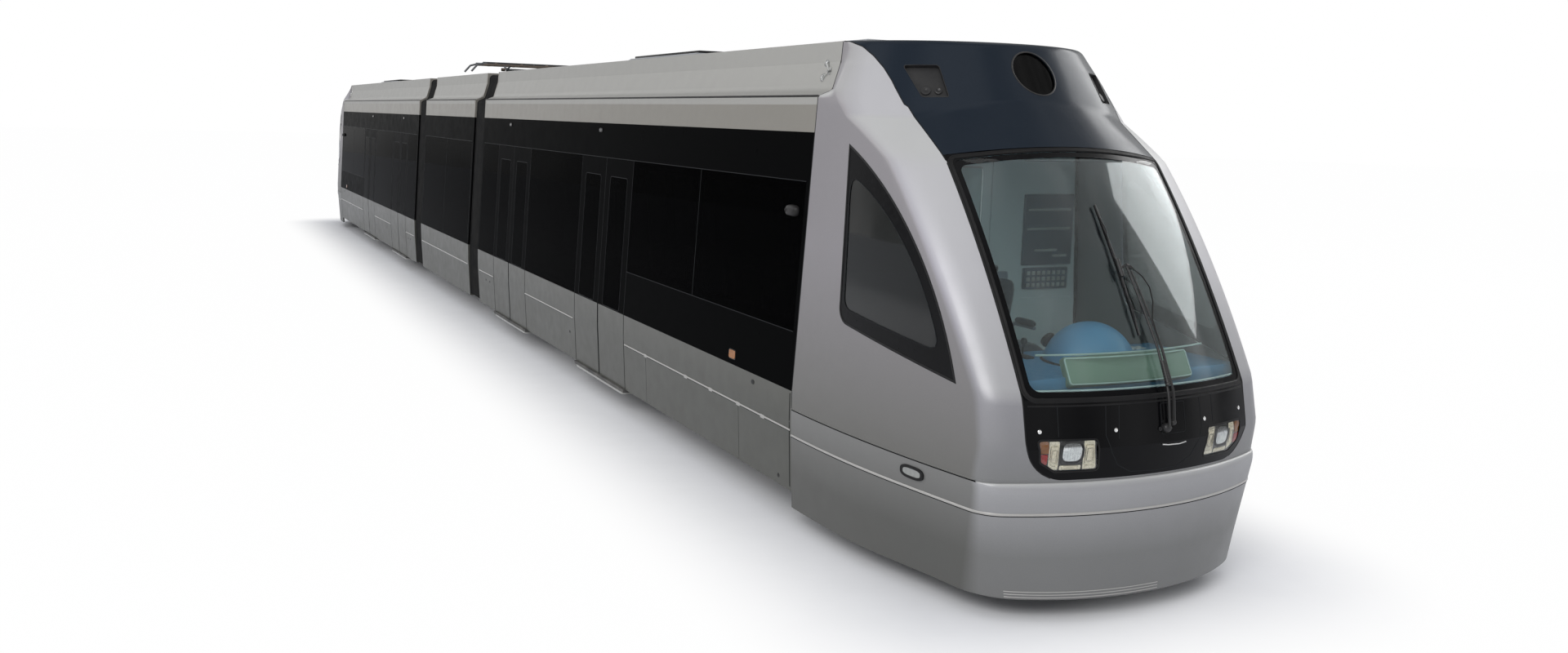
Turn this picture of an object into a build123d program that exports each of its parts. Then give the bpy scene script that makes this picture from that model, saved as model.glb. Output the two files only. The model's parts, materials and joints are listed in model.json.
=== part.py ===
from build123d import *
import os
from math import atan2, cos, degrees, hypot, radians, sin

# Three-section low-floor articulated tram, in millimetres.
# +X points to the front cab, +Y to the left, +Z up.  The origin is midway along the car,
# on its centre line, at the height of the wheel flanges' lowest points.

# ---------------------------------------------------------------- body cross-section
body_half_width = 1325.0        # at the waist
skirt_half_width = 1303.0       # at the lower edge of the skirts
gutter_half_width = 1186.0      # at the roof gutter
skirt_z = 270.0                 # lower edge of the skirts
tuck_z = 800.0                  # the skirts tuck in below this height
belt_z = 1030.0                 # lower edge of the glazed band
window_top_z = 2550.0           # top of the panes and of the doors
roof_seat_z = 3095.0            # the roof sits on the side walls here
gutter_z = 3155.0
roof_crown_z = 3175.0
fairing_foot = (1075.0, 3200.0)  # y, z of the hollow between gutter and fairing
fairing_waist = (1010.0, 3400.0)
fairing_top_half_width = 997.0
fairing_top_z = 3545.0
fairing_sheet = 22.0
fairing_hollow_radius = 90.0
wall = 60.0                     # side wall and roof edge
pane = 12.0                     # bonded glass, flush in a rebate of the same depth

# ---------------------------------------------------------------- lengths along the car
centre_half_length = 1860.0
gangway_length = 630.0
end_frame = 70.0                # thickness of the portal frame at each gangway
cab_joint_x = 12520.0           # where the cab module begins
pivot_x = centre_half_length + gangway_length / 2
end_start_x = centre_half_length + gangway_length
door_centres_x = (4250.0, 8000.0)
door_leaf_width = 815.0
door_seam = 4.0
door_leaf_thickness = 40.0
door_gap = 4.0                  # leaf to portal
door_glass_width = 520.0
door_glass_top_z = 2365.0
portal_half = door_leaf_width + door_seam / 2 + door_gap
bogie_centre_x = 10300.0
bogie_window_sill_z = 1460.0    # sill of the two windows over the motor bogie
bogie_window_split_x = 10520.0
band_end_x = cab_joint_x - 60.0
passage_half_width = 950.0      # walk-through opening of a gangway
passage_top_z = 2500.0
window_frame = 70.0             # border of a pane that is bonded to the wall
pane_gap = 3.0
door_glass_sill = 10.0          # above the belt
door_glass_margin = (door_leaf_width - door_glass_width) / 2
# windows of an end section: first x, last x, sill z
end_windows = (
    (end_start_x + end_frame, door_centres_x[0] - portal_half, belt_z),
    (door_centres_x[0] + portal_half, door_centres_x[1] - portal_half, belt_z),
    (door_centres_x[1] + portal_half, bogie_window_split_x, bogie_window_sill_z),
    (bogie_window_split_x, band_end_x, bogie_window_sill_z),
)
centre_windows = (
    (-centre_half_length + end_frame, 0.0, belt_z),
    (0.0, centre_half_length - end_frame, belt_z),
)

# ---------------------------------------------------------------- floors
floor_top_z = 380.0
floor_bottom_z = skirt_z
high_floor_top_z = 880.0
high_floor_bottom_z = 820.0
high_floor_start_x = 8826.0
riser = 40.0
step_depth = 290.0
step_half_width = 420.0
threshold_depth = 32.0
threshold_inner_y = 1150.0
seat_gap = 0.3                  # rigid pieces that only rest against each other
slide_gap = 0.5                 # between sliding floor plates
floor_half_width = skirt_half_width - wall - seat_gap
high_floor_half_width = body_half_width - wall - seat_gap
wheel_box_inner_y = 560.0       # boxes over the centre section's wheels
wheel_box_top_z = 800.0
wheel_box_half_length = 1420.0
wheel_box_plate = 30.0
wheel_box_lid_gap = 3.0         # lid to side wall
cab_floor_end_x = 14650.0
jack_pad_x = 12200.0
jack_pad_y = 900.0
jack_pad_size = 160.0
jack_pad_height = 30.0

# ---------------------------------------------------------------- articulation between sections
pivot_disc_radius = 600.0
pivot_disc_thickness = 25.0
pivot_disc_gap = 5.0
pocket_z = floor_top_z - pivot_disc_thickness - slide_gap
pin_radius = 60.0
eye_radius = 150.0
eye_bottom_z = 200.0
eye_top_z = 265.0
eye_reach = 200.0
pin_arm_bottom_z = 120.0
pin_arm_half = 200.0
pin_arm_root = 300.0            # how far the pin's arm reaches under the centre floor
pin_arm_foot = 60.0
bellows_folds = 7
bellows_crest = 30.0            # inset of the fold crests from the body outline
bellows_root = 75.0
bellows_inner = 130.0

# ---------------------------------------------------------------- cab
cab_side_radius = 10500.0       # plan radius of the cab's tapering sides
nose_axis_x = 12200.0           # the front is turned about this upright axis
apron_top_z = 890.0
apron_bottom_z = 200.0
bumper_radius = 2668.0          # the bumper stands proud of the nose
bumper_lip_radius = 24.0
bumper_corner_radius = 180.0
cab_sweep_deg = 20.0
cab_far_y = 1600.0              # beyond the widest part of the cab
cab_far_x = 15500.0
cab_wall = 45.0
mask_half_width = 885.0
mask_bottom_z = 905.0
mask_corner_radius = 250.0      # lower corners
mask_shoulder_z = 3050.0        # the panel widens above this height
mask_top_half_width = 965.0
screen_half_width = 852.0
screen_bottom_z = 1400.0
screen_top_z = 2755.0
screen_arch = 70.0              # rise of the windscreen's top edge at the middle
screen_corner_radius = 60.0
gasket = 33.0
screen_setback = 4.0
# radius about the nose axis and height, from the bumper up to the roof
nose_profile = (
    (2600.0, apron_bottom_z - 600.0),
    (2635.0, apron_top_z),
    (2660.0, 1100.0),
    (2600.0, 1386.0),
)
nose_screen_mid = (2222.0, 2060.0)
nose_brow = (
    (1752.0, 2763.0),
    (1431.0, 3018.0),
    (1357.0, 3160.0),
    (1200.0, 3372.0),
    (1110.0, 3500.0),
    (1060.0, fairing_top_z),
)
# cab side window outline: x, z
side_window_top = (13012.0, 2833.0)
side_window_foot = (13083.0, 1640.0)
side_window_tip = (14322.0, 1441.0)
side_window_bow = (13924.0, 2140.0)
side_window_radius = 120.0

# ---------------------------------------------------------------- running gear
half_gauge = 717.5
flange_radius = 358.0
tread_radius = 330.0
wheel_back_y = 690.0
wheel_front_y = 815.0
flange_thickness = 32.0
axle_z = flange_radius
axle_radius = 80.0
journal_radius = 60.0
journal_end_y = 1000.0
journal_start_y = 850.0
running_gap = 0.05
hub_radius = 125.0
web_half = 20.0
rim_inner_radius = 270.0
brake_disc_radius = 240.0
brake_disc_y = 430.0
brake_disc_half = 35.0
bogie_half_wheelbase = 950.0
centre_half_wheelbase = 900.0
frame_inner_y = 862.0
frame_outer_y = 962.0
frame_top_z = 560.0
frame_belly_z = 250.0
axle_box_half = 125.0
transom_x = 300.0
transom_half = 70.0
bolster_z = 700.0
ring_z = 760.0
ring_radius = 330.0
spring_radius = 100.0

os.makedirs("parts", exist_ok=True)


def outer_y(z):
    """Half width of the body's outer skin at height z, below the gutter."""
    if z <= tuck_z:
        return skirt_half_width + (body_half_width - skirt_half_width) * (z - skirt_z) / (tuck_z - skirt_z)
    if z <= belt_z:
        return body_half_width
    lean = (body_half_width - gutter_half_width) / (gutter_z - belt_z)
    return body_half_width - lean * (z - belt_z)


def band_points(low_z, high_z, outer_inset, thickness):
    """Corners of a strip of side skin: its outer face is outer_inset inside the skin."""
    heights = [low_z] + [z for z in (tuck_z, belt_z) if low_z < z < high_z] + [high_z]
    outside = [(outer_y(z) - outer_inset, z) for z in heights]
    inside = [(y - thickness, z) for y, z in reversed(outside)]
    return outside + inside


def export(piece, name):
    """Label one finished piece and write it as its own file."""
    piece.part.label = name
    export_step(piece.part, f"parts/{name}.step")


def export_pair(piece, name):
    """Write the front piece and its mirror image for the rear section."""
    export(piece, f"front_{name}")
    with BuildPart() as rear:
        mirror(piece.part, about=Plane.YZ)
    export(rear, f"rear_{name}")


# ---------------------------------------------------------------- sketches of the section
def section_face(inset, low_z):
    """The whole cross-section, inset evenly, with its fairings, down to low_z."""
    half = [
        (0.0, low_z),
        (outer_y(skirt_z), low_z),
        (outer_y(skirt_z), skirt_z),
        (body_half_width, tuck_z),
        (body_half_width, belt_z),
        (gutter_half_width, gutter_z),
        fairing_foot,
        fairing_waist,
        (fairing_top_half_width, fairing_top_z),
        (0.0, fairing_top_z),
    ]
    if low_z == skirt_z:
        half.pop(2)
    with BuildSketch() as face:
        with BuildLine():
            Polyline(*half, close=True)
        make_face()
        mirror(about=Plane.YZ)
        if inset > 0:
            offset(amount=-inset, kind=Kind.INTERSECTION, mode=Mode.REPLACE)
    return face.sketch


def bar(x_range, profile):
    """A prism along X from a y, z profile, on both sides of the car."""
    with BuildPart() as piece:
        with BuildSketch(Plane.YZ.offset(x_range[0])):
            with BuildLine():
                Polyline(*profile, close=True)
            make_face()
        extrude(amount=x_range[1] - x_range[0])
        mirror(about=Plane.XZ)
    return piece.part


def block(x_range, y_range, z_range):
    """A rectangular solid between the given faces."""
    with BuildPart() as piece:
        with BuildSketch(Plane.XY.offset(z_range[0])):
            with Locations(((x_range[0] + x_range[1]) / 2, (y_range[0] + y_range[1]) / 2)):
                Rectangle(x_range[1] - x_range[0], y_range[1] - y_range[0])
        extrude(amount=z_range[1] - z_range[0])
    return piece.part


def tube(start, finish, radius):
    """A round bar between two points."""
    run = Vector(*finish) - Vector(*start)
    with BuildPart() as piece:
        with BuildSketch(Plane(start, z_dir=run)):
            Circle(radius)
        extrude(amount=run.length)
    return piece.part


# ---------------------------------------------------------------- side walls
def portal_frame(x_range):
    """Ring frame at a gangway: the body's outline with the walk-through opening."""
    with BuildPart() as piece:
        with BuildSketch(Plane.YZ.offset(x_range[0])):
            add(section_face(0, skirt_z))
            with Locations((0, (floor_top_z + passage_top_z) / 2)):
                Rectangle(2 * passage_half_width, passage_top_z - floor_top_z, mode=Mode.SUBTRACT)
            with Locations((0, (skirt_z + floor_top_z) / 2)):
                Rectangle(2 * passage_half_width, floor_top_z - skirt_z + 2, mode=Mode.SUBTRACT)
        extrude(amount=x_range[1] - x_range[0])
    return piece.part


def side_walls(x_range, windows, doors, frames):
    """Both side walls with their window and door openings and gangway frames."""
    with BuildPart() as walls:
        add(bar(x_range, band_points(skirt_z, roof_seat_z, 0, wall)))
        for first_x, last_x, sill_z in windows:
            add(bar((first_x, last_x), band_points(sill_z, window_top_z, 0, pane)), mode=Mode.SUBTRACT)
            opening_x = (first_x + window_frame, last_x - window_frame)
            opening_z = (sill_z + window_frame, window_top_z - window_frame)
            add(bar(opening_x, band_points(*opening_z, -5, wall + 10)), mode=Mode.SUBTRACT)
        for centre_x in doors:
            portal_x = (centre_x - portal_half, centre_x + portal_half)
            add(bar(portal_x, band_points(skirt_z - 1, window_top_z, -5, wall + 10)), mode=Mode.SUBTRACT)
        for frame_x in frames:
            add(portal_frame(frame_x))
    return walls


front_sides = side_walls(
    (end_start_x + end_frame, cab_joint_x),
    end_windows,
    door_centres_x,
    ((end_start_x, end_start_x + end_frame),),
)
export_pair(front_sides, "sides")

centre_sides = side_walls(
    (-centre_half_length + end_frame, centre_half_length - end_frame),
    centre_windows,
    (),
    (
        (-centre_half_length, -centre_half_length + end_frame),
        (centre_half_length - end_frame, centre_half_length),
    ),
)
export(centre_sides, "centre_sides")


# ---------------------------------------------------------------- panes
def panes(windows):
    """Flush bonded panes on both sides."""
    with BuildPart() as glass:
        for first_x, last_x, sill_z in windows:
            pane_x = (first_x + pane_gap / 2, last_x - pane_gap / 2)
            add(bar(pane_x, band_points(sill_z + pane_gap, window_top_z - pane_gap, 0, pane)))
    return glass


def leaf_spans(centre_x):
    """First and last x of the two leaves of one doorway."""
    seam = door_seam / 2
    return (
        (centre_x - seam - door_leaf_width, centre_x - seam),
        (centre_x + seam, centre_x + seam + door_leaf_width),
    )


front_windows = panes(end_windows)
with front_windows:
    for door_x in door_centres_x:
        for leaf_start, leaf_end in leaf_spans(door_x):
            glass_x = (leaf_start + door_glass_margin, leaf_end - door_glass_margin)
            add(bar(glass_x, band_points(belt_z + door_glass_sill, door_glass_top_z, 0, pane)))
export_pair(front_windows, "windows")

centre_panes = panes(centre_windows)
export(centre_panes, "centre_windows")

# ---------------------------------------------------------------- sliding plug doors
with BuildPart() as front_doors:
    for door_x in door_centres_x:
        for leaf_start, leaf_end in leaf_spans(door_x):
            leaf_profile = band_points(skirt_z + seat_gap, window_top_z - door_gap, 0, door_leaf_thickness)
            add(bar((leaf_start, leaf_end), leaf_profile))
            glass_x = (leaf_start + door_glass_margin, leaf_end - door_glass_margin)
            opening = band_points(belt_z + door_glass_sill, door_glass_top_z, -5, door_leaf_thickness + 10)
            add(bar(glass_x, opening), mode=Mode.SUBTRACT)
export_pair(front_doors, "doors")

# ---------------------------------------------------------------- roofs with their fairings
roof_profile = (
    (0.0, roof_seat_z),
    (outer_y(roof_seat_z), roof_seat_z),
    (gutter_half_width, gutter_z),
    fairing_foot,
    fairing_waist,
    (fairing_top_half_width, fairing_top_z),
    (fairing_top_half_width - fairing_sheet, fairing_top_z),
    (fairing_waist[0] - fairing_sheet, fairing_waist[1]),
    (fairing_foot[0] - fairing_sheet, gutter_z + 30),
    (fairing_foot[0] - 2 * fairing_sheet, gutter_z),
    (0.0, roof_crown_z),
)


def roof(x_range):
    """Roof deck with a hollow-sided fairing along each edge."""
    with BuildPart() as piece:
        with BuildSketch(Plane.YZ.offset(x_range[0])) as half_roof:
            with BuildLine():
                Polyline(*roof_profile, close=True)
            make_face()
            hollow = half_roof.vertices().sort_by_distance((*fairing_foot, 0))[0]
            fillet(hollow, radius=fairing_hollow_radius)
        extrude(amount=x_range[1] - x_range[0])
        mirror(about=Plane.XZ)
    return piece


front_roof = roof((end_start_x + end_frame, cab_joint_x))
export_pair(front_roof, "roof")
centre_roof = roof((-centre_half_length + end_frame, centre_half_length - end_frame))
export(centre_roof, "centre_roof")


# ---------------------------------------------------------------- cab surfaces
def bowed_side(side, inset, low_z):
    """The space inside one bowed side of the cab: the body's section turned on a wide radius."""
    half = [
        (-cab_far_y * side, low_z),
        ((skirt_half_width - inset) * side, low_z),
        ((skirt_half_width - inset) * side, skirt_z),
        ((body_half_width - inset) * side, tuck_z),
        ((body_half_width - inset) * side, belt_z),
        ((gutter_half_width - inset) * side, gutter_z - inset),
        ((fairing_foot[0] - inset) * side, fairing_foot[1] - inset),
        ((fairing_waist[0] - inset) * side, fairing_waist[1]),
        ((fairing_top_half_width - inset) * side, fairing_top_z - inset),
        (-cab_far_y * side, fairing_top_z - inset),
    ]
    axis_y = (body_half_width - cab_side_radius) * side
    with BuildPart() as piece:
        with BuildSketch(Plane.YZ.offset(cab_joint_x)):
            with BuildLine():
                Polyline(*half, close=True)
            make_face()
        revolve(axis=Axis((cab_joint_x, axis_y, 0), (0, 0, -side)), revolution_arc=cab_sweep_deg)
    return piece.part


def cab_block(inset, low_z):
    """The cab as a solid, inset evenly: a turned nose cut by two bowed sides."""
    with BuildPart() as solid:
        with BuildSketch(Plane.XZ):
            front_x = nose_axis_x - inset
            lower = [(front_x + r, z) for r, z in nose_profile]
            upper = [(front_x + r, z) for r, z in nose_brow]
            with BuildLine():
                Polyline((nose_axis_x, fairing_top_z), (nose_axis_x, lower[0][1]), *lower)
                ThreePointArc(lower[-1], (front_x + nose_screen_mid[0], nose_screen_mid[1]), upper[0])
                Polyline(*upper, (nose_axis_x, fairing_top_z))
            make_face()
        revolve(axis=Axis((nose_axis_x, 0, 0), (0, 0, 1)))
        for side in (1, -1):
            add(bowed_side(side, inset, low_z), mode=Mode.INTERSECT)
    return solid.part


def front_view(points, radius, rounded_below):
    """A prism along X from a closed y, z outline; its corners below a height are rounded."""
    with BuildPart() as piece:
        with BuildSketch(Plane.YZ.offset(cab_joint_x - 10)) as outline:
            with BuildLine():
                Polyline(*points, close=True)
            make_face()
            fillet([corner for corner in outline.vertices() if corner.Y < rounded_below], radius=radius)
        extrude(amount=cab_far_x - cab_joint_x)
    return piece.part


cab_outer = cab_block(0, apron_bottom_z)
cab_inner = cab_block(cab_wall, -400.0)

# the black front panel and the brow share one outline
front_opening = front_view(
    (
        (-mask_half_width, mask_bottom_z),
        (mask_half_width, mask_bottom_z),
        (mask_half_width, mask_shoulder_z),
        (mask_top_half_width, fairing_top_z + 20),
        (-mask_top_half_width, fairing_top_z + 20),
        (-mask_half_width, mask_shoulder_z),
    ),
    mask_corner_radius,
    mask_bottom_z + 1,
)


def screen_prism(margin):
    """The windscreen's outline with its arched top, grown by a margin."""
    half = screen_half_width + margin
    with BuildPart() as piece:
        with BuildSketch(Plane.YZ.offset(cab_joint_x - 10)) as outline:
            with BuildLine():
                Polyline(
                    (-half, screen_top_z + margin),
                    (-half, screen_bottom_z - margin),
                    (half, screen_bottom_z - margin),
                    (half, screen_top_z + margin),
                )
                ThreePointArc(
                    (half, screen_top_z + margin),
                    (0, screen_top_z + screen_arch + margin),
                    (-half, screen_top_z + margin),
                )
            make_face()
            fillet(outline.vertices(), radius=screen_corner_radius)
        extrude(amount=cab_far_x - cab_joint_x)
    return piece.part


def side_window_prism(margin):
    """The cab's side window outline, pointed at its top and at its front tip."""
    with BuildPart() as piece:
        with BuildSketch(Plane.XZ.offset(-1600)) as outline:
            with BuildLine():
                Polyline(side_window_top, side_window_foot, side_window_tip)
                ThreePointArc(side_window_tip, side_window_bow, side_window_top)
            make_face()
            foot = outline.vertices().sort_by_distance((*side_window_foot, 0))[0]
            fillet(foot, radius=side_window_radius)
            if margin > 0:
                offset(amount=-margin, kind=Kind.INTERSECTION, mode=Mode.REPLACE)
        extrude(amount=3200)
    return piece.part


cab_x = (cab_joint_x, cab_far_x)
cab_y = (-cab_far_y, cab_far_y)
brow_zone = block(cab_x, cab_y, (screen_top_z + gasket, fairing_top_z + 100))
upper_zone = block(cab_x, cab_y, (apron_top_z, fairing_top_z + 100))

with BuildPart() as cab_shell:
    add(cab_outer)
    add(upper_zone, mode=Mode.INTERSECT)
    add(cab_inner, mode=Mode.SUBTRACT)
    add(front_opening, mode=Mode.SUBTRACT)
    add(side_window_prism(0), mode=Mode.SUBTRACT)
export_pair(cab_shell, "cab_shell")

with BuildPart() as brow:
    add(cab_outer)
    add(upper_zone, mode=Mode.INTERSECT)
    add(cab_inner, mode=Mode.SUBTRACT)
    add(front_opening, mode=Mode.INTERSECT)
    add(brow_zone, mode=Mode.INTERSECT)
    add(screen_prism(gasket), mode=Mode.SUBTRACT)

# head lamp outline seen from the front: y, z, and the brow's side slots and middle lamp
head_lamp = ((822.0, 1160.0), (437.0, 1158.0), (414.0, 955.0), (700.0, 953.0), (800.0, 1015.0))
brow_slot = ((836.0, 3372.0), (639.0, 3377.0), (651.0, 3160.0), (806.0, 3154.0))
brow_lamp_z = 3333.0
brow_lamp_radius = 147.0
slot_depth = 32.0
slot_start = 300.0              # behind this the roof covers the slots' prisms
lamp_setback = 2.0
lamp_depth = 36.0
lamp_radius = 20.0
slot_radius = 18.0
with BuildPart() as lamp_prism:
    for side in (1, -1):
        add(front_view([(y * side, z) for y, z in head_lamp], lamp_radius, fairing_top_z))
with BuildPart() as brow_lamp_prism:
    with BuildSketch(Plane.YZ.offset(cab_joint_x + 100)):
        with Locations((0, brow_lamp_z)):
            Circle(brow_lamp_radius)
    extrude(amount=2000)
with BuildPart() as slot_prism:
    for side in (1, -1):
        add(front_view([(y * side, z) for y, z in brow_slot], slot_radius, fairing_top_z))
    behind_x = (nose_axis_x, cab_joint_x + slot_start)
    add(block(behind_x, cab_y, (screen_top_z, fairing_top_z)), mode=Mode.SUBTRACT)
    add(cab_block(slot_depth, -400.0), mode=Mode.SUBTRACT)
with BuildPart() as cab_lamps:
    add(cab_block(lamp_setback, apron_bottom_z))
    add(cab_block(lamp_setback + lamp_depth, -400.0), mode=Mode.SUBTRACT)
    add(lamp_prism.part + brow_lamp_prism.part, mode=Mode.INTERSECT)
export_pair(cab_lamps, "lamps")

with BuildPart() as brow_cut:
    add(brow.part)
    add(slot_prism.part, mode=Mode.SUBTRACT)
    add(brow_lamp_prism.part, mode=Mode.SUBTRACT)
export_pair(brow_cut, "brow")

with BuildPart() as mask:
    add(cab_outer)
    add(upper_zone, mode=Mode.INTERSECT)
    add(cab_inner, mode=Mode.SUBTRACT)
    add(front_opening, mode=Mode.INTERSECT)
    add(brow.part, mode=Mode.SUBTRACT)
    add(screen_prism(0), mode=Mode.SUBTRACT)
    add(lamp_prism.part, mode=Mode.SUBTRACT)
export_pair(mask, "mask")

glass_outer = cab_block(screen_setback, apron_bottom_z)
glass_inner = cab_block(screen_setback + pane, -400.0)
with BuildPart() as glass_zone:
    add(screen_prism(0))
    add(side_window_prism(0))
with BuildPart() as cab_glass:
    add(glass_outer)
    add(upper_zone, mode=Mode.INTERSECT)
    add(glass_inner, mode=Mode.SUBTRACT)
    add(glass_zone.part, mode=Mode.INTERSECT)
export_pair(cab_glass, "cab_glass")

# plan of the apron: the bumper's drum and the bowed sides, with rounded corners between them
with BuildPart() as apron_plan:
    with BuildSketch(Plane.XY.offset(apron_bottom_z)) as plan:
        with Locations((nose_axis_x, 0)):
            Circle(bumper_radius)
        for side in (1, -1):
            with Locations((cab_joint_x, (body_half_width - cab_side_radius) * side)):
                Circle(cab_side_radius, mode=Mode.INTERSECT)
        with Locations((cab_far_x, 0)):
            Rectangle(2 * (cab_far_x - cab_joint_x), 2 * cab_far_y, mode=Mode.INTERSECT)
        front_corners = plan.vertices().group_by(Axis.X)[-1]
        fillet(front_corners, radius=bumper_corner_radius)
    extrude(amount=apron_top_z - apron_bottom_z)

with BuildPart() as bumper:
    with BuildSketch(Plane.XY.offset(apron_bottom_z)):
        with Locations((nose_axis_x, 0)):
            Circle(bumper_radius)
    extrude(amount=apron_top_z - apron_bottom_z)
    fillet(bumper.edges().group_by(Axis.Z)[-1], radius=bumper_lip_radius)
    add(apron_plan.part, mode=Mode.INTERSECT)
    for side in (1, -1):
        add(bowed_side(side, 0, apron_bottom_z), mode=Mode.INTERSECT)

with BuildPart() as apron:
    add(bumper.part)
    add(cab_inner, mode=Mode.SUBTRACT)
export_pair(apron, "apron")

# ---------------------------------------------------------------- floors
with BuildPart() as cab_floor:
    add(cab_block(cab_wall + seat_gap, -400.0))
    add(
        block((cab_joint_x, cab_floor_end_x), (-1400, 1400), (high_floor_bottom_z, high_floor_top_z)),
        mode=Mode.INTERSECT,
    )

with BuildPart() as front_floor:
    add(cab_floor.part)
    frame_end_x = end_start_x + end_frame
    passage_y = (-passage_half_width + seat_gap, passage_half_width - seat_gap)
    add(block((end_start_x, frame_end_x), passage_y, (floor_bottom_z, floor_top_z)))
    add(
        block(
            (frame_end_x, high_floor_start_x),
            (-floor_half_width, floor_half_width),
            (floor_bottom_z, floor_top_z),
        )
    )
    add(
        block(
            (high_floor_start_x, cab_joint_x),
            (-high_floor_half_width, high_floor_half_width),
            (high_floor_bottom_z, high_floor_top_z),
        )
    )
    add(
        block(
            (high_floor_start_x, high_floor_start_x + riser),
            (-floor_half_width, floor_half_width),
            (floor_bottom_z, high_floor_bottom_z),
        )
    )
    step_rise = (high_floor_top_z - floor_top_z) / 3
    for level in (1, 2):
        step_x = high_floor_start_x - (3 - level) * step_depth
        step_z = floor_top_z + level * step_rise
        add(block((step_x, high_floor_start_x), (-step_half_width, step_half_width), (floor_top_z, step_z)))
    # door thresholds below the leaves
    for door_x in door_centres_x:
        for side in (1, -1):
            sill_y = sorted((threshold_inner_y * side, body_half_width * side))
            sill_z = (floor_bottom_z - threshold_depth, floor_bottom_z)
            add(block((door_x - portal_half, door_x + portal_half), sill_y, sill_z))
    # jacking pads under the raised floor
    with BuildSketch(Plane.XY.offset(high_floor_bottom_z - jack_pad_height)):
        with Locations((jack_pad_x, jack_pad_y), (jack_pad_x, -jack_pad_y)):
            Rectangle(jack_pad_size, jack_pad_size)
    extrude(amount=jack_pad_height)
    # turntable pocket in the floor, eye of the articulation below it
    with BuildSketch(Plane.XY.offset(pocket_z)):
        with Locations((pivot_x, 0)):
            Circle(pivot_disc_radius + pivot_disc_gap)
    extrude(amount=floor_top_z, mode=Mode.SUBTRACT)
    eye_end_x = end_start_x + eye_reach
    add(block((pivot_x, eye_end_x), (-eye_radius, eye_radius), (eye_bottom_z, eye_top_z)))
    add(block((end_start_x, eye_end_x), (-eye_radius, eye_radius), (eye_bottom_z, floor_bottom_z)))
    with BuildSketch(Plane.XY.offset(eye_bottom_z)):
        with Locations((pivot_x, 0)):
            Circle(eye_radius)
    extrude(amount=eye_top_z - eye_bottom_z)
    with BuildSketch(Plane.XY.offset(eye_bottom_z)):
        with Locations((pivot_x, 0)):
            Circle(pin_radius + running_gap)
    extrude(amount=eye_top_z - eye_bottom_z, mode=Mode.SUBTRACT)
export_pair(front_floor, "floor")

with BuildPart() as centre_floor:
    inner_end = centre_half_length
    floor_z = (floor_bottom_z, floor_top_z)
    add(block((-inner_end, inner_end), (-wheel_box_inner_y, wheel_box_inner_y), floor_z))
    passage_x = (inner_end - end_frame, inner_end)
    add(block((wheel_box_half_length, passage_x[0]), (-floor_half_width, floor_half_width), floor_z))
    add(block(passage_x, passage_y, floor_z))
    box_x = (-wheel_box_half_length, wheel_box_half_length)
    box_end_x = (wheel_box_half_length, wheel_box_half_length + wheel_box_plate)
    box_wall_y = wheel_box_inner_y - wheel_box_plate
    for side in (1, -1):
        inner_y = sorted((box_wall_y * side, wheel_box_inner_y * side))
        lid_y = sorted((box_wall_y * side, (high_floor_half_width - wheel_box_lid_gap) * side))
        end_y = sorted((box_wall_y * side, floor_half_width * side))
        add(block(box_x, inner_y, (floor_top_z, wheel_box_top_z)))
        add(block(box_x, lid_y, (wheel_box_top_z - wheel_box_plate, wheel_box_top_z)))
        add(block(box_end_x, end_y, (floor_top_z, wheel_box_top_z)))
    # turntable tongue, its disc and the pin of the articulation
    disc_z = floor_top_z - pivot_disc_thickness
    add(block((inner_end, pivot_x), (-pivot_disc_radius, pivot_disc_radius), (disc_z, floor_top_z)))
    with BuildSketch(Plane.XY.offset(disc_z)):
        with Locations((pivot_x, 0)):
            Circle(pivot_disc_radius)
    extrude(amount=pivot_disc_thickness)
    arm_top = eye_bottom_z - slide_gap
    arm_x = inner_end - pin_arm_root
    add(block((arm_x, pivot_x), (-pin_arm_half, pin_arm_half), (pin_arm_bottom_z, arm_top)))
    add(block((arm_x, inner_end - pin_arm_foot), (-pin_arm_half, pin_arm_half), (arm_top, floor_bottom_z)))
    with BuildSketch(Plane.XY.offset(pin_arm_bottom_z)):
        with Locations((pivot_x, 0)):
            Circle(pin_arm_half)
    extrude(amount=arm_top - pin_arm_bottom_z)
    with BuildSketch(Plane.XY.offset(arm_top)):
        with Locations((pivot_x, 0)):
            Circle(pin_radius)
    extrude(amount=eye_top_z - arm_top)
    mirror(about=Plane.YZ)
export(centre_floor, "centre_floor")

# ---------------------------------------------------------------- gangway bellows
with BuildPart() as front_bellows:
    fold_pitch = gangway_length / (2 * bellows_folds + 1)
    for fold in range(2 * bellows_folds + 1):
        fold_inset = bellows_root if fold % 2 else bellows_crest
        with BuildSketch(Plane.YZ.offset(centre_half_length + fold * fold_pitch)):
            add(section_face(fold_inset, skirt_z))
            add(section_face(bellows_inner, skirt_z), mode=Mode.SUBTRACT)
        extrude(amount=fold_pitch)
    add(
        block(
            (centre_half_length - 1, end_start_x + 1),
            (-pivot_disc_radius - 60, pivot_disc_radius + 60),
            (0, floor_top_z + 40),
        ),
        mode=Mode.SUBTRACT,
    )
export_pair(front_bellows, "bellows")

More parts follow.
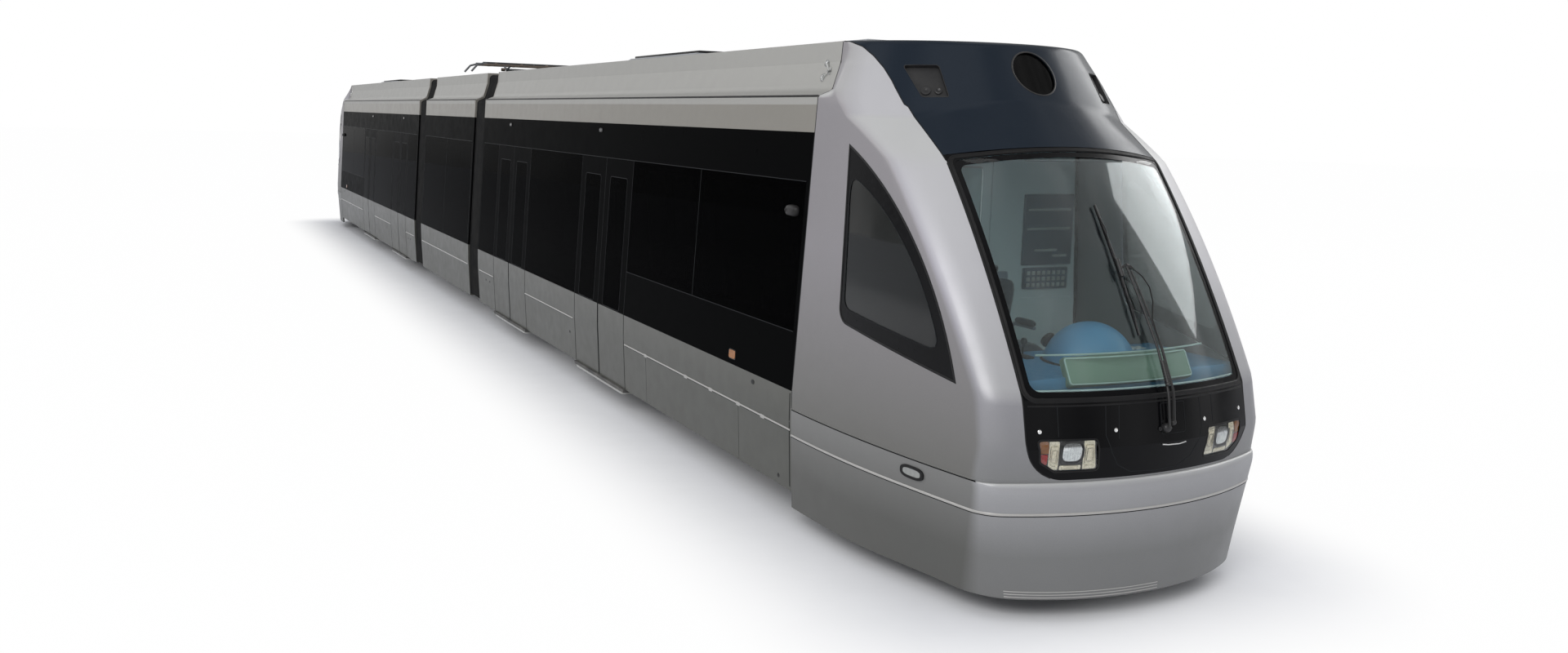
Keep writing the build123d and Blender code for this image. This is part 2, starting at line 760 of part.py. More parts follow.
# ---------------------------------------------------------------- wheelsets and wheels
# half profile of a wheel: y along the axle, radius
wheel_outline = (
    (wheel_back_y, hub_radius),
    (wheel_back_y, axle_radius),
    (wheel_front_y, axle_radius),
    (wheel_front_y, hub_radius),
    ((wheel_back_y + wheel_front_y) / 2 + web_half, hub_radius + 20),
    ((wheel_back_y + wheel_front_y) / 2 + web_half, rim_inner_radius - 15),
    (wheel_front_y, rim_inner_radius),
    (wheel_front_y, tread_radius - 6),
    (wheel_front_y - 8, tread_radius),
    (wheel_back_y + flange_thickness, tread_radius),
    (wheel_back_y + flange_thickness - 10, flange_radius),
    (wheel_back_y + 10, flange_radius),
    (wheel_back_y, flange_radius - 12),
    (wheel_back_y, rim_inner_radius),
    ((wheel_back_y + wheel_front_y) / 2 - web_half, rim_inner_radius - 15),
    ((wheel_back_y + wheel_front_y) / 2 - web_half, hub_radius + 20),
)


def wheelset(centre_x):
    """An axle with its two wheels, brake discs and journals."""
    axle_line = Axis((centre_x, 0, axle_z), (0, 1, 0))
    with BuildPart() as piece:
        with BuildSketch(Plane.YZ.offset(centre_x)):
            with BuildLine():
                Polyline(
                    (0, axle_z),
                    (journal_end_y, axle_z),
                    (journal_end_y, axle_z + journal_radius),
                    (journal_start_y, axle_z + journal_radius),
                    (journal_start_y, axle_z + axle_radius),
                    (0, axle_z + axle_radius),
                    close=True,
                )
            make_face()
            with BuildLine():
                Polyline(*[(y, axle_z + r) for y, r in wheel_outline], close=True)
            make_face()
            with Locations((brake_disc_y, axle_z + brake_disc_radius / 2)):
                Rectangle(2 * brake_disc_half, brake_disc_radius)
        revolve(axis=axle_line)
        mirror(about=Plane.XZ)
    return piece


for name, centre_x in (
    ("front_outer_wheelset", bogie_centre_x + bogie_half_wheelbase),
    ("front_inner_wheelset", bogie_centre_x - bogie_half_wheelbase),
    ("rear_inner_wheelset", -bogie_centre_x + bogie_half_wheelbase),
    ("rear_outer_wheelset", -bogie_centre_x - bogie_half_wheelbase),
):
    export(wheelset(centre_x), name)

stub_bore = journal_radius + running_gap
for name, centre_x, side in (
    ("centre_wheel_front_left", centre_half_wheelbase, 1),
    ("centre_wheel_front_right", centre_half_wheelbase, -1),
    ("centre_wheel_rear_left", -centre_half_wheelbase, 1),
    ("centre_wheel_rear_right", -centre_half_wheelbase, -1),
):
    with BuildPart() as wheel:
        with BuildSketch(Plane.YZ.offset(centre_x)):
            with BuildLine():
                bored = [(y, r if r > axle_radius else stub_bore) for y, r in wheel_outline]
                Polyline(*[(y * side, axle_z + r) for y, r in bored], close=True)
            make_face()
        revolve(axis=Axis((centre_x, 0, axle_z), (0, 1, 0)))
    export(wheel, name)

# ---------------------------------------------------------------- bogie frames
transom_bottom_z = frame_top_z - 160
axle_bore = journal_radius + running_gap
beam_belly_rise = 60.0          # the beam's belly above the deepest point of the frame
beam_shoulder = 100.0
spring_y = frame_inner_y - 120.0
spring_seat_width = 220.0
spring_seat_height = 60.0
track_brake_half = 350.0        # magnetic brakes over the rails
track_brake_y = (half_gauge - 20.0, half_gauge + 60.0)
track_brake_z = (45.0, 150.0)
brake_hanger_x = 250.0
brake_hanger_half = 40.0
brake_hanger_y = (half_gauge + 20.0, frame_inner_y + 50.0)
brake_hanger_z = (110.0, frame_belly_z + 80.0)
bolster_half = 180.0
motor_length = 300.0
motor_half_width = 320.0
motor_bottom_z = 280.0


def side_beam(centre_x, half_base, bore_radius):
    """Outer longitudinal beam over the axle boxes, on both sides, bored for the axles if they turn."""
    reach = half_base + axle_box_half
    with BuildPart() as beam:
        with BuildSketch(Plane.XZ.offset(-frame_inner_y)):
            with BuildLine():
                Polyline(
                    (centre_x - reach, axle_z - axle_box_half),
                    (centre_x - half_base + axle_box_half, axle_z - axle_box_half),
                    (centre_x - half_base + 2 * axle_box_half, frame_belly_z + beam_belly_rise),
                    (centre_x + half_base - 2 * axle_box_half, frame_belly_z + beam_belly_rise),
                    (centre_x + half_base - axle_box_half, axle_z - axle_box_half),
                    (centre_x + reach, axle_z - axle_box_half),
                    (centre_x + reach, axle_z + axle_box_half),
                    (centre_x + reach - beam_shoulder, frame_top_z),
                    (centre_x - reach + beam_shoulder, frame_top_z),
                    (centre_x - reach, axle_z + axle_box_half),
                    close=True,
                )
            make_face()
            if bore_radius > 0:
                with Locations((centre_x - half_base, axle_z), (centre_x + half_base, axle_z)):
                    Circle(bore_radius, mode=Mode.SUBTRACT)
        extrude(amount=-(frame_outer_y - frame_inner_y))
        mirror(about=Plane.XZ)
    return beam.part


def motor_bogie(centre_x):
    """H-frame with its transoms, springs, slewing ring, motors and magnetic track brakes."""
    full_width = (-frame_inner_y, frame_inner_y)
    with BuildPart() as frame:
        add(side_beam(centre_x, bogie_half_wheelbase, axle_bore))
        for way in (1, -1):
            near_x = centre_x + way * (transom_x - transom_half)
            far_x = centre_x + way * (transom_x + transom_half)
            add(block(sorted((near_x, far_x)), full_width, (transom_bottom_z, frame_top_z)))
            motor_x = sorted((far_x, far_x + way * motor_length))
            add(block(motor_x, (-motor_half_width, motor_half_width), (motor_bottom_z, frame_top_z)))
            with BuildSketch(Plane.XY.offset(frame_top_z)):
                with Locations((centre_x, way * spring_y)):
                    Circle(spring_radius)
            extrude(amount=bolster_z - frame_top_z)
            seat_x = (centre_x - transom_x, centre_x + transom_x)
            seat_y = sorted((way * (frame_inner_y - spring_seat_width), way * frame_inner_y))
            add(block(seat_x, seat_y, (frame_top_z - spring_seat_height, frame_top_z)))
            brake_x = (centre_x - track_brake_half, centre_x + track_brake_half)
            add(block(brake_x, sorted(way * y for y in track_brake_y), track_brake_z))
            for hanger in (centre_x - brake_hanger_x, centre_x + brake_hanger_x):
                hanger_x = (hanger - brake_hanger_half, hanger + brake_hanger_half)
                add(block(hanger_x, sorted(way * y for y in brake_hanger_y), brake_hanger_z))
        add(block((centre_x - bolster_half, centre_x + bolster_half), full_width, (bolster_z, ring_z)))
        with BuildSketch(Plane.XY.offset(ring_z)):
            with Locations((centre_x, 0)):
                Circle(ring_radius)
        extrude(amount=high_floor_bottom_z - seat_gap - ring_z)
    return frame


front_bogie_frame = motor_bogie(bogie_centre_x)
export_pair(front_bogie_frame, "bogie_frame")

cradle_x = (230.0, 370.0)       # low cross members of the centre section's wheel cradle
cradle_z = (130.0, 260.0)
cradle_post_y = 830.0
cradle_post_top_z = 400.0
stub_end_y = frame_inner_y + 50.0
stub_start_y = wheel_back_y - 20.0
cradle_spring_x = 350.0
cradle_spring_radius = 70.0
with BuildPart() as centre_bogie_frame:
    add(side_beam(0, centre_half_wheelbase, 0))
    for way in (1, -1):
        member_x = sorted(way * x for x in cradle_x)
        add(block(member_x, (-frame_inner_y, frame_inner_y), cradle_z))
        for side in (1, -1):
            stub_y = sorted((side * stub_start_y, side * stub_end_y))
            with BuildSketch(Plane.XZ.offset(-stub_y[0])):
                with Locations((way * centre_half_wheelbase, axle_z)):
                    Circle(journal_radius)
            extrude(amount=-(stub_y[1] - stub_y[0]))
            post_y = sorted((side * cradle_post_y, side * frame_inner_y))
            add(block(member_x, post_y, (cradle_z[1], cradle_post_top_z)))
            with BuildSketch(Plane.XY.offset(frame_top_z)):
                with Locations((way * cradle_spring_x, side * stub_end_y)):
                    Circle(cradle_spring_radius)
            extrude(amount=wheel_box_top_z - wheel_box_plate - seat_gap - frame_top_z)
export(centre_bogie_frame, "centre_bogie_frame")

# ---------------------------------------------------------------- cab interior
desk_x = (13750.0, 14560.0)
desk_top_z = 1480.0
desk_bottom_z = high_floor_top_z + 200
desk_clear = 15.0
desk_half_width = 900.0
knee_depth = 350.0
knee_half_width = 300.0
desk_foot_half_width = 800.0
dome_radius = 300.0
dome_centre_x = desk_x[0] + 420
dome_foot_z = desk_top_z - 20
dome_top_z = desk_top_z + dome_radius - 40
cab_inside = cab_block(cab_wall + desk_clear, -400.0)
with BuildPart() as cab_desk:
    add(cab_inside)
    desk_y = (-desk_half_width, desk_half_width)
    add(block(desk_x, desk_y, (desk_bottom_z, desk_top_z)), mode=Mode.INTERSECT)
    knee_x_range = (desk_x[0] - 1, desk_x[0] + knee_depth)
    knee_z_range = (high_floor_top_z, desk_top_z - 60)
    add(block(knee_x_range, (-knee_half_width, knee_half_width), knee_z_range), mode=Mode.SUBTRACT)
    foot_x = (desk_x[1] - 200, desk_x[1] - 20)
    add(block(foot_x, (-desk_foot_half_width, desk_foot_half_width), (high_floor_top_z, desk_bottom_z)))
    with BuildSketch(Plane.XZ):
        with BuildLine():
            Polyline(
                (dome_centre_x, dome_top_z),
                (dome_centre_x, dome_foot_z),
                (dome_centre_x + dome_radius, dome_foot_z),
            )
            RadiusArc((dome_centre_x, dome_top_z), (dome_centre_x + dome_radius, dome_foot_z), dome_radius)
        make_face()
    revolve(axis=Axis((dome_centre_x, 0, 0), (0, 0, 1)))
export_pair(cab_desk, "cab_desk")


# ---------------------------------------------------------------- cab partition and driver's seat
partition_thickness = 40.0
cab_door_hinge_y = -290.0
cab_door_width = 645.0
cab_door_thickness = 36.0
cab_door_height = 1950.0
cab_door_gap = 6.0
door_foot_gap = 5.0
partition_foot_z = 980.0
partition_back_x = cab_joint_x - partition_thickness
door_opening_y = (cab_door_hinge_y - seat_gap, cab_door_hinge_y + cab_door_width + cab_door_gap)
door_opening_top_z = high_floor_top_z + door_foot_gap + cab_door_height + cab_door_gap
with BuildPart() as cab_partition:
    with BuildSketch(Plane.YZ.offset(partition_back_x)):
        add(section_face(wall + 5, skirt_z))
    extrude(amount=partition_thickness)
    partition_x = (partition_back_x, cab_joint_x)
    add(block(partition_x, (-1400, 1400), (partition_foot_z, roof_seat_z - seat_gap)), mode=Mode.INTERSECT)
    foot_y = (-high_floor_half_width, high_floor_half_width)
    add(block(partition_x, foot_y, (high_floor_top_z, partition_foot_z)))
    door_x = (partition_back_x - 1, cab_joint_x + 1)
    add(block(door_x, door_opening_y, (high_floor_top_z - 1, door_opening_top_z)), mode=Mode.SUBTRACT)
export_pair(cab_partition, "cab_partition")

with BuildPart() as cab_door:
    leaf_x = (partition_back_x + 2, partition_back_x + 2 + cab_door_thickness)
    leaf_y = (cab_door_hinge_y, cab_door_hinge_y + cab_door_width)
    leaf_z = (high_floor_top_z + door_foot_gap, high_floor_top_z + door_foot_gap + cab_door_height)
    add(block(leaf_x, leaf_y, leaf_z))
export_pair(cab_door, "cab_door")

driver_x = 13250.0
driver_seat_z = high_floor_top_z + 450.0
driver_seat_width = 480.0
driver_foot_radius = 150.0
driver_foot_thickness = 40.0
driver_post_radius = 60.0
driver_seat_edge = 30.0
# side view of the seat and its back: x from the pedestal, z from the seat
driver_seat_profile = (
    (250.0, -20.0),
    (250.0, 90.0),
    (-140.0, 80.0),
    (-230.0, 620.0),
    (-320.0, 610.0),
    (-240.0, -20.0),
)
with BuildPart() as driver_seat:
    for radius, height in (
        (driver_foot_radius, driver_foot_thickness),
        (driver_post_radius, driver_seat_z - high_floor_top_z),
    ):
        with BuildSketch(Plane.XY.offset(high_floor_top_z)):
            with Locations((driver_x, 0)):
                Circle(radius)
        extrude(amount=height)
    with BuildSketch(Plane.XZ.offset(-driver_seat_width / 2)) as seat_side:
        with BuildLine():
            Polyline(*[(driver_x + x, driver_seat_z + z) for x, z in driver_seat_profile], close=True)
        make_face()
        fillet(seat_side.vertices(), radius=driver_seat_edge)
    extrude(amount=driver_seat_width)
export_pair(driver_seat, "driver_seat")

# ---------------------------------------------------------------- passenger seats
seat_width = 440.0
seat_height = 430.0
seat_back_height = 880.0
seat_depth = 430.0
seat_shell = 45.0
# end section rows: x of the seat's back, facing (+1 forward), floor z
end_seat_rows = (
    (5550.0, 1, floor_top_z),
    (6800.0, -1, floor_top_z),
    (9250.0, 1, high_floor_top_z),
    (10100.0, 1, high_floor_top_z),
    (10950.0, 1, high_floor_top_z),
    (11650.0, 1, high_floor_top_z),
)
centre_seat_rows = (
    (-1250.0, 1, wheel_box_top_z - seat_height + 150),
    (1250.0, -1, wheel_box_top_z - seat_height + 150),
)
seat_wall_gap = 40.0


def seats(rows):
    """Pairs of shell seats beside each wall on a box pedestal."""
    with BuildPart() as group:
        for back_x, facing, floor_z in rows:
            outer = body_half_width - wall - seat_wall_gap - 40
            base_z = max(floor_z, wheel_box_top_z) if rows is centre_seat_rows else floor_z
            with BuildSketch(Plane.XZ.offset(-outer + 2 * seat_width)) as seat_side:
                with BuildLine():
                    Polyline(
                        (back_x + facing * seat_depth, floor_z + seat_height - seat_shell),
                        (back_x + facing * seat_depth, floor_z + seat_height),
                        (back_x + facing * 2 * seat_shell, floor_z + seat_height - 20),
                        (back_x + facing * seat_shell, floor_z + seat_back_height),
                        (back_x, floor_z + seat_back_height),
                        (back_x + facing * 25, floor_z + seat_height - seat_shell - 20),
                        close=True,
                    )
                make_face()
            extrude(amount=-2 * seat_width)
            pedestal_x = sorted((back_x + facing * 90, back_x + facing * 330))
            add(
                block(
                    pedestal_x,
                    (outer - 1.6 * seat_width, outer - 0.4 * seat_width),
                    (base_z, floor_z + seat_height - seat_shell),
                )
            )
        mirror(about=Plane.XZ)
    return group


front_seats = seats(end_seat_rows)
export_pair(front_seats, "seats")
centre_seats = seats(centre_seat_rows)
export(centre_seats, "centre_seats")

# ---------------------------------------------------------------- roof equipment
# boxes on the end sections' roofs: first x, last x, half width, top z
roof_boxes = (
    (3100.0, 4900.0, 700.0, 3480.0),
    (5200.0, 7000.0, 760.0, 3500.0),
    (7400.0, 9300.0, 800.0, 3575.0),
    (9700.0, 11100.0, 700.0, 3480.0),
    (11400.0, 12350.0, 720.0, 3570.0),
)
roof_box_foot = 30.0
roof_box_radius = 40.0
with BuildPart() as front_roof_units:
    for first_x, last_x, half_width, top_z in roof_boxes:
        with BuildSketch(Plane.XY.offset(roof_crown_z + roof_box_foot)) as plan:
            with Locations(((first_x + last_x) / 2, 0)):
                RectangleRounded(last_x - first_x, 2 * half_width, roof_box_radius)
        extrude(amount=top_z - roof_crown_z - roof_box_foot)
        for foot_x in (first_x + 150, last_x - 150):
            add(
                block(
                    (foot_x - 40, foot_x + 40),
                    (-half_width + 60, half_width - 60),
                    (roof_crown_z, roof_crown_z + roof_box_foot),
                )
            )
export_pair(front_roof_units, "roof_units")

# ---------------------------------------------------------------- wiper
wiper_foot = (nose_axis_x + 2655.0, 54.0, 1187.0)
wiper_stand = 45.0
wiper_boss_root = 60.0
wiper_boss_cap = 10.0
wiper_boss_radius = 28.0
# x, y, z of the arm's bends and of the blade's ends, standing off the glass
wiper_arm = (
    (14900.0, 54.0, 1187.0),
    (14840.0, 80.0, 1420.0),
    (14712.0, 84.0, 1632.0),
    (14428.0, 30.0, 2133.0),
    (14403.0, -10.0, 2133.0),
)
wiper_blade = ((14168.0, -29.0, 2491.0), (14403.0, -10.0, 2133.0), (14638.0, -14.0, 1722.0))
with BuildPart() as wiper:
    boss_start = (wiper_foot[0] - wiper_boss_root, *wiper_foot[1:])
    boss_end = (wiper_foot[0] + wiper_stand + wiper_boss_cap, *wiper_foot[1:])
    add(tube(boss_start, boss_end, wiper_boss_radius))
    add(cab_outer, mode=Mode.SUBTRACT)
    for points, radius in ((wiper_arm, 9.0), (wiper_blade, 8.0)):
        for start, finish in zip(points, points[1:]):
            add(tube(start, finish, radius))
        for knot in points:
            with Locations(knot):
                Sphere(radius)
export_pair(wiper, "wiper")

# ---------------------------------------------------------------- pantograph
panto_base_x = 350.0
panto_pivot_z = 3500.0
knee_x = -875.0
knee_z = 3560.0
head_x = 450.0
head_z = 3650.0
strip_z = 3750.0
arm_radius = 42.0
rod_pivot = (41.0, 3440.0)
rod_tip = (-1024.0, 3542.0)
rod_y = 130.0
base_half_width = 420.0
base_half_length = 620.0
base_frame_z = 3380.0
insulator_radius = 55.0
hinge_radius = 24.0

with BuildPart() as panto_base:
    for side in (1, -1):
        for foot_x in (-base_half_length, base_half_length):
            with BuildSketch(Plane.XY.offset(gutter_z)):
                with Locations((foot_x, side * base_half_width)):
                    Circle(insulator_radius)
            extrude(amount=base_frame_z - gutter_z)
        add(
            block(
                (-base_half_length - 60, base_half_length + 60),
                sorted((side * (base_half_width - 35), side * (base_half_width + 35))),
                (base_frame_z, base_frame_z + 60),
            )
        )
        add(
            block(
                (panto_base_x - 50, panto_base_x + 50),
                sorted((side * (base_half_width - 90), side * (base_half_width - 50))),
                (base_frame_z, panto_pivot_z + 50),
            )
        )
    for cross_x in (-base_half_length, base_half_length, panto_base_x):
        add(
            block(
                (cross_x - 40, cross_x + 40),
                (-base_half_width, base_half_width),
                (base_frame_z, base_frame_z + 45),
            )
        )
    for side in (1, -1):
        bore_y = sorted((side * (base_half_width - 100), side * (base_half_width - 40)))
        with BuildSketch(Plane.XZ.offset(-bore_y[0])):
            with Locations((panto_base_x, panto_pivot_z)):
                Circle(hinge_radius + running_gap)
        extrude(amount=-(bore_y[1] - bore_y[0]), mode=Mode.SUBTRACT)
    # pivot ears of the guide rod
    ear_y = (rod_y + 25, rod_y + 45)
    add(block((rod_pivot[0] - 30, rod_pivot[0] + 30), ear_y, (base_frame_z, rod_pivot[1] + 30)))
    add(block((rod_pivot[0], panto_base_x), ear_y, (base_frame_z, base_frame_z + 45)))
    with BuildSketch(Plane.XZ.offset(-rod_y - 45)):
        with Locations(rod_pivot):
            Circle(14)
    extrude(amount=65)
    add(centre_roof.part, mode=Mode.SUBTRACT)
export(panto_base, "pantograph_base")

with BuildPart() as lower_arm:
    pin_y = base_half_width - 45
    sleeve_y = base_half_width - 130
    add(tube((panto_base_x, -pin_y, panto_pivot_z), (panto_base_x, pin_y, panto_pivot_z), hinge_radius))
    sleeve_start = (panto_base_x, -sleeve_y, panto_pivot_z)
    add(tube(sleeve_start, (panto_base_x, sleeve_y, panto_pivot_z), arm_radius + 12))
    add(tube((panto_base_x, 0, panto_pivot_z), (knee_x, 0, knee_z), arm_radius))
    add(tube((knee_x, -50, knee_z), (knee_x, 50, knee_z), arm_radius + 8))
    add(tube((knee_x, -100, knee_z), (knee_x, 100, knee_z), hinge_radius))
export(lower_arm, "pantograph_lower_arm")

with BuildPart() as upper_arm:
    for side in (1, -1):
        add(tube((knee_x, side * 58, knee_z), (knee_x, side * 98, knee_z), arm_radius + 8))
        add(tube((knee_x, side * 80, knee_z), (head_x, side * 300, head_z), 20))
    add(tube((head_x, -335, head_z), (head_x, 335, head_z), 20))
    add(tube((head_x, -385, head_z), (head_x, 385, head_z), 14))
    add(tube((knee_x, 78, knee_z), (rod_tip[0], 78, rod_tip[1]), 20))
    for side in (1, -1):
        bore_y = sorted((side * 55, side * 100))
        with BuildSketch(Plane.XZ.offset(-bore_y[0])):
            with Locations((knee_x, knee_z)):
                Circle(hinge_radius + running_gap)
        extrude(amount=-(bore_y[1] - bore_y[0]), mode=Mode.SUBTRACT)
export(upper_arm, "pantograph_upper_arm")

strip_half_length = 800.0
strip_gauge = 240.0
horn_drop = 150.0
horn_reach = 180.0
with BuildPart() as panto_head:
    for side in (1, -1):
        add(tube((head_x, side * 340, head_z), (head_x, side * 380, head_z), 34))
        for way in (1, -1):
            strip_x = head_x + way * strip_gauge
            add(tube((head_x, side * 360, head_z), (strip_x, side * 360, strip_z - 30), 14))
            strip_span = sorted((0, side * strip_half_length))
            add(block((strip_x - 20, strip_x + 20), strip_span, (strip_z - 40, strip_z)))
            horn_start = (strip_x, side * (strip_half_length - 20), strip_z - 20)
            horn_middle = (strip_x, side * (strip_half_length + 90), strip_z - 50)
            horn_end = (strip_x, side * (strip_half_length + horn_reach), strip_z - horn_drop)
            add(tube(horn_start, horn_middle, 15))
            add(tube(horn_middle, horn_end, 15))
    with BuildSketch(Plane.XZ.offset(-400)):
        with Locations((head_x, head_z)):
            Circle(14 + running_gap)
    extrude(amount=800, mode=Mode.SUBTRACT)
export(panto_head, "pantograph_head")

with BuildPart() as guide_rod:
    add(tube((rod_pivot[0], rod_y, rod_pivot[1]), (rod_tip[0] + 35, rod_y, rod_tip[1] - 3), 13))
    add(tube((rod_pivot[0], rod_y - 14, rod_pivot[1]), (rod_pivot[0], rod_y + 14, rod_pivot[1]), 26))
    with BuildSketch(Plane.XZ.offset(-rod_y - 20)):
        with Locations(rod_pivot):
            Circle(14 + running_gap)
    extrude(amount=40, mode=Mode.SUBTRACT)
export(guide_rod, "pantograph_guide_rod")
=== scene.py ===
"""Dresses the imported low-floor tram with its finishes, glazing, trim, cab fittings and running gear."""

from __future__ import annotations

import json
import logging
import math
from collections.abc import Callable, Sequence
from dataclasses import dataclass, field
from enum import Enum
from typing import Protocol

import bmesh
import bpy
from mathutils import Matrix, Vector

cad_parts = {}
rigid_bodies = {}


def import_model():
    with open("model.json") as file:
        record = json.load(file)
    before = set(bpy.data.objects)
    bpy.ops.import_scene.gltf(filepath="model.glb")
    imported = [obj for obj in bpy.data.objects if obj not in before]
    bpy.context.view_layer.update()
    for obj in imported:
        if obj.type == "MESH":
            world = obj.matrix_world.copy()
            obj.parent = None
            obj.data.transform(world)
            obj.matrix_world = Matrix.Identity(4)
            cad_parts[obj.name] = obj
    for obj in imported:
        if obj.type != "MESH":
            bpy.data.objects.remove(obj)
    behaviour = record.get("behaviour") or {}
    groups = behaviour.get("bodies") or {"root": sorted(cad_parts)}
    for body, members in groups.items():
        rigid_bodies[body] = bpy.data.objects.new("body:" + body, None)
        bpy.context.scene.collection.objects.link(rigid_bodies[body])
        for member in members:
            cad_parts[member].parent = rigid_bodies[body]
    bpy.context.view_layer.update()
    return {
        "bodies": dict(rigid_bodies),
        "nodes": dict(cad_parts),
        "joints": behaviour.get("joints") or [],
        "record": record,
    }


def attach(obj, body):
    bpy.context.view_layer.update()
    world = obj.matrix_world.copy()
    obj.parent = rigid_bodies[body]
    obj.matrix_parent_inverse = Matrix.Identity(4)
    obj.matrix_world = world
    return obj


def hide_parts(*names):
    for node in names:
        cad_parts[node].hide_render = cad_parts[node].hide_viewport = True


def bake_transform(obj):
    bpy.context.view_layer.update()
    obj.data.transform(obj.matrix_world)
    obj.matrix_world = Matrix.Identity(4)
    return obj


LOG = logging.getLogger("tram")
Point = tuple[float, float, float]
Flat = tuple[float, float]
Colour = tuple[float, float, float]


class Side(Enum):
    """The two sides of the car."""

    LEFT = 1
    RIGHT = -1


class End(Enum):
    """The two driving ends of the car."""

    FRONT = "front"
    REAR = "rear"


# ---------------------------------------------------------------- skins of the body and the cab
@dataclass(frozen=True)
class BodySkin:
    """Outer skin of the straight body sections, in metres."""

    skirt_half: float = 1.303
    waist_half: float = 1.325
    gutter_half: float = 1.186
    skirt_z: float = 0.270
    tuck_z: float = 0.800
    belt_z: float = 1.030
    window_top_z: float = 2.550
    band_top_z: float = 2.900
    gutter_z: float = 3.155

    def half_width(self, z: float) -> float:
        """Half width of the skin at a height.

        Args:
            z: Height above the wheels' lowest point.

        Returns:
            The distance from the centre plane to the skin.
        """
        if z <= self.tuck_z:
            share = (z - self.skirt_z) / (self.tuck_z - self.skirt_z)
            return self.skirt_half + (self.waist_half - self.skirt_half) * share
        if z <= self.belt_z:
            return self.waist_half
        lean = (self.waist_half - self.gutter_half) / (self.gutter_z - self.belt_z)
        return self.waist_half - lean * (z - self.belt_z)

    def point(self, x: float, z: float, side: Side, proud: float = 0.0) -> Vector:
        """A point on the skin, or standing off it by `proud`."""
        normal = self.normal(z, side)
        return Vector((x, side.value * self.half_width(z), z)) + normal * proud

    def normal(self, z: float, side: Side) -> Vector:
        """The skin's outward direction at a height."""
        slope = (self.half_width(z + 0.002) - self.half_width(z - 0.002)) / 0.004
        return Vector((0.0, side.value, -slope)).normalized()


@dataclass(frozen=True)
class CabSkin:
    """Skin of a cab: a nose turned about an upright axis, cut by two bowed sides."""

    axis_x: float = 12.200
    joint_x: float = 12.520
    side_radius: float = 10.500
    lower: tuple[Flat, ...] = ((2.600, -0.400), (2.635, 0.890), (2.660, 1.100), (2.600, 1.386))
    middle: Flat = (2.222, 2.060)
    upper: tuple[Flat, ...] = (
        (1.752, 2.763),
        (1.431, 3.018),
        (1.357, 3.160),
        (1.200, 3.372),
        (1.110, 3.500),
        (1.060, 3.545),
    )
    rounding: Flat = (1.082, 1.050)
    fold_low_z: float = 3.024
    fold_rise: float = 0.128
    fold_half: float = 0.890
    body: BodySkin = BodySkin()

    def radius(self, z: float) -> float:
        """Radius of the turned nose at a height.

        Args:
            z: Height above the wheels' lowest point.

        Returns:
            The radius about the nose axis.
        """
        low, high = self.lower[-1], self.upper[0]
        if low[1] < z < high[1]:
            centre, size = self._screen_arc()
            return centre[0] + math.sqrt(max(size**2 - (z - centre[1]) ** 2, 0.0))
        line = self.lower if z <= low[1] else self.upper
        for (r0, z0), (r1, z1) in zip(line, line[1:]):
            if z <= z1 or (r1, z1) == line[-1]:
                return r0 + (r1 - r0) * (z - z0) / (z1 - z0)
        return line[-1][0]

    def _screen_arc(self) -> tuple[Flat, float]:
        """Centre and radius of the windscreen's upright arc."""
        (ax, az), (bx, bz), (cx, cz) = self.lower[-1], self.middle, self.upper[0]
        d = 2 * (ax * (bz - cz) + bx * (cz - az) + cx * (az - bz))
        a2, b2, c2 = ax * ax + az * az, bx * bx + bz * bz, cx * cx + cz * cz
        ux = (a2 * (bz - cz) + b2 * (cz - az) + c2 * (az - bz)) / d
        uz = (a2 * (cx - bx) + b2 * (ax - cx) + c2 * (bx - ax)) / d
        return (ux, uz), math.hypot(ax - ux, az - uz)

    def fold_z(self, y: float) -> float:
        """Height of the fold across the brow, which rises towards its middle."""
        return self.fold_low_z + self.fold_rise * max(0.0, 1.0 - (y / self.fold_half) ** 2)

    def brow_radius(self, y: float, z: float) -> float:
        """Radius of the nose with the brow's rising fold and its rounded top edge.

        Args:
            y: Distance from the centre plane.
            z: Height above the wheels' lowest point.

        Returns:
            The radius about the nose axis.
        """
        if z <= self.upper[0][1]:
            return self.radius(z)
        (edge_r, edge_z), (_, top_z) = self.upper[-2:]
        if z > edge_z:
            share = 1.0 - math.sqrt(max(0.0, 1.0 - (z - edge_z) / (top_z - edge_z)))
            near, far = self.rounding
            return edge_r * (1 - share) ** 2 + near * 2 * share * (1 - share) + far * share**2
        fold = self.fold_z(y)
        line = (self.upper[0], (self.radius(fold), fold), self.upper[3], self.upper[4])
        for (r0, z0), (r1, z1) in zip(line, line[1:]):
            if z <= z1:
                break
        return r0 + (r1 - r0) * (z - z0) / (z1 - z0)

    def front(self, y: float, z: float, proud: float = 0.0) -> Vector:
        """A point of the nose seen from the front at y, z, standing `proud` of it."""
        r = self.brow_radius(y, z)
        x = self.axis_x + math.sqrt(max(r * r - y * y, 0.0))
        return Vector((x, y, z)) + self.front_normal(y, z) * proud

    def front_normal(self, y: float, z: float) -> Vector:
        """The nose's outward direction at y, z."""
        r = self.brow_radius(y, z)
        slope = (self.brow_radius(y, z + 0.003) - self.brow_radius(y, z - 0.003)) / 0.006
        out = math.sqrt(max(r * r - y * y, 0.0))
        return Vector((out / r, y / r, -slope)).normalized()

    def side(self, x: float, z: float, side: Side, proud: float = 0.0) -> Vector:
        """A point of the cab's bowed side at x, z, standing `proud` of it."""
        axis_y = self.body.waist_half - self.side_radius
        reach = self.body.half_width(z) - axis_y
        y = axis_y + math.sqrt(reach**2 - (x - self.joint_x) ** 2)
        return Vector((x, side.value * y, z)) + self.side_normal(x, z, side) * proud

    def side_normal(self, x: float, z: float, side: Side) -> Vector:
        """The bowed side's outward direction at x, z."""
        flat = self.body.normal(z, side)
        turn = math.asin((x - self.joint_x) / self.side_radius)
        return Vector((math.sin(turn), flat.y * math.cos(turn), flat.z)).normalized()


BODY = BodySkin()
CAB = CabSkin()


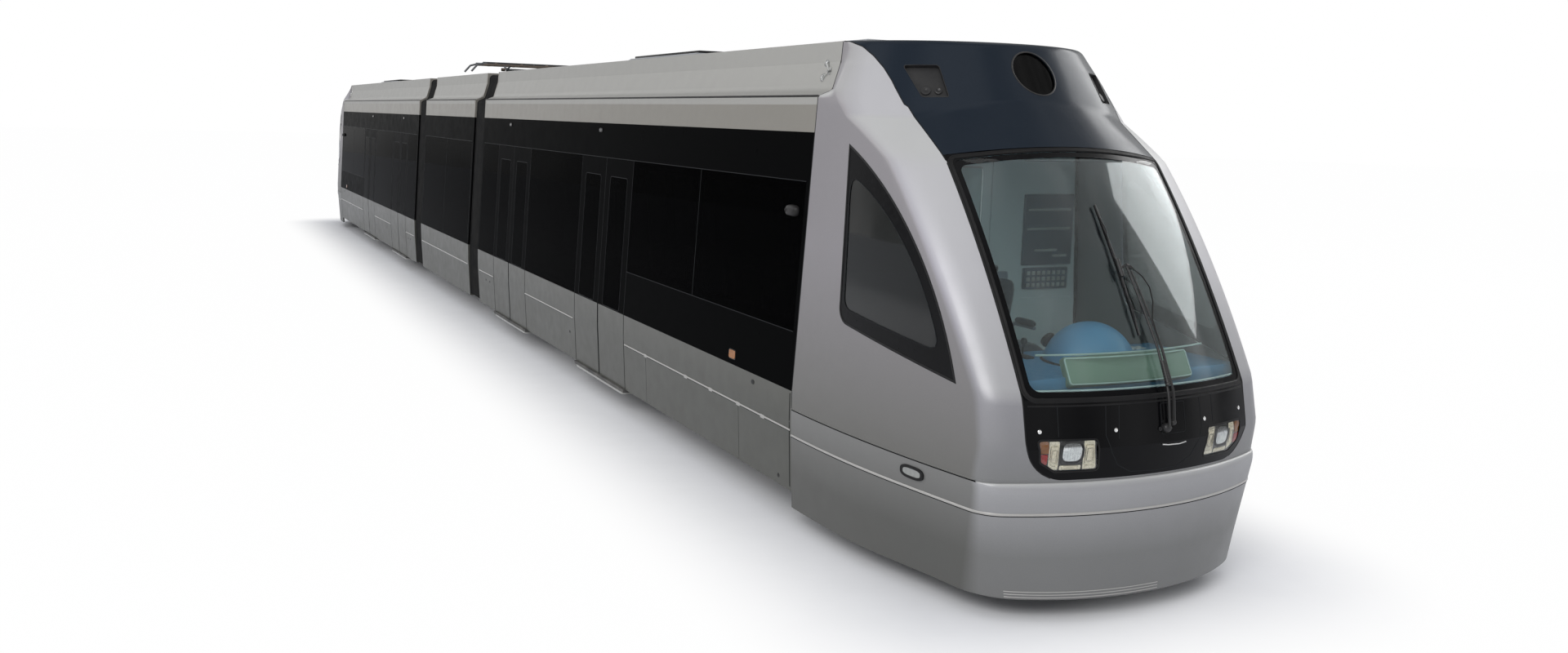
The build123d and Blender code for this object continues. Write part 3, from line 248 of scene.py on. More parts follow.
# ---------------------------------------------------------------- finishes
class NodeTree:
    """Small helper that adds and links shader nodes of one material."""

    def __init__(self, name: str) -> None:
        """Start an empty material around one Principled shader."""
        self.material = bpy.data.materials.new(name)
        self.material.use_nodes = True
        self.tree = self.material.node_tree
        self.shader = self.tree.nodes["Principled BSDF"]
        source = self.tree.nodes.new("ShaderNodeTexCoord")
        self.coordinates, self.facing = source.outputs["Object"], source.outputs["Normal"]

    def add(self, kind: str, inputs: dict[str | int, object] | None = None, **settings: object) -> bpy.types.Node:
        """Add a node.

        Args:
            kind: Blender's name of the node type.
            inputs: Values or output sockets for its input sockets.
            **settings: Properties of the node itself.

        Returns:
            The new node.
        """
        node = self.tree.nodes.new(kind)
        for key, value in settings.items():
            setattr(node, key, value)
        for key, value in (inputs or {}).items():
            if isinstance(value, bpy.types.NodeSocket):
                self.tree.links.new(value, node.inputs[key])
            else:
                node.inputs[key].default_value = value
        return node

    def noise(self, scale: float, detail: float = 3.0, stretch: Point = (1.0, 1.0, 1.0)) -> bpy.types.NodeSocket:
        """A noise pattern over the surface, `scale` cells to the metre."""
        place = self.add("ShaderNodeMapping", {"Vector": self.coordinates, "Scale": stretch})
        pattern = self.add("ShaderNodeTexNoise", {"Vector": place.outputs[0], "Scale": scale, "Detail": detail})
        return pattern.outputs["Fac"]

    def ramp(
        self, value: bpy.types.NodeSocket, low: float, high: float, out: Flat = (0.0, 1.0)
    ) -> bpy.types.NodeSocket:
        """Map a value's range onto another and hold it there."""
        node = self.add(
            "ShaderNodeMapRange",
            {"Value": value, "From Min": low, "From Max": high, "To Min": out[0], "To Max": out[1]},
        )
        return node.outputs["Result"]

    def math(self, operation: str, first: object, second: object = 0.0) -> bpy.types.NodeSocket:
        """One arithmetic step between two values."""
        return self.add("ShaderNodeMath", {0: first, 1: second}, operation=operation).outputs[0]

    def blend(self, share: object, first: object, second: object) -> bpy.types.NodeSocket:
        """Mix two colours by a share."""
        node = self.add("ShaderNodeMix", data_type="RGBA")
        for socket, value in ((node.inputs[0], share), (node.inputs[6], first), (node.inputs[7], second)):
            if isinstance(value, bpy.types.NodeSocket):
                self.tree.links.new(value, socket)
            elif isinstance(value, tuple):
                socket.default_value = (*value, 1.0) if len(value) == 3 else value
            else:
                socket.default_value = value
        return node.outputs[2]

    def height(self) -> bpy.types.NodeSocket:
        """The height of a surface point."""
        return self.add("ShaderNodeSeparateXYZ", {0: self.coordinates}).outputs["Z"]

    def bump(self, value: bpy.types.NodeSocket, depth: float, strength: float = 0.4) -> None:
        """Raise the surface by a pattern.

        Args:
            value: The pattern, from 0 to 1.
            depth: Its height in metres.
            strength: How strongly it bends the surface's shading.
        """
        node = self.add("ShaderNodeBump", {"Height": value, "Distance": depth, "Strength": strength})
        self.tree.links.new(node.outputs[0], self.shader.inputs["Normal"])

    def set(self, name: str, value: object) -> None:
        """Give one of the shader's sockets a value or a link."""
        if isinstance(value, bpy.types.NodeSocket):
            self.tree.links.new(value, self.shader.inputs[name])
        elif isinstance(value, tuple) and len(value) == 3:
            self.shader.inputs[name].default_value = (*value, 1.0)
        else:
            self.shader.inputs[name].default_value = value


def scaled(colour: Colour, factor: float) -> Colour:
    """A colour made lighter or darker."""
    return (colour[0] * factor, colour[1] * factor, colour[2] * factor)


@dataclass(frozen=True)
class Paint:
    """Sprayed coachwork paint with metal flake, road film low down and a clear coat, with optional painted shade low
    down and on side-facing surfaces and painted light on top.
    """

    name: str
    colour: Colour
    metallic: float = 0.0
    roughness: float = 0.32
    coat: float = 0.4
    specular: float = 0.5
    flake: float = 0.05
    film: float = 0.12
    film_top_z: float = 1.4
    peel: float = 0.0004
    # Painted shade: a darker colour low down, and the heights over which it fades out.
    painted_low_shade: Colour | None = None
    painted_shade_fade_z: Flat = (0.9, 1.6)
    # Painted shade: a colour that multiplies surfaces facing sideways rather than ahead.
    side_shade_and_tint: Colour | None = None
    # Painted light: a paler colour for surfaces that face upwards.
    painted_top_light: Colour | None = None

    def tone(self, nodes: NodeTree) -> tuple[bpy.types.NodeSocket, bpy.types.NodeSocket]:
        """The paint's colour with its flake, painted shade towards its foot, painted shade on side-facing surfaces,
        painted light on upward-facing surfaces and its road film.

        Args:
            nodes: The material it is part of.

        Returns:
            The colour, and the share of road film.
        """
        flake = nodes.ramp(nodes.noise(420.0, 1.0), 0.35, 0.65)
        colour = nodes.blend(flake, scaled(self.colour, 1 - self.flake), scaled(self.colour, 1 + self.flake))
        facing = nodes.add("ShaderNodeSeparateXYZ", {0: nodes.facing})
        # Painted shade: the colour darkens towards the foot, where less light falls.
        if self.painted_low_shade:
            painted_foot_shade = nodes.blend(flake, scaled(self.painted_low_shade, 1 - self.flake), scaled(self.painted_low_shade, 1 + self.flake))
            colour = nodes.blend(nodes.ramp(nodes.height(), *self.painted_shade_fade_z), painted_foot_shade, colour)
        # Painted shade: side-facing surfaces are darkened and warmed, and surfaces facing ahead keep the colour.
        if self.side_shade_and_tint:
            ahead = nodes.ramp(nodes.math("ABSOLUTE", facing.outputs["X"]), 0.22, 0.50)
            tint = nodes.blend(ahead, self.side_shade_and_tint, (1.0, 1.0, 1.0))
            colour = nodes.add("ShaderNodeVectorMath", {0: colour, 1: tint}, operation="MULTIPLY").outputs[0]
        # Painted light: upward-facing surfaces are lightened as if lit from above.
        if self.painted_top_light:
            colour = nodes.blend(nodes.ramp(facing.outputs["Z"], 0.25, 0.80), colour, self.painted_top_light)
        low = nodes.ramp(nodes.height(), 0.2, self.film_top_z, (1.0, 0.0))
        cloud = nodes.ramp(nodes.noise(1.3, 4.0, (1.0, 1.0, 2.2)), 0.25, 0.75)
        film = nodes.math("MULTIPLY", nodes.math("MULTIPLY", low, cloud), self.film)
        return nodes.blend(film, colour, (0.12, 0.11, 0.095)), film

    def material(self) -> bpy.types.Material:
        """Build the paint's node material."""
        nodes = NodeTree(self.name)
        colour, film = self.tone(nodes)
        nodes.set("Base Color", colour)
        rough = nodes.ramp(nodes.noise(7.0, 4.0), 0.3, 0.7, (self.roughness - 0.03, self.roughness + 0.04))
        nodes.set("Roughness", nodes.math("ADD", rough, nodes.math("MULTIPLY", film, 0.8)))
        nodes.set("Metallic", self.metallic)
        nodes.set("Coat Weight", self.coat)
        nodes.set("Coat Roughness", 0.12)
        nodes.set("Specular IOR Level", self.specular)
        nodes.bump(nodes.noise(140.0, 2.0), self.peel, 0.25)
        return nodes.material


@dataclass(frozen=True)
class BandedPaint:
    """Body paint of the side walls and doors: silver, with the black band between two heights."""

    name: str
    silver: Paint
    band: Paint
    low_z: float = BODY.belt_z
    high_z: float = BODY.band_top_z

    def material(self) -> bpy.types.Material:
        """Build the two-colour node material."""
        nodes = NodeTree(self.name)
        height = nodes.height()
        above, below = nodes.math("GREATER_THAN", height, self.low_z), nodes.math("LESS_THAN", height, self.high_z)
        band = nodes.math("MULTIPLY", above, below)
        # The silver carries its painted shade towards the foot.
        silver, film = self.silver.tone(nodes)
        nodes.set("Base Color", nodes.blend(band, silver, self.band.colour))
        nodes.set("Metallic", nodes.ramp(band, 0.0, 1.0, (self.silver.metallic, self.band.metallic)))
        smooth = nodes.ramp(nodes.noise(7.0, 4.0), 0.3, 0.7, (-0.03, 0.04))
        level = nodes.ramp(band, 0.0, 1.0, (self.silver.roughness, self.band.roughness))
        nodes.set("Roughness", nodes.math("ADD", nodes.math("ADD", level, smooth), nodes.math("MULTIPLY", film, 0.6)))
        nodes.set("Specular IOR Level", nodes.ramp(band, 0.0, 1.0, (self.silver.specular, self.band.specular)))
        nodes.set("Coat Weight", nodes.ramp(band, 0.0, 1.0, (self.silver.coat, self.band.coat)))
        nodes.set("Coat Roughness", 0.12)
        nodes.bump(nodes.noise(140.0, 2.0), self.silver.peel, 0.25)
        return nodes.material


@dataclass(frozen=True)
class Glass:
    """Sheet glass with its tint and a trace of wiped dirt."""

    name: str
    tint: Colour
    transmission: float = 1.0
    roughness: float = 0.02
    ior: float = 1.45
    specular: float = 0.5
    # In glass this field is the side windows' own darker tint.
    side_shade_and_tint: Colour | None = None
    side_specular: float = 0.10
    side_y: float = 0.95

    def material(self) -> bpy.types.Material:
        """Build the glass's node material."""
        nodes = NodeTree(self.name)
        smear = nodes.ramp(nodes.noise(3.0, 5.0, (1.0, 1.0, 0.5)), 0.35, 0.75)
        tint = nodes.blend(nodes.math("MULTIPLY", smear, 0.1), self.tint, scaled(self.tint, 0.8))
        if self.side_shade_and_tint:
            across = nodes.add("ShaderNodeSeparateXYZ", {0: nodes.coordinates}).outputs["Y"]
            outside = nodes.math("GREATER_THAN", nodes.math("ABSOLUTE", across), self.side_y)
            tint = nodes.blend(outside, tint, self.side_shade_and_tint)
            nodes.set("Specular IOR Level", nodes.ramp(outside, 0.0, 1.0, (self.specular, self.side_specular)))
        else:
            nodes.set("Specular IOR Level", self.specular)
        nodes.set("Base Color", tint)
        nodes.set("Roughness", nodes.math("ADD", nodes.math("MULTIPLY", smear, 0.03), self.roughness))
        nodes.set("Transmission Weight", self.transmission)
        nodes.set("IOR", self.ior)
        nodes.bump(nodes.noise(2.2, 2.0), 0.0015, 0.06)
        return nodes.material


@dataclass(frozen=True)
class Moulded:
    """Rubber, plastic or cast surface with fine grain, dust and worn tone."""

    name: str
    colour: Colour
    roughness: float = 0.55
    grain: float = 260.0
    depth: float = 0.0006
    dust: float = 0.12
    metallic: float = 0.0
    specular: float = 0.5
    coat: float = 0.0

    def material(self) -> bpy.types.Material:
        """Build the moulded surface's node material."""
        nodes = NodeTree(self.name)
        cloud = nodes.ramp(nodes.noise(5.0, 4.0), 0.3, 0.75)
        nodes.set("Base Color", nodes.blend(nodes.math("MULTIPLY", cloud, self.dust), self.colour, (0.32, 0.30, 0.27)))
        spread = nodes.ramp(nodes.noise(30.0, 3.0), 0.3, 0.7, (self.roughness - 0.06, self.roughness + 0.06))
        nodes.set("Roughness", spread)
        nodes.set("Metallic", self.metallic)
        nodes.set("Specular IOR Level", self.specular)
        nodes.set("Coat Weight", self.coat)
        nodes.bump(nodes.noise(self.grain, 2.0), self.depth, 0.35)
        return nodes.material


@dataclass(frozen=True)
class Metal:
    """Bare or plated metal with brushed variation and edge wear."""

    name: str
    colour: Colour
    roughness: float = 0.3
    brushed: Point = (1.0, 1.0, 1.0)
    rust: float = 0.0

    def material(self) -> bpy.types.Material:
        """Build the metal's node material."""
        nodes = NodeTree(self.name)
        streak = nodes.noise(60.0, 3.0, self.brushed)
        rust = nodes.math("MULTIPLY", nodes.ramp(nodes.noise(9.0, 6.0), 0.42, 0.68), self.rust)
        worn = nodes.blend(nodes.ramp(streak, 0.3, 0.7), scaled(self.colour, 0.88), scaled(self.colour, 1.06))
        nodes.set("Base Color", nodes.blend(rust, worn, (0.16, 0.075, 0.035)))
        nodes.set("Metallic", nodes.math("SUBTRACT", 1.0, nodes.math("MULTIPLY", rust, 0.8)))
        spread = nodes.ramp(streak, 0.3, 0.7, (self.roughness - 0.06, self.roughness + 0.08))
        nodes.set("Roughness", nodes.math("ADD", spread, nodes.math("MULTIPLY", rust, 0.4)))
        nodes.bump(streak, 0.0004, 0.3)
        return nodes.material


@dataclass(frozen=True)
class Cloth:
    """Woven seat fabric with crossing threads and a small fleck."""

    name: str
    colour: Colour
    fleck: Colour
    threads: float = 420.0

    def material(self) -> bpy.types.Material:
        """Build the fabric's node material."""
        nodes = NodeTree(self.name)
        split = nodes.add("ShaderNodeSeparateXYZ", {0: nodes.coordinates})
        warp = nodes.math("SINE", nodes.math("MULTIPLY", split.outputs["Y"], self.threads * 6.283))
        along = nodes.math("ADD", split.outputs["X"], split.outputs["Z"])
        weft = nodes.math("SINE", nodes.math("MULTIPLY", along, self.threads * 6.283))
        weave = nodes.ramp(nodes.math("MULTIPLY", warp, weft), -1.0, 1.0)
        cells = nodes.add("ShaderNodeTexVoronoi", {"Vector": nodes.coordinates, "Scale": 38.0})
        fleck = nodes.ramp(cells.outputs["Distance"], 0.18, 0.24, (1.0, 0.0))
        base = nodes.blend(weave, scaled(self.colour, 0.8), scaled(self.colour, 1.2))
        nodes.set("Base Color", nodes.blend(nodes.math("MULTIPLY", fleck, 0.6), base, self.fleck))
        nodes.set("Roughness", 0.9)
        nodes.set("Sheen Weight", 0.3)
        nodes.bump(weave, 0.0005, 0.5)
        return nodes.material


@dataclass(frozen=True)
class Lens:
    """Ribbed lamp lens."""

    name: str
    colour: Colour
    transmission: float = 0.7
    ribs: float = 160.0

    def material(self) -> bpy.types.Material:
        """Build the lens's node material."""
        nodes = NodeTree(self.name)
        split = nodes.add("ShaderNodeSeparateXYZ", {0: nodes.coordinates})
        wave = nodes.ramp(nodes.math("SINE", nodes.math("MULTIPLY", split.outputs["Y"], self.ribs * 6.283)), -1.0, 1.0)
        nodes.set("Base Color", nodes.blend(nodes.math("MULTIPLY", wave, 0.25), self.colour, scaled(self.colour, 0.7)))
        nodes.set("Transmission Weight", self.transmission)
        nodes.set("Roughness", nodes.ramp(wave, 0.0, 1.0, (0.05, 0.12)))
        nodes.set("IOR", 1.49)
        nodes.bump(wave, 0.0015, 0.5)
        return nodes.material


SILVER = Paint(
    "silver_coachwork_painted_shade",
    (0.245, 0.232, 0.205),
    metallic=0.45,
    roughness=0.38,
    coat=0.2,
    # Painted shade: much darker towards the foot.
    painted_low_shade=(0.078, 0.080, 0.069),
    painted_shade_fade_z=(0.8, 2.8),
)
BAND = Paint("black_band", (0.0028, 0.0029, 0.003), roughness=0.3, coat=0.0, specular=0.002, flake=0.0, film=0.0)
PEARL = Paint(
    "pearl_cab_paint_painted_light",
    (0.345, 0.335, 0.375),
    metallic=0.3,
    roughness=0.42,
    coat=0.12,
    # Painted shade towards the foot and on side-facing surfaces, and painted light on upward-facing surfaces.
    painted_low_shade=(0.19, 0.192, 0.190),
    painted_shade_fade_z=(0.86, 2.1),
    side_shade_and_tint=(0.70, 0.685, 0.64),
    painted_top_light=(0.55, 0.55, 0.54),
)
FOOT = Paint(
    "pearl_foot_paint_painted_light",
    (0.35, 0.35, 0.36),
    metallic=0.3,
    roughness=0.40,
    coat=0.12,
    # Painted shade towards the bottom and on side-facing surfaces, and painted light on the lip's top.
    painted_low_shade=(0.175, 0.177, 0.175),
    painted_shade_fade_z=(0.42, 0.90),
    side_shade_and_tint=(0.53, 0.53, 0.50),
    painted_top_light=(0.55, 0.55, 0.54),
)
SIDE_SKIN = BandedPaint("banded_side_skin_painted_shade", SILVER, BAND)


class Finishes(Enum):
    """Every finish on the car."""

    PEARL = PEARL
    FOOT = FOOT
    SIDE_SKIN = SIDE_SKIN
    ROOF = Paint("roof_coating", (0.33, 0.325, 0.305), metallic=0.3, roughness=0.45, coat=0.1, film=0.0)
    BROW = Paint(
        "slate_brow", (0.012, 0.018, 0.027), metallic=0.1, roughness=0.22, coat=0.1, specular=0.1, flake=0.12, film=0.0
    )
    MASK = Paint(
        "piano_black_mask", (0.0025, 0.0025, 0.003), roughness=0.14, coat=0.0, specular=0.12, flake=0.0, film=0.0
    )
    SIDE_GLASS = Glass("privacy_glass", (0.010, 0.0105, 0.011), transmission=0.9, ior=1.02, specular=0.02)
    SCREEN = Glass("laminated_screen", (0.78, 0.90, 0.91), specular=0.85, side_shade_and_tint=(0.045, 0.048, 0.045))
    FRIT = Moulded("ceramic_frit", (0.003, 0.003, 0.0035), roughness=0.22, depth=0.0001, dust=0.0, specular=0.12)
    RUBBER = Moulded("sealing_rubber", (0.005, 0.005, 0.0055), roughness=0.5, dust=0.02, specular=0.2)
    BELLOWS = Moulded(
        "coated_bellows_cloth", (0.007, 0.0072, 0.0075), roughness=0.8, grain=520.0, dust=0.03, specular=0.2
    )
    BLACK_PLASTIC = Moulded("black_plastic", (0.007, 0.007, 0.0075), roughness=0.42, dust=0.04, specular=0.25)
    SEAM = Moulded("joint_seal", (0.005, 0.005, 0.0055), roughness=0.55, dust=0.0, specular=0.03)
    BAND_LINE = Moulded("band_joint", (0.017, 0.018, 0.019), roughness=0.4, dust=0.0, specular=0.03)
    UNDERFRAME = Moulded("underframe_coating", (0.030, 0.031, 0.032), roughness=0.7, dust=0.3)
    INTERIOR = Moulded("interior_laminate", (0.74, 0.80, 0.80), roughness=0.5, grain=500.0, depth=0.0003, dust=0.03)
    DESK = Moulded("desk_blue", (0.085, 0.25, 0.42), roughness=0.42, grain=700.0, depth=0.0004, dust=0.03)
    DESK_PANEL = Moulded("desk_panel_green", (0.17, 0.24, 0.165), roughness=0.4, dust=0.05)
    EQUIPMENT = Paint("equipment_case", (0.34, 0.35, 0.36), roughness=0.5, coat=0.0, film=0.0)
    BOGIE = Paint("bogie_paint", (0.05, 0.052, 0.056), roughness=0.55, coat=0.0, film=0.9, film_top_z=1.1)
    PANTO = Paint("pantograph_paint", (0.10, 0.105, 0.11), roughness=0.45, coat=0.1, film=0.0)
    COPPER = Metal("weathered_contact", (0.20, 0.165, 0.14), roughness=0.45)
    CARBON = Moulded("carbon_strip", (0.03, 0.03, 0.032), roughness=0.5, dust=0.02)
    CHROME = Metal("plated_reflector", (0.86, 0.86, 0.85), roughness=0.1)
    STEEL = Metal("brushed_steel", (0.58, 0.58, 0.57), roughness=0.32, brushed=(0.2, 6.0, 6.0))
    WHEEL = Metal("rolled_wheel_steel", (0.36, 0.34, 0.32), roughness=0.42, rust=0.55)
    SHELL = Moulded("seat_shell_plastic", (0.18, 0.20, 0.24), roughness=0.45)
    SEAT_CLOTH = Cloth("passenger_fabric", (0.025, 0.055, 0.14), (0.30, 0.10, 0.06))
    DRIVER_CLOTH = Cloth("driver_fabric", (0.022, 0.026, 0.034), (0.07, 0.08, 0.10))
    CLEAR_LENS = Lens("clear_lens", (0.93, 0.95, 0.95), transmission=0.95, ribs=60.0)
    AMBER_LENS = Lens("amber_lens", (0.42, 0.15, 0.025), transmission=0.35)
    RED_LENS = Lens("red_lens", (0.55, 0.02, 0.015), transmission=0.35)
    WHITE_LENS = Lens("white_lens", (0.36, 0.37, 0.355), transmission=0.3)
    DIM_LENS = Lens("dim_lens", (0.10, 0.10, 0.10), transmission=0.3)
    SIGN = Moulded("blank_notice", (0.10, 0.13, 0.17), roughness=0.35, dust=0.02)
    KEYS = Moulded("pale_keys", (0.55, 0.58, 0.56), roughness=0.4)
    # Pale partly as the beads' own tone, partly as a painted highlight along beads and ribs.
    BEAD = Paint("pale_bead_painted_highlight", (0.40, 0.39, 0.37), metallic=0.3, roughness=0.3, film=0.05)
    TREAD = Paint("threshold_coating", (0.38, 0.38, 0.36), metallic=0.3, roughness=0.4, film=0.1)
    BLACK_STEEL = Moulded("black_coated_steel", (0.016, 0.016, 0.017), roughness=0.38, dust=0.05, metallic=0.3)
    # Pale as a painted highlight along the screen's foot.
    LEDGE = Moulded("pale_ledge_painted_highlight", (0.50, 0.56, 0.54), roughness=0.4, dust=0.05)
    PALE_EDGE = Moulded("pale_glass_edge", (0.42, 0.50, 0.44), roughness=0.35, dust=0.03)
    LAMP_COVER = Glass("clear_lamp_cover", (0.97, 0.98, 0.98), roughness=0.01)
    SMOKED_LENS = Glass("smoked_lamp_glass", (0.012, 0.012, 0.013), roughness=0.02, ior=1.2, specular=0.2)
    SMOKED_CHROME = Metal("smoked_reflector", (0.06, 0.06, 0.06), roughness=0.2)
    REFLECTOR = Metal("cream_reflector", (0.60, 0.56, 0.43), roughness=0.14)
    VENT_BLACK = Moulded("vent_black", (0.005, 0.005, 0.006), roughness=0.6, dust=0.03)
    HANDRAIL = Metal("polished_handrail", (0.70, 0.70, 0.69), roughness=0.2)
    INSULATOR = Moulded("glazed_insulator", (0.12, 0.050, 0.032), roughness=0.16, depth=0.0001, dust=0.05)


class PaintShop:
    """Makes each finish's material once and hands it out."""

    def __init__(self) -> None:
        """Start with an empty rack."""
        self.rack: dict[str, bpy.types.Material] = {}

    def material(self, finish: Finishes) -> bpy.types.Material:
        """The material of a finish, built at its first use."""
        if finish.name not in self.rack:
            self.rack[finish.name] = finish.value.material()
        return self.rack[finish.name]

    def coat(self, thing: bpy.types.Object, finish: Finishes) -> None:
        """Give an object one finish all over."""
        thing.data.materials.clear()
        thing.data.materials.append(self.material(finish))


SHOP = PaintShop()


# ---------------------------------------------------------------- building meshes
class Form:
    """Collects solid shapes in one mesh, in the car's own frame."""

    def __init__(self) -> None:
        """Start an empty form."""
        self.bm = bmesh.new()

    def skin(self, rows: Sequence[Sequence[Vector]], closed: bool = False, capped: bool = False) -> Form:
        """Join rows of points into a surface.

        Args:
            rows: Rows of equal length, each a section of the surface.
            closed: Whether each row runs back to its own start.
            capped: Whether the first and last rows are filled.

        Returns:
            The form itself.
        """
        grid = [[self.bm.verts.new(p) for p in row] for row in rows]
        count = len(grid[0])
        for near, far in zip(grid, grid[1:]):
            for i in range(count if closed else count - 1):
                j = (i + 1) % count
                self.bm.faces.new((near[i], near[j], far[j], far[i]))
        if capped:
            self.bm.faces.new(list(reversed(grid[0])))
            self.bm.faces.new(grid[-1])
        return self

    def box(self, low: Point, high: Point, edge: float = 0.0, turn: Matrix | None = None) -> Form:
        """Add a block with softened edges.

        Args:
            low: One corner.
            high: The opposite corner.
            edge: The width of the softened edges.
            turn: A transform applied afterwards.

        Returns:
            The form itself.
        """
        made = bmesh.ops.create_cube(self.bm, size=1.0)["verts"]
        middle = Vector([(a + b) / 2 for a, b in zip(low, high)])
        size = Vector([abs(b - a) for a, b in zip(low, high)])
        for v in made:
            v.co = Vector([c * s for c, s in zip(v.co, size)]) + middle
        if edge > 0:
            edges = list({e for v in made for e in v.link_edges})
            result = bmesh.ops.bevel(self.bm, geom=edges, offset=edge, segments=2, affect="EDGES", profile=0.6)
            made = list({v for f in result["faces"] for v in f.verts})
        if turn is not None:
            bmesh.ops.transform(self.bm, matrix=turn, verts=made)
        return self

    def lathe(
        self, profile: Sequence[Flat], centre: Point, axis: Point, steps: int = 32, squash: Flat = (1.0, 1.0)
    ) -> Form:
        """Turn a profile about an axis.

        Args:
            profile: Radius and distance along the axis, point by point.
            centre: Where the axis starts.
            axis: Its direction.
            steps: Divisions round it.
            squash: Scales of the two cross directions.

        Returns:
            The form itself.
        """
        direction = Vector(axis).normalized()
        first = direction.orthogonal().normalized() if abs(direction.x) < 0.99 else Vector((0.0, 1.0, 0.0))
        first = (first - direction * first.dot(direction)).normalized()
        second = direction.cross(first)
        rows = []
        for radius, reach in profile:
            base = Vector(centre) + direction * reach
            rows.append(
                [
                    base
                    + first * (max(radius, 1e-5) * squash[0] * math.cos(math.tau * k / steps))
                    + second * (max(radius, 1e-5) * squash[1] * math.sin(math.tau * k / steps))
                    for k in range(steps)
                ]
            )
        return self.skin(rows, closed=True, capped=True)

    def rod(self, points: Sequence[Sequence[float]], radius: float, steps: int = 10, closed: bool = False) -> Form:
        """Run a round bar along a line of points.

        Args:
            points: The bar's centre line.
            radius: The bar's radius.
            steps: Divisions round it.
            closed: Whether the line runs back to its start.

        Returns:
            The form itself.
        """
        line = [Vector(p) for p in points]
        circle = [
            (math.cos(math.tau * k / steps) * radius, math.sin(math.tau * k / steps) * radius) for k in range(steps)
        ]
        start = (line[1] - line[0]).orthogonal().normalized()
        return self.run(line, [start] * len(line), circle, closed)

    def run(
        self, line: Sequence[Vector], normals: Sequence[Vector], profile: Sequence[Flat], closed: bool = False
    ) -> Form:
        """Sweep a closed profile along a line, held upright by normals.

        Args:
            line: The points of the line.
            normals: The outward direction at each point.
            profile: Offsets across the line and along the normal.
            closed: Whether the line runs back to its start.

        Returns:
            The form itself.
        """
        count = len(line)
        rows = []
        for i, (place, normal) in enumerate(zip(line, normals)):
            before = line[i - 1] if (i > 0 or closed) else place
            after = line[(i + 1) % count] if (i < count - 1 or closed) else place
            into = (place - before).normalized() if (place - before).length > 1e-9 else (after - place).normalized()
            out = (after - place).normalized() if (after - place).length > 1e-9 else into
            tangent = (into + out).normalized()
            across = tangent.cross(normal).normalized()
            up = across.cross(tangent).normalized()
            widen = 1.0 / max(0.45, math.cos(into.angle(out, 0.0) / 2))
            rows.append([place + across * (s * widen) + up * n for s, n in profile])
        if closed:
            return self.skin([*rows, rows[0]], closed=True)
        return self.skin(rows, closed=True, capped=True)

    def shell(self, outer: Sequence[Sequence[Vector]], inner: Sequence[Sequence[Vector]]) -> Form:
        """Close two matching grids of points into a solid with walls along their borders.

        Args:
            outer: Rows of the outer face.
            inner: Rows of the inner face, point for point.

        Returns:
            The form itself.
        """
        made = [[[self.bm.verts.new(p) for p in row] for row in grid] for grid in (outer, inner)]
        for grid in made:
            for near, far in zip(grid, grid[1:]):
                for i in range(len(near) - 1):
                    self.bm.faces.new((near[i], near[i + 1], far[i + 1], far[i]))
        front, back = made
        borders = [(front[0], back[0]), (front[-1], back[-1])]
        borders += [([row[k] for row in front], [row[k] for row in back]) for k in (0, -1)]
        for edge, other in borders:
            for i in range(len(edge) - 1):
                self.bm.faces.new((edge[i], edge[i + 1], other[i + 1], other[i]))
        bmesh.ops.remove_doubles(self.bm, verts=self.bm.verts, dist=1e-5)
        return self

    def pillow(
        self, low: Point, high: Point, pinch: float = 0.45, power: float = 4.0, turn: Matrix | None = None
    ) -> Form:
        """Add a crowned cushion that thins and rounds towards its edges.

        Args:
            low: Its lowest corner.
            high: Its highest corner.
            pinch: How much of its thickness its edges lose.
            power: How square its outline is.
            turn: A transform applied afterwards.

        Returns:
            The form itself.
        """
        before = set(self.bm.verts)
        cube = bmesh.ops.create_cube(self.bm, size=2.0)["verts"]
        edges = list({e for v in cube for e in v.link_edges})
        bmesh.ops.subdivide_edges(self.bm, edges=edges, cuts=9, use_grid_fill=True)
        made = [v for v in self.bm.verts if v not in before]
        middle = Vector([(a + b) / 2 for a, b in zip(low, high)])
        half = Vector([(b - a) / 2 for a, b in zip(low, high)])
        thin = min(range(3), key=lambda i: half[i])
        wide = [i for i in range(3) if i != thin]
        for v in made:
            c = v.co.copy()
            edge = max(abs(c[wide[0]]), abs(c[wide[1]]))
            reach = (abs(c[wide[0]]) ** power + abs(c[wide[1]]) ** power) ** (1 / power)
            shrink = edge / reach if reach > 1e-6 else 1.0
            c[wide[0]] *= shrink
            c[wide[1]] *= shrink
            c[thin] *= 1.0 - pinch * edge**3
            rim = 1.0 - 0.06 * abs(c[thin]) ** 2
            c[wide[0]] *= rim
            c[wide[1]] *= rim
            v.co = Vector([c[i] * half[i] for i in range(3)]) + middle
        if turn is not None:
            bmesh.ops.transform(self.bm, matrix=turn, verts=made)
        return self

    def finish(self, name: str, smooth_deg: float = 35.0) -> bpy.types.Object:
        """Turn the form into an object.

        Args:
            name: The new object's name.
            smooth_deg: Edges sharper than this stay sharp.

        Returns:
            The object, linked into the scene.
        """
        bmesh.ops.recalc_face_normals(self.bm, faces=self.bm.faces)
        mesh = bpy.data.meshes.new(name)
        self.bm.to_mesh(mesh)
        self.bm.free()
        mesh.shade_smooth()
        mesh.set_sharp_from_angle(angle=math.radians(smooth_deg))
        thing = bpy.data.objects.new(name, mesh)
        bpy.context.scene.collection.objects.link(thing)
        return thing


def carve(thing: bpy.types.Object, cutter: Form, smooth_deg: float) -> None:
    """Cut closed shapes out of an object.

    Args:
        thing: The object to cut.
        cutter: The shapes.
        smooth_deg: Edges sharper than this stay sharp.
    """
    tool = cutter.finish("cutter")
    step = thing.modifiers.new("carve", "BOOLEAN")
    step.operation, step.solver, step.object = "DIFFERENCE", "EXACT", tool
    whole = thing.evaluated_get(bpy.context.evaluated_depsgraph_get())
    carved = bpy.data.meshes.new_from_object(whole)
    thing.modifiers.clear()
    bpy.data.meshes.remove(tool.data)
    thing.data = carved
    carved.shade_smooth()
    carved.set_sharp_from_angle(angle=math.radians(smooth_deg))


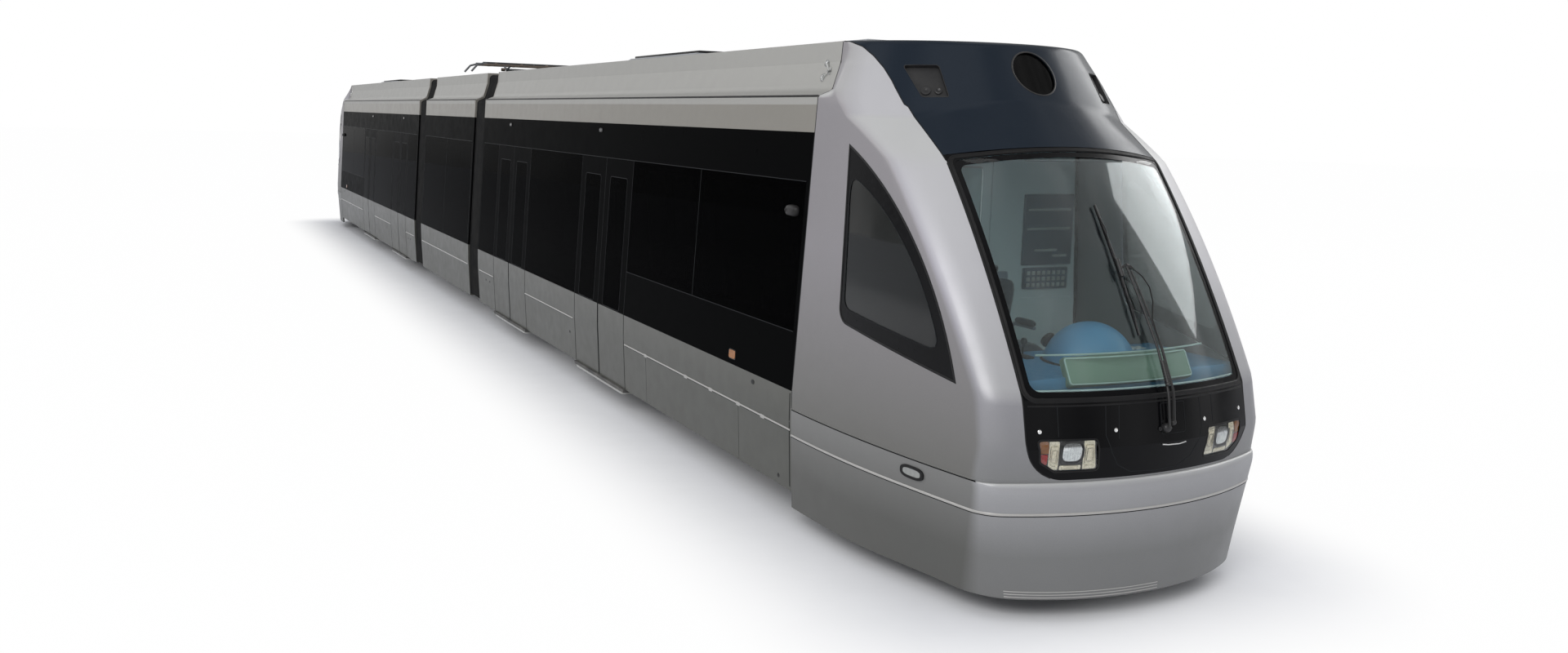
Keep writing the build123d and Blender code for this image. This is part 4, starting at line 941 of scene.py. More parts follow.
@dataclass
class Fitter:
    """Places finished pieces on the CAD bodies and keeps count of them."""

    count: int = 0

    def place(
        self,
        form: Form,
        name: str,
        finish: Finishes,
        body: str,
        slot: str | None = None,
        stands_for: Sequence[str] = (),
        smooth_deg: float = 35.0,
        cutter: Form | None = None,
    ) -> bpy.types.Object:
        """Make one piece and let it ride on its body.

        Args:
            form: The shapes it is made of.
            name: Its name.
            finish: Its finish.
            body: The CAD body it moves with.
            slot: The record's material slot; not used.
            stands_for: CAD nodes that it replaces.
            smooth_deg: Edges sharper than this stay sharp.
            cutter: Closed shapes cut out of it.

        Returns:
            The placed object.
        """
        thing = form.finish(name, smooth_deg)
        if cutter:
            carve(thing, cutter, smooth_deg)
        SHOP.coat(thing, finish)
        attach(thing, body)
        if stands_for:
            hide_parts(*stands_for)
        self.count += 1
        LOG.info("%s rides on %s (%d faces)", name, body, len(thing.data.polygons))
        return thing

    def pair(
        self,
        build: Callable[[], Form],
        name: str,
        finish: Finishes,
        body: str,
        slot: str | None = None,
        stands_for: Sequence[str] = (),
        smooth_deg: float = 35.0,
        cut: Callable[[], Form] | None = None,
    ) -> list[bpy.types.Object]:
        """Make a piece of the front end and its mirror image at the rear.

        Args:
            build: Builds the front piece's form.
            name: The piece's name without its end.
            finish: Its finish.
            body: Its body's name without its end.
            slot: The record's material slot.
            stands_for: CAD nodes that it replaces, without their end.
            smooth_deg: Edges sharper than this stay sharp.
            cut: Builds the closed shapes cut out of the front piece.

        Returns:
            The front and the rear object.
        """
        made = []
        for end in End:
            form, cutter = build(), cut() if cut else None
            if end is End.REAR:
                for each in filter(None, (form, cutter)):
                    bmesh.ops.scale(each.bm, vec=(-1.0, 1.0, 1.0), verts=each.bm.verts)
            nodes = [f"{end.value}_{node}" for node in stands_for]
            name_here, body_here = f"{end.value}_{name}", f"{end.value}_{body}"
            made.append(self.place(form, name_here, finish, body_here, slot, nodes, smooth_deg, cutter))
        return made


FIT = Fitter()


def spread(start: float, stop: float, count: int) -> list[float]:
    """Evenly spaced numbers from start to stop, both included."""
    return [start + (stop - start) * i / (count - 1) for i in range(count)]


def between(a: Flat, b: Flat, share: float) -> Flat:
    """The point at a share of the way from a to b."""
    return (a[0] + (b[0] - a[0]) * share, a[1] + (b[1] - a[1]) * share)


def rectangle(low: Flat, high: Flat) -> tuple[Flat, ...]:
    """The corners of an upright rectangle, from its lowest corner round."""
    return (low, (high[0], low[1]), high, (low[0], high[1]))


def rounded_outline(points: Sequence[Flat], radius: float | Sequence[float], steps: int = 6) -> list[Flat]:
    """Round the corners of a closed flat outline.

    Args:
        points: Its corners in order.
        radius: One radius, or one for each corner.
        steps: Points along each rounded corner.

    Returns:
        The rounded outline's points.
    """
    radii = [radius] * len(points) if isinstance(radius, (int, float)) else list(radius)
    out: list[Flat] = []
    for i, (place, size) in enumerate(zip(points, radii)):
        p, a, b = Vector(place), Vector(points[i - 1]), Vector(points[(i + 1) % len(points)])
        to_a, to_b = (a - p).normalized(), (b - p).normalized()
        half = to_a.angle(to_b) / 2
        reach = min(size / math.tan(half), (a - p).length * 0.49, (b - p).length * 0.49)
        if size <= 0 or half > 1.5:
            out.append((p.x, p.y))
            continue
        true = reach * math.tan(half)
        centre = p + (to_a + to_b).normalized() * (true / math.sin(half))
        start, stop = p + to_a * reach - centre, p + to_b * reach - centre
        turn = start.angle_signed(stop)
        for k in range(steps + 1):
            spoke = start.copy()
            spoke.rotate(Matrix.Rotation(-turn * k / steps, 2))
            out.append((centre.x + spoke.x, centre.y + spoke.y))
    return out


def inset_outline(points: Sequence[Flat], amount: float) -> list[Flat]:
    """Shrink a closed flat outline evenly; a negative amount grows it."""
    area = sum(a[0] * b[1] - b[0] * a[1] for a, b in zip(points, [*points[1:], points[0]]))
    way = 1.0 if area > 0 else -1.0
    out: list[Flat] = []
    for i, place in enumerate(points):
        a, b = Vector(points[i - 1]), Vector(points[(i + 1) % len(points)])
        p = Vector(place)
        u = (p - a).normalized() if (p - a).length > 1e-9 else (b - p).normalized()
        v = (b - p).normalized() if (b - p).length > 1e-9 else u
        normal = Vector((-(u.y + v.y), u.x + v.x)).normalized() * way
        stretch = 1.0 / max(0.5, math.cos(u.angle(v, 0.0) / 2))
        out.append((p.x + normal.x * amount * stretch, p.y + normal.y * amount * stretch))
    return out


BEAD: tuple[Flat, ...] = (
    (-1.0, -0.35), (1.0, -0.35), (0.92, 0.45), (0.5, 0.95), (0.0, 1.0), (-0.5, 0.95), (-0.92, 0.45)
)


def bead(half_width: float, height: float) -> list[Flat]:
    """A half-round moulding's section."""
    return [(s * half_width, n * height) for s, n in BEAD]


def tape(half_width: float, height: float) -> list[Flat]:
    """A flat sealing strip's section."""
    return [(-half_width, -0.002), (half_width, -0.002), (half_width * 0.85, height), (-half_width * 0.85, height)]


UP: Point = (0.0, 0.0, 1.0)


def sheds(count: int, foot: float, pitch: float, outline: Sequence[Flat]) -> list[Flat]:
    """Repeat one rib's outline along the profile of an insulator or a spring.

    Args:
        count: The number of ribs.
        foot: Where the first rib begins.
        pitch: The distance from rib to rib.
        outline: Radius and reach of one rib's points.

    Returns:
        The points of all the ribs.
    """
    return [(radius, foot + pitch * k + reach) for k in range(count) for radius, reach in outline]


def hexagon(form: Form, place: Point, axis: Point, radius: float, height: float) -> Form:
    """Add a bolt head that stands on a face."""
    return form.lathe(((0.0, 0.0), (radius, 0.0), (radius, height), (0.0, height + 0.001)), place, axis, 6)


# ---------------------------------------------------------------- lines drawn on the skins
@dataclass(frozen=True)
class BodyWall:
    """One straight side of the car, addressed by x and z."""

    side: Side

    def at(self, x: float, z: float) -> Vector:
        """The point of the wall at x, z."""
        return BODY.point(x, z, self.side)

    def facing(self, x: float, z: float) -> Vector:
        """The outward direction of the wall at x, z."""
        return BODY.normal(z, self.side)


@dataclass(frozen=True)
class CabWall:
    """One bowed side of the cab, addressed by x and z."""

    side: Side

    def at(self, x: float, z: float) -> Vector:
        """The point of the wall at x, z."""
        return CAB.side(x, z, self.side)

    def facing(self, x: float, z: float) -> Vector:
        """The outward direction of the wall at x, z."""
        return CAB.side_normal(x, z, self.side)


@dataclass(frozen=True)
class Nose:
    """The turned front of the cab, addressed by y and z."""

    inset: float = 0.0

    def at(self, y: float, z: float) -> Vector:
        """The point of the nose at y, z."""
        return CAB.front(y, z, -self.inset)

    def facing(self, y: float, z: float) -> Vector:
        """The outward direction of the nose at y, z."""
        return CAB.front_normal(y, z)


Wall = BodyWall | CabWall | Nose


@dataclass(frozen=True)
class BumperRing:
    """The line round the cab's foot: bowed sides, rounded corners and the bumper drum."""

    drum: float = 2.668
    lip: float = 0.085
    lip_depth: float = 0.030
    edge: float = 0.012
    corner: float = 0.180
    low_corner: float = 0.340
    top_z: float = 0.890
    low_z: float = 0.148
    tuck: float = 0.040
    sweep: float = 0.110
    sweep_x: Flat = (13.2, 14.4)
    sweep_half: float = 1.15
    counts: tuple[int, int, int] = (24, 12, 24)

    def radius(self, z: float) -> float:
        """Radius of the drum at a height: rounded in at its lip and at its lower edge."""
        rise = max(0.0, z - (self.top_z - self.lip)) / self.lip
        drop = max(0.0, (self.low_z + self.edge) - z) / self.edge
        lean = 0.012 * max(0.0, 0.6 - z)
        at_lip = self.lip_depth * (1 - math.sqrt(max(0.0, 1 - rise**2)))
        at_edge = self.edge * (1 - math.sqrt(max(0.0, 1 - drop**2)))
        return self.drum - lean - at_lip - at_edge

    def trace(self, z: float, inset: float = 0.0) -> tuple[list[Vector], list[Vector]]:
        """Follow the foot of the cab at a height, from its right side round to its left.

        Args:
            z: The height of the line.
            inset: How far inside the skin it runs.

        Returns:
            The line's points and its outward directions.
        """
        size = self.radius(z)
        low = (self.top_z - z) / (self.top_z - self.low_z)
        corner = self.corner + (self.low_corner - self.corner) * low
        axis_y = CAB.body.waist_half - CAB.side_radius
        reach = CAB.body.half_width(z) - axis_y
        drum, bow = Vector((CAB.axis_x, 0.0)), Vector((CAB.joint_x, axis_y))
        near, far = size - corner, reach - corner
        apart = (bow - drum).length
        along = (near**2 - far**2 + apart**2) / (2 * apart)
        toward = (bow - drum) / apart
        across = Vector((-toward.y, toward.x))
        centre = drum + toward * along + across * math.sqrt(near**2 - along**2)
        start = math.atan2(centre.y - bow.y, centre.x - bow.x)
        stop = math.atan2(centre.y, centre.x - drum.x)
        on_drum, on_corner, on_side = self.counts
        across_side = math.pi / 2 - start
        half = [self._spoke(drum, size, stop * k / on_drum) for k in range(on_drum + 1)]
        half += [self._spoke(centre, corner, stop + (start - stop) * k / on_corner) for k in range(1, on_corner + 1)]
        half += [self._spoke(bow, reach, start + across_side * k / on_side) for k in range(1, on_side + 1)]
        left = [(self._tucked(p, low) - n * inset, n) for p, n in half]
        right = [(Vector((p.x, -p.y)), Vector((n.x, -n.y))) for p, n in reversed(left[1:])]
        whole = right + left
        return [Vector((max(p.x, CAB.joint_x), p.y, z)) for p, _ in whole], [Vector((n.x, n.y, 0.0)) for _, n in whole]

    def _tucked(self, place: Vector, low: float) -> Vector:
        """Draw a point of the front corners inwards and back, more the lower it lies."""
        start, stop = self.sweep_x
        share = min(1.0, max(0.0, (place.x - start) / (stop - start)))
        share *= share * (3 - 2 * share)
        back = self.sweep * low * share * min(1.2, abs(place.y) / self.sweep_half) ** 3
        return Vector((place.x - back, place.y * (1 - self.tuck * low * share)))

    @staticmethod
    def _spoke(centre: Vector, radius: float, angle: float) -> tuple[Vector, Vector]:
        """A point on an arc and its outward direction."""
        out = Vector((math.cos(angle), math.sin(angle)))
        return centre + out * radius, out


def trace(points: Sequence[Flat], wall: Wall, step: float = 0.06) -> tuple[list[Vector], list[Vector]]:
    """Follow flat points over a wall.

    Args:
        points: The corners of the line, in the wall's own two coordinates.
        wall: The wall that it lies on.
        step: The longest stretch between two points.

    Returns:
        The line's points and the wall's outward directions there.
    """
    flat: list[Flat] = []
    for (u0, v0), (u1, v1) in zip(points, points[1:]):
        count = max(1, math.ceil(math.hypot(u1 - u0, v1 - v0) / step))
        flat += [(u0 + (u1 - u0) * k / count, v0 + (v1 - v0) * k / count) for k in range(count)]
    flat.append(points[-1])
    return [wall.at(u, v) for u, v in flat], [wall.facing(u, v) for u, v in flat]


def strip(form: Form, points: Sequence[Flat], wall: Wall, profile: Sequence[Flat], step: float = 0.06) -> Form:
    """Lay a moulding of one section along an open line on a wall."""
    line, normals = trace(points, wall, step)
    return form.run(line, normals, profile)


def hoop(form: Form, points: Sequence[Flat], wall: Wall, profile: Sequence[Flat], step: float = 0.05) -> Form:
    """Lay a moulding of one section round a closed outline on a wall."""
    line, normals = trace([*points, points[0]], wall, step)
    return form.run(line[:-1], normals[:-1], profile, closed=True)


def frame_between(
    form: Form, outer: Sequence[Flat], inner: Sequence[Flat], wall: Wall, proud: float, thickness: float
) -> Form:
    """Fill the border between two closed outlines with equal point counts.

    Args:
        form: The form that takes it.
        outer: The outer outline.
        inner: The inner outline, point for point.
        wall: The wall that it lies on.
        proud: How far its face stands off the wall.
        thickness: Its thickness.

    Returns:
        The form itself.
    """
    def loop(outline: Sequence[Flat], off: float) -> list[Vector]:
        """One edge of the border."""
        return [wall.at(u, v) + wall.facing(u, v) * off for u, v in outline]

    back = proud - thickness
    rows = [loop(outer, back), loop(outer, proud), loop(inner, proud), loop(inner, back), loop(outer, back)]
    return form.skin(rows, closed=True)


def plate(form: Form, outline: Sequence[Flat], wall: Wall, proud: float, thickness: float, rings: int = 5) -> Form:
    """Fill a closed outline with a plate that follows the wall's curve.

    Args:
        form: The form that takes it.
        outline: The plate's outline in the wall's coordinates.
        wall: The wall that it follows.
        proud: How far its face stands off the wall.
        thickness: Its thickness.
        rings: Steps from its edge to its middle.

    Returns:
        The form itself.
    """
    mid_u = sum(u for u, _ in outline) / len(outline)
    mid_v = sum(v for _, v in outline) / len(outline)
    face: list[list[Vector]] = []
    for k in range(rings):
        share = 1.0 - k / rings
        ring = [between((mid_u, mid_v), corner, share) for corner in outline]
        face.append([wall.at(u, v) + wall.facing(u, v) * proud for u, v in ring])
    tip = wall.at(mid_u, mid_v) + wall.facing(mid_u, mid_v) * proud
    face.append([tip + (p - tip) * 0.02 for p in face[-1]])
    rim = [wall.at(u, v) + wall.facing(u, v) * (proud - thickness) for u, v in outline]
    return form.skin([rim, *face], closed=True, capped=True)


def disc(form: Form, place: Vector, facing: Vector, profile: Sequence[Flat], steps: int = 20) -> Form:
    """Turn a small fitting on a wall: a stud, lock, rim or lamp."""
    return form.lathe(profile, tuple(place), tuple(facing), steps)


LOCK: tuple[Flat, ...] = (
    (0.0, -0.004), (0.017, -0.004), (0.017, 0.0015), (0.012, 0.002), (0.010, 0.0006), (0.0, 0.0006)
)
QUARTER_TURN: tuple[Flat, ...] = (
    (0.0, -0.004),
    (0.0125, -0.004),
    (0.0125, 0.003),
    (0.010, 0.0045),
    (0.0055, 0.0045),
    (0.005, 0.0025),
    (0.0, 0.0025),
)
STEPPED_BOLT: tuple[Flat, ...] = (
    (0.0, -0.004), (0.013, -0.004), (0.013, 0.005), (0.0095, 0.007), (0.009, 0.014), (0.0, 0.015)
)
GASKET: tuple[Flat, ...] = (
    (-0.0165, -0.006),
    (0.0165, -0.006),
    (0.0155, 0.003),
    (0.011, 0.0055),
    (0.006, 0.003),
    (0.001, 0.0015),
    (-0.005, 0.004),
    (-0.010, 0.005),
    (-0.0155, 0.001),
)
WIPER_RUBBER: tuple[Flat, ...] = (
    (-0.0045, 0.0165),
    (0.0045, 0.0165),
    (0.0045, 0.012),
    (0.0016, 0.010),
    (0.0016, 0.0035),
    (-0.0016, 0.0035),
    (-0.0016, 0.010),
    (-0.0045, 0.012),
)


def oval(u: float, v: float, half_u: float, half_v: float, steps: int = 28, power: float = 2.0) -> list[Flat]:
    """An oval outline, squarer with a higher power."""
    out: list[Flat] = []
    for k in range(steps):
        c, s = math.cos(math.tau * k / steps), math.sin(math.tau * k / steps)
        reach = (abs(c) ** power + abs(s) ** power) ** (-1.0 / power)
        out.append((u + half_u * c * reach, v + half_v * s * reach))
    return out


# ---------------------------------------------------------------- the folding gangways
@dataclass
class Gangway:
    """The pleated bellows at both ends of the centre section, with their clamping frames."""

    start_x: float = 1.860
    end_x: float = 2.490
    folds: int = 13
    crest: float = 0.030
    root: float = 0.072
    lining: float = 0.122
    clamp: float = 0.026
    floor_gap_y: float = 0.670
    fairing: tuple[Flat, ...] = ((1.075, 3.200), (1.010, 3.400), (0.997, 3.545))

    def outline(self, inset: float) -> list[Flat]:
        """The open line round the section, from the left foot over the roof to the right foot.

        Args:
            inset: How far inside the skin the line runs.

        Returns:
            Its y, z points.
        """
        half = [
            (BODY.half_width(BODY.skirt_z), BODY.skirt_z),
            (BODY.waist_half, BODY.tuck_z),
            (BODY.waist_half, BODY.belt_z),
            (BODY.gutter_half, BODY.gutter_z),
            *self.fairing,
        ]
        loop = [*half, *[(-y, z) for y, z in reversed(half)]]
        shrunk = inset_outline(loop, inset)
        rounded = rounded_outline(
            shrunk, [0.0, 0.3, 0.3, 0.05, 0.05, 0.05, 0.06, 0.06, 0.05, 0.05, 0.05, 0.3, 0.3, 0.0], 4
        )
        foot_z = BODY.skirt_z + inset
        top = [(y, z) for y, z in rounded if z > foot_z + 0.01]
        return [
            (self.floor_gap_y, foot_z), (top[0][0], foot_z), *top, (top[-1][0], foot_z), (-self.floor_gap_y, foot_z)
        ]

    def wrap(self, form: Form, stations: Sequence[Flat]) -> Form:
        """Sweep the section's wall along the car.

        Args:
            form: The form that takes it.
            stations: x and inset of the outer face, station by station.

        Returns:
            The form itself.
        """
        inner = self.outline(self.lining)
        rows = []
        for x, inset in stations:
            ring = [*self.outline(inset), *reversed(inner)]
            rows.append([Vector((x, y, z)) for y, z in ring])
        return form.skin(rows, closed=True, capped=True)

    def pleats(self) -> Form:
        """The pleated sleeve, with rounded crests and tight roots."""
        low, high = self.start_x + 0.022, self.end_x - 0.022
        pitch = (high - low) / self.folds
        shape = (
            (0.0, 1.0), (0.10, 0.55), (0.22, 0.2), (0.36, 0.04), (0.5, 0.0), (0.64, 0.04), (0.78, 0.2), (0.90, 0.55)
        )
        stations = [
            (low + pitch * (fold + share), self.crest + (self.root - self.crest) * depth)
            for fold in range(self.folds)
            for share, depth in shape
        ]
        return self.wrap(Form(), [*stations, (high, self.root)])

    def clamps(self, near_x: float, far_x: float) -> Form:
        """One clamping frame between two stations."""
        soft = min(0.003, (far_x - near_x) / 3)
        stations = [
            (near_x, self.clamp + soft),
            (near_x + soft, self.clamp),
            (far_x - soft, self.clamp),
            (far_x, self.clamp + soft),
        ]
        return self.wrap(Form(), stations)

    def build(self) -> None:
        """Make both gangways."""
        for end in End:
            pleats = self.pleats()
            inner = self.clamps(self.start_x + 0.002, self.start_x + 0.022)
            outer = self.clamps(self.end_x - 0.022, self.end_x - 0.002)
            if end is End.REAR:
                for form in (pleats, inner, outer):
                    bmesh.ops.scale(form.bm, vec=(-1.0, 1.0, 1.0), verts=form.bm.verts)
            sleeve = pleats.finish(f"{end.value}_gangway_pleats", 50.0)
            SHOP.coat(sleeve, Finishes.BELLOWS)
            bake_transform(sleeve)
            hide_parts(f"{end.value}_bellows")
            FIT.count += 1
            LOG.info("%s crosses the %s joint", sleeve.name, end.value)
            FIT.place(inner, f"{end.value}_gangway_inner_clamp", Finishes.RUBBER, "centre_section", "bellows_rubber")
            FIT.place(
                outer, f"{end.value}_gangway_outer_clamp", Finishes.RUBBER, f"{end.value}_section", "bellows_rubber"
            )


# ---------------------------------------------------------------- trim of the long sides
@dataclass
class SideTrim:
    """Joint seals, rubbing beads, gutter seals, marker lamps and locks along both sides."""

    door_centres: tuple[float, float] = (4.250, 8.000)
    portal_half: float = 0.821
    leaf: float = 0.815
    glass_margin: float = 0.1475
    glass_low_z: float = 1.040
    glass_high_z: float = 2.365
    sill_z: float = 1.460
    split_x: float = 10.520
    bead_z: float = 0.735
    bead_long: Flat = (8.850, 12.505)
    beads_short: tuple[Flat, ...] = ((5.080, 7.120), (2.560, 3.400))
    bead_centre: Flat = (-1.800, 1.800)
    bead_pads: tuple[float, ...] = (9.450, 10.465, 11.022, 11.582, 12.033)
    door_lamp_z: float = 2.826
    lip_levels: tuple[Flat, ...] = (
        (0.210, 0.014), (0.214, 0.0), (0.222, 0.0), (0.254, 0.0), (0.262, 0.004), (0.2655, 0.012)
    )
    locks: tuple[Flat, ...] = ((2.950, 0.640), (3.180, 0.640), (6.980, 0.560), (12.301, 0.336))
    marker: Flat = (11.447, 1.112)
    latch: Flat = (11.851, 0.965)

    def walls(self) -> tuple[BodyWall, BodyWall]:
        """Both long sides."""
        return BodyWall(Side.LEFT), BodyWall(Side.RIGHT)

    def panel_joints(self) -> Form:
        """Dark seals in the upright joints between doors and skirt panels."""
        form = Form()
        for wall in self.walls():
            for centre in self.door_centres:
                low_x, high_x = centre - self.portal_half + 0.002, centre + self.portal_half - 0.002
                for x, half in ((low_x, 0.005), (centre, 0.017), (high_x, 0.005)):
                    strip(form, ((x, BODY.skirt_z + 0.005), (x, BODY.belt_z)), wall, tape(half, 0.0012), 0.1)
            strip(form, ((12.492, 0.30), (12.492, BODY.belt_z - 0.02)), wall, tape(0.006, 0.0008), 0.1)
            for x in (9.45, 11.582):
                strip(form, ((x, BODY.skirt_z + 0.004), (x, self.bead_z - 0.02)), wall, tape(0.0018, 0.0005), 0.1)
        return form

    def band_joints(self) -> Form:
        """The fine pale lines round panes and door leaves in the black band."""
        form = Form()
        section = tape(0.0035, 0.0008)
        top = BODY.window_top_z
        for wall in self.walls():
            strip(form, ((2.575, top), (12.455, top)), wall, section, 1.0)
            for centre in self.door_centres:
                for x in (centre - self.portal_half + 0.002, centre, centre + self.portal_half - 0.002):
                    strip(form, ((x, BODY.belt_z + 0.003), (x, top)), wall, section, 0.2)
                for start in (centre - 0.002 - self.leaf, centre + 0.002):
                    low_x, high_x = start + self.glass_margin, start + self.leaf - self.glass_margin
                    corners = rectangle((low_x, self.glass_low_z), (high_x, self.glass_high_z))
                    hoop(form, rounded_outline(corners, 0.035, 5), wall, section, 0.3)
            strip(
                form,
                ((self.door_centres[1] + self.portal_half, self.sill_z), (12.455, self.sill_z)),
                wall,
                section,
                1.0,
            )
            strip(form, ((self.split_x, self.sill_z), (self.split_x, top)), wall, section, 0.2)
        return form

    def centre_joints(self) -> Form:
        """Pane joints of the centre section."""
        form = Form()
        for wall in self.walls():
            for x in (-1.787, 0.0, 1.787):
                strip(form, ((x, BODY.belt_z + 0.003), (x, BODY.window_top_z)), wall, tape(0.0035, 0.0008), 0.2)
            strip(form, ((-1.787, BODY.window_top_z), (1.787, BODY.window_top_z)), wall, tape(0.0035, 0.0008), 1.0)
        return form

    def beads(self) -> Form:
        """The raised rubbing beads of an end section, with their fixing pads, pale partly as a painted highlight."""
        form = Form()
        for wall in self.walls():
            for low_x, high_x in (self.bead_long, *self.beads_short):
                strip(form, ((low_x, self.bead_z), (high_x, self.bead_z)), wall, bead(0.0075, 0.0062), 0.6)
            for x in self.bead_pads:
                pad = rectangle((x - 0.035, self.bead_z - 0.017), (x + 0.035, self.bead_z + 0.012))
                plate(form, rounded_outline(pad, 0.008, 3), wall, 0.0035, 0.006, 2)
        return form

    def centre_beads(self) -> Form:
        """The centre section's rubbing beads."""
        form = Form()
        for wall in self.walls():
            strip(
                form,
                ((self.bead_centre[0], self.bead_z), (self.bead_centre[1], self.bead_z)),
                wall,
                bead(0.0075, 0.0062),
                0.6,
            )
        return form

    def bead_shadow(self) -> Form:
        """A painted shadow: a dark strip under each bead."""
        form = Form()
        for wall in self.walls():
            for low_x, high_x in (self.bead_long, *self.beads_short):
                low_z = self.bead_z - 0.0095
                strip(form, ((low_x, low_z), (high_x, low_z)), wall, tape(0.0028, 0.0012), 0.6)
        return form

    def gutter(self, low_x: float, high_x: float) -> Form:
        """Dark gutter seals between side wall and fairing."""
        form = Form()
        for side in Side:
            line = [
                Vector((x, side.value * (BODY.gutter_half - 0.002), BODY.gutter_z + 0.001))
                for x in spread(low_x, high_x, 12)
            ]
            facing = [Vector((0.0, side.value * 0.8, 0.6))] * len(line)
            form.run(line, facing, bead(0.009, 0.004))
        return form

    def door_lamps(self) -> tuple[Form, Form]:
        """The small lamps over the doors: their bezels and their lenses."""
        rims, lenses = Form(), Form()
        for wall in self.walls():
            for centre in self.door_centres:
                x = centre - 0.255
                plate(rims, oval(x, self.door_lamp_z, 0.058, 0.022, 24, 3.0), wall, 0.006, 0.010, 3)
                plate(lenses, oval(x, self.door_lamp_z, 0.040, 0.013, 20, 2.6), wall, 0.0075, 0.006, 3)
        return rims, lenses

    def locks_form(self) -> Form:
        """Panel locks low on the skirts and the latch under the band."""
        form = Form()
        for wall in self.walls():
            for x, z in self.locks:
                disc(form, wall.at(x, z), wall.facing(x, z), LOCK)
            x, z = self.latch
            plate(form, oval(x, z, 0.026, 0.018, 20, 2.4), wall, 0.0025, 0.006, 3)
        return form

    def thresholds(self) -> Form:
        """Rounded metal lips under the doorways, ribbed on top."""
        form = Form()
        for side in Side:
            for centre in self.door_centres:
                step = rectangle((centre - 0.790, side.value * 1.210), (centre + 0.790, side.value * 1.3215))
                outline = rounded_outline(step, [0.0, 0.0, 0.085, 0.085], 7)
                rows = []
                for z, inset in self.lip_levels:
                    rows.append([Vector((x, y, z)) for x, y in inset_outline(outline, inset)])
                form.skin(rows, closed=True, capped=True)
        return form

    def marker_lamps(self) -> tuple[Form, Form]:
        """The amber side reflectors and their bezels."""
        lens, rim = Form(), Form()
        for wall in self.walls():
            x, z = self.marker
            plate(rim, oval(x, z, 0.066, 0.040, 28, 8.0), wall, 0.003, 0.006, 2)
            plate(lens, oval(x, z, 0.058, 0.033, 28, 8.0), wall, 0.0065, 0.006, 3)
        return lens, rim

    def camera_pod(self) -> Form:
        """The small looking-back camera on the last pillar."""
        form = Form()
        for side in Side:
            wall = BodyWall(side)
            place, facing = wall.at(12.300, 2.330), wall.facing(12.300, 2.330)
            levels = ((0.0, 1.0), (0.012, 1.0), (0.030, 0.90), (0.040, 0.70), (0.043, 0.45))
            rows = []
            for off, share in levels:
                outline = oval(12.300, 2.330, 0.085 * share, 0.042 * share, 24, 3.2)
                rows.append([wall.at(x, z) + facing * off for x, z in outline])
            form.skin(rows, closed=True, capped=True)
            eye, looking = place + facing * 0.030 + Vector((-0.055, 0.0, 0.0)), Vector((-0.7, side.value * 0.7, -0.2))
            disc(form, eye, looking, ((0.0, 0.0), (0.018, 0.0), (0.018, 0.010), (0.012, 0.013), (0.0, 0.014)))
        return form

    def build(self) -> None:
        """Make the trim of the end sections and the centre section."""
        FIT.pair(self.panel_joints, "panel_joint_seals", Finishes.SEAM, "section", "bellows_rubber")
        FIT.pair(self.band_joints, "band_joint_lines", Finishes.BAND_LINE, "section", "mask_black")
        FIT.pair(self.beads, "rubbing_beads", Finishes.BEAD, "section", "body_paint")
        # Painted shadow under the beads.
        FIT.pair(self.bead_shadow, "bead_painted_shadows", Finishes.SEAM, "section", "bellows_rubber")
        FIT.pair(lambda: self.gutter(2.495, 12.515), "gutter_seals", Finishes.RUBBER, "section", "bellows_rubber")
        FIT.pair(lambda: self.door_lamps()[0], "door_lamp_bezels", Finishes.BLACK_PLASTIC, "section", "lamp_lens")
        FIT.pair(lambda: self.door_lamps()[1], "door_lamp_lenses", Finishes.DIM_LENS, "section", "lamp_lens")
        FIT.pair(self.locks_form, "panel_locks", Finishes.BLACK_PLASTIC, "section", "mask_black")
        FIT.pair(self.thresholds, "door_thresholds", Finishes.TREAD, "section", "body_paint", smooth_deg=50.0)
        FIT.pair(lambda: self.marker_lamps()[0], "side_markers", Finishes.AMBER_LENS, "section", "lamp_lens")
        FIT.pair(lambda: self.marker_lamps()[1], "side_marker_bezels", Finishes.BLACK_PLASTIC, "section", "mask_black")
        FIT.pair(self.camera_pod, "rear_view_cameras", Finishes.BLACK_PLASTIC, "section", "mask_black", smooth_deg=50.0)
        FIT.place(self.centre_joints(), "centre_band_joint_lines", Finishes.BAND_LINE, "centre_section", "mask_black")
        FIT.place(self.centre_beads(), "centre_rubbing_beads", Finishes.BEAD, "centre_section", "body_paint")
        FIT.place(
            self.gutter(-1.855, 1.855), "centre_gutter_seals", Finishes.RUBBER, "centre_section", "bellows_rubber"
        )


# ---------------------------------------------------------------- the cab's smooth shell and brow
@dataclass(frozen=True)
class PlanLine:
    """One level line of the cab, from its joint with the body round to the centre plane."""

    points: tuple[Flat, ...]
    reach: tuple[float, ...]
    bend_start: float
    bend_end: float

    def at(self, distance: float) -> Flat:
        """The point at a distance along the line from the joint."""
        last = len(self.points) - 2
        i = next((k for k in range(last + 1) if distance <= self.reach[k + 1]), last)
        share = min(1.0, (distance - self.reach[i]) / max(self.reach[i + 1] - self.reach[i], 1e-12))
        return between(self.points[i], self.points[i + 1], share)

    def inward(self, distance: float) -> Flat:
        """The direction into the cab at a distance along the line."""
        (x0, y0), (x1, y1) = self.at(max(distance - 0.01, 0.0)), self.at(min(distance + 0.01, self.reach[-1]))
        size = math.hypot(x1 - x0, y1 - y0)
        return ((y1 - y0) / size, -(x1 - x0) / size)

    def reach_of_x(self, x: float) -> float:
        """The distance along the line at which it gets to x."""
        for (x0, _), (x1, _), d0, d1 in zip(self.points, self.points[1:], self.reach, self.reach[1:]):
            if x0 <= x <= x1:
                return d0 + (d1 - d0) * (x - x0) / max(x1 - x0, 1e-12)
        return 0.0 if x < self.points[0][0] else self.reach[-1]


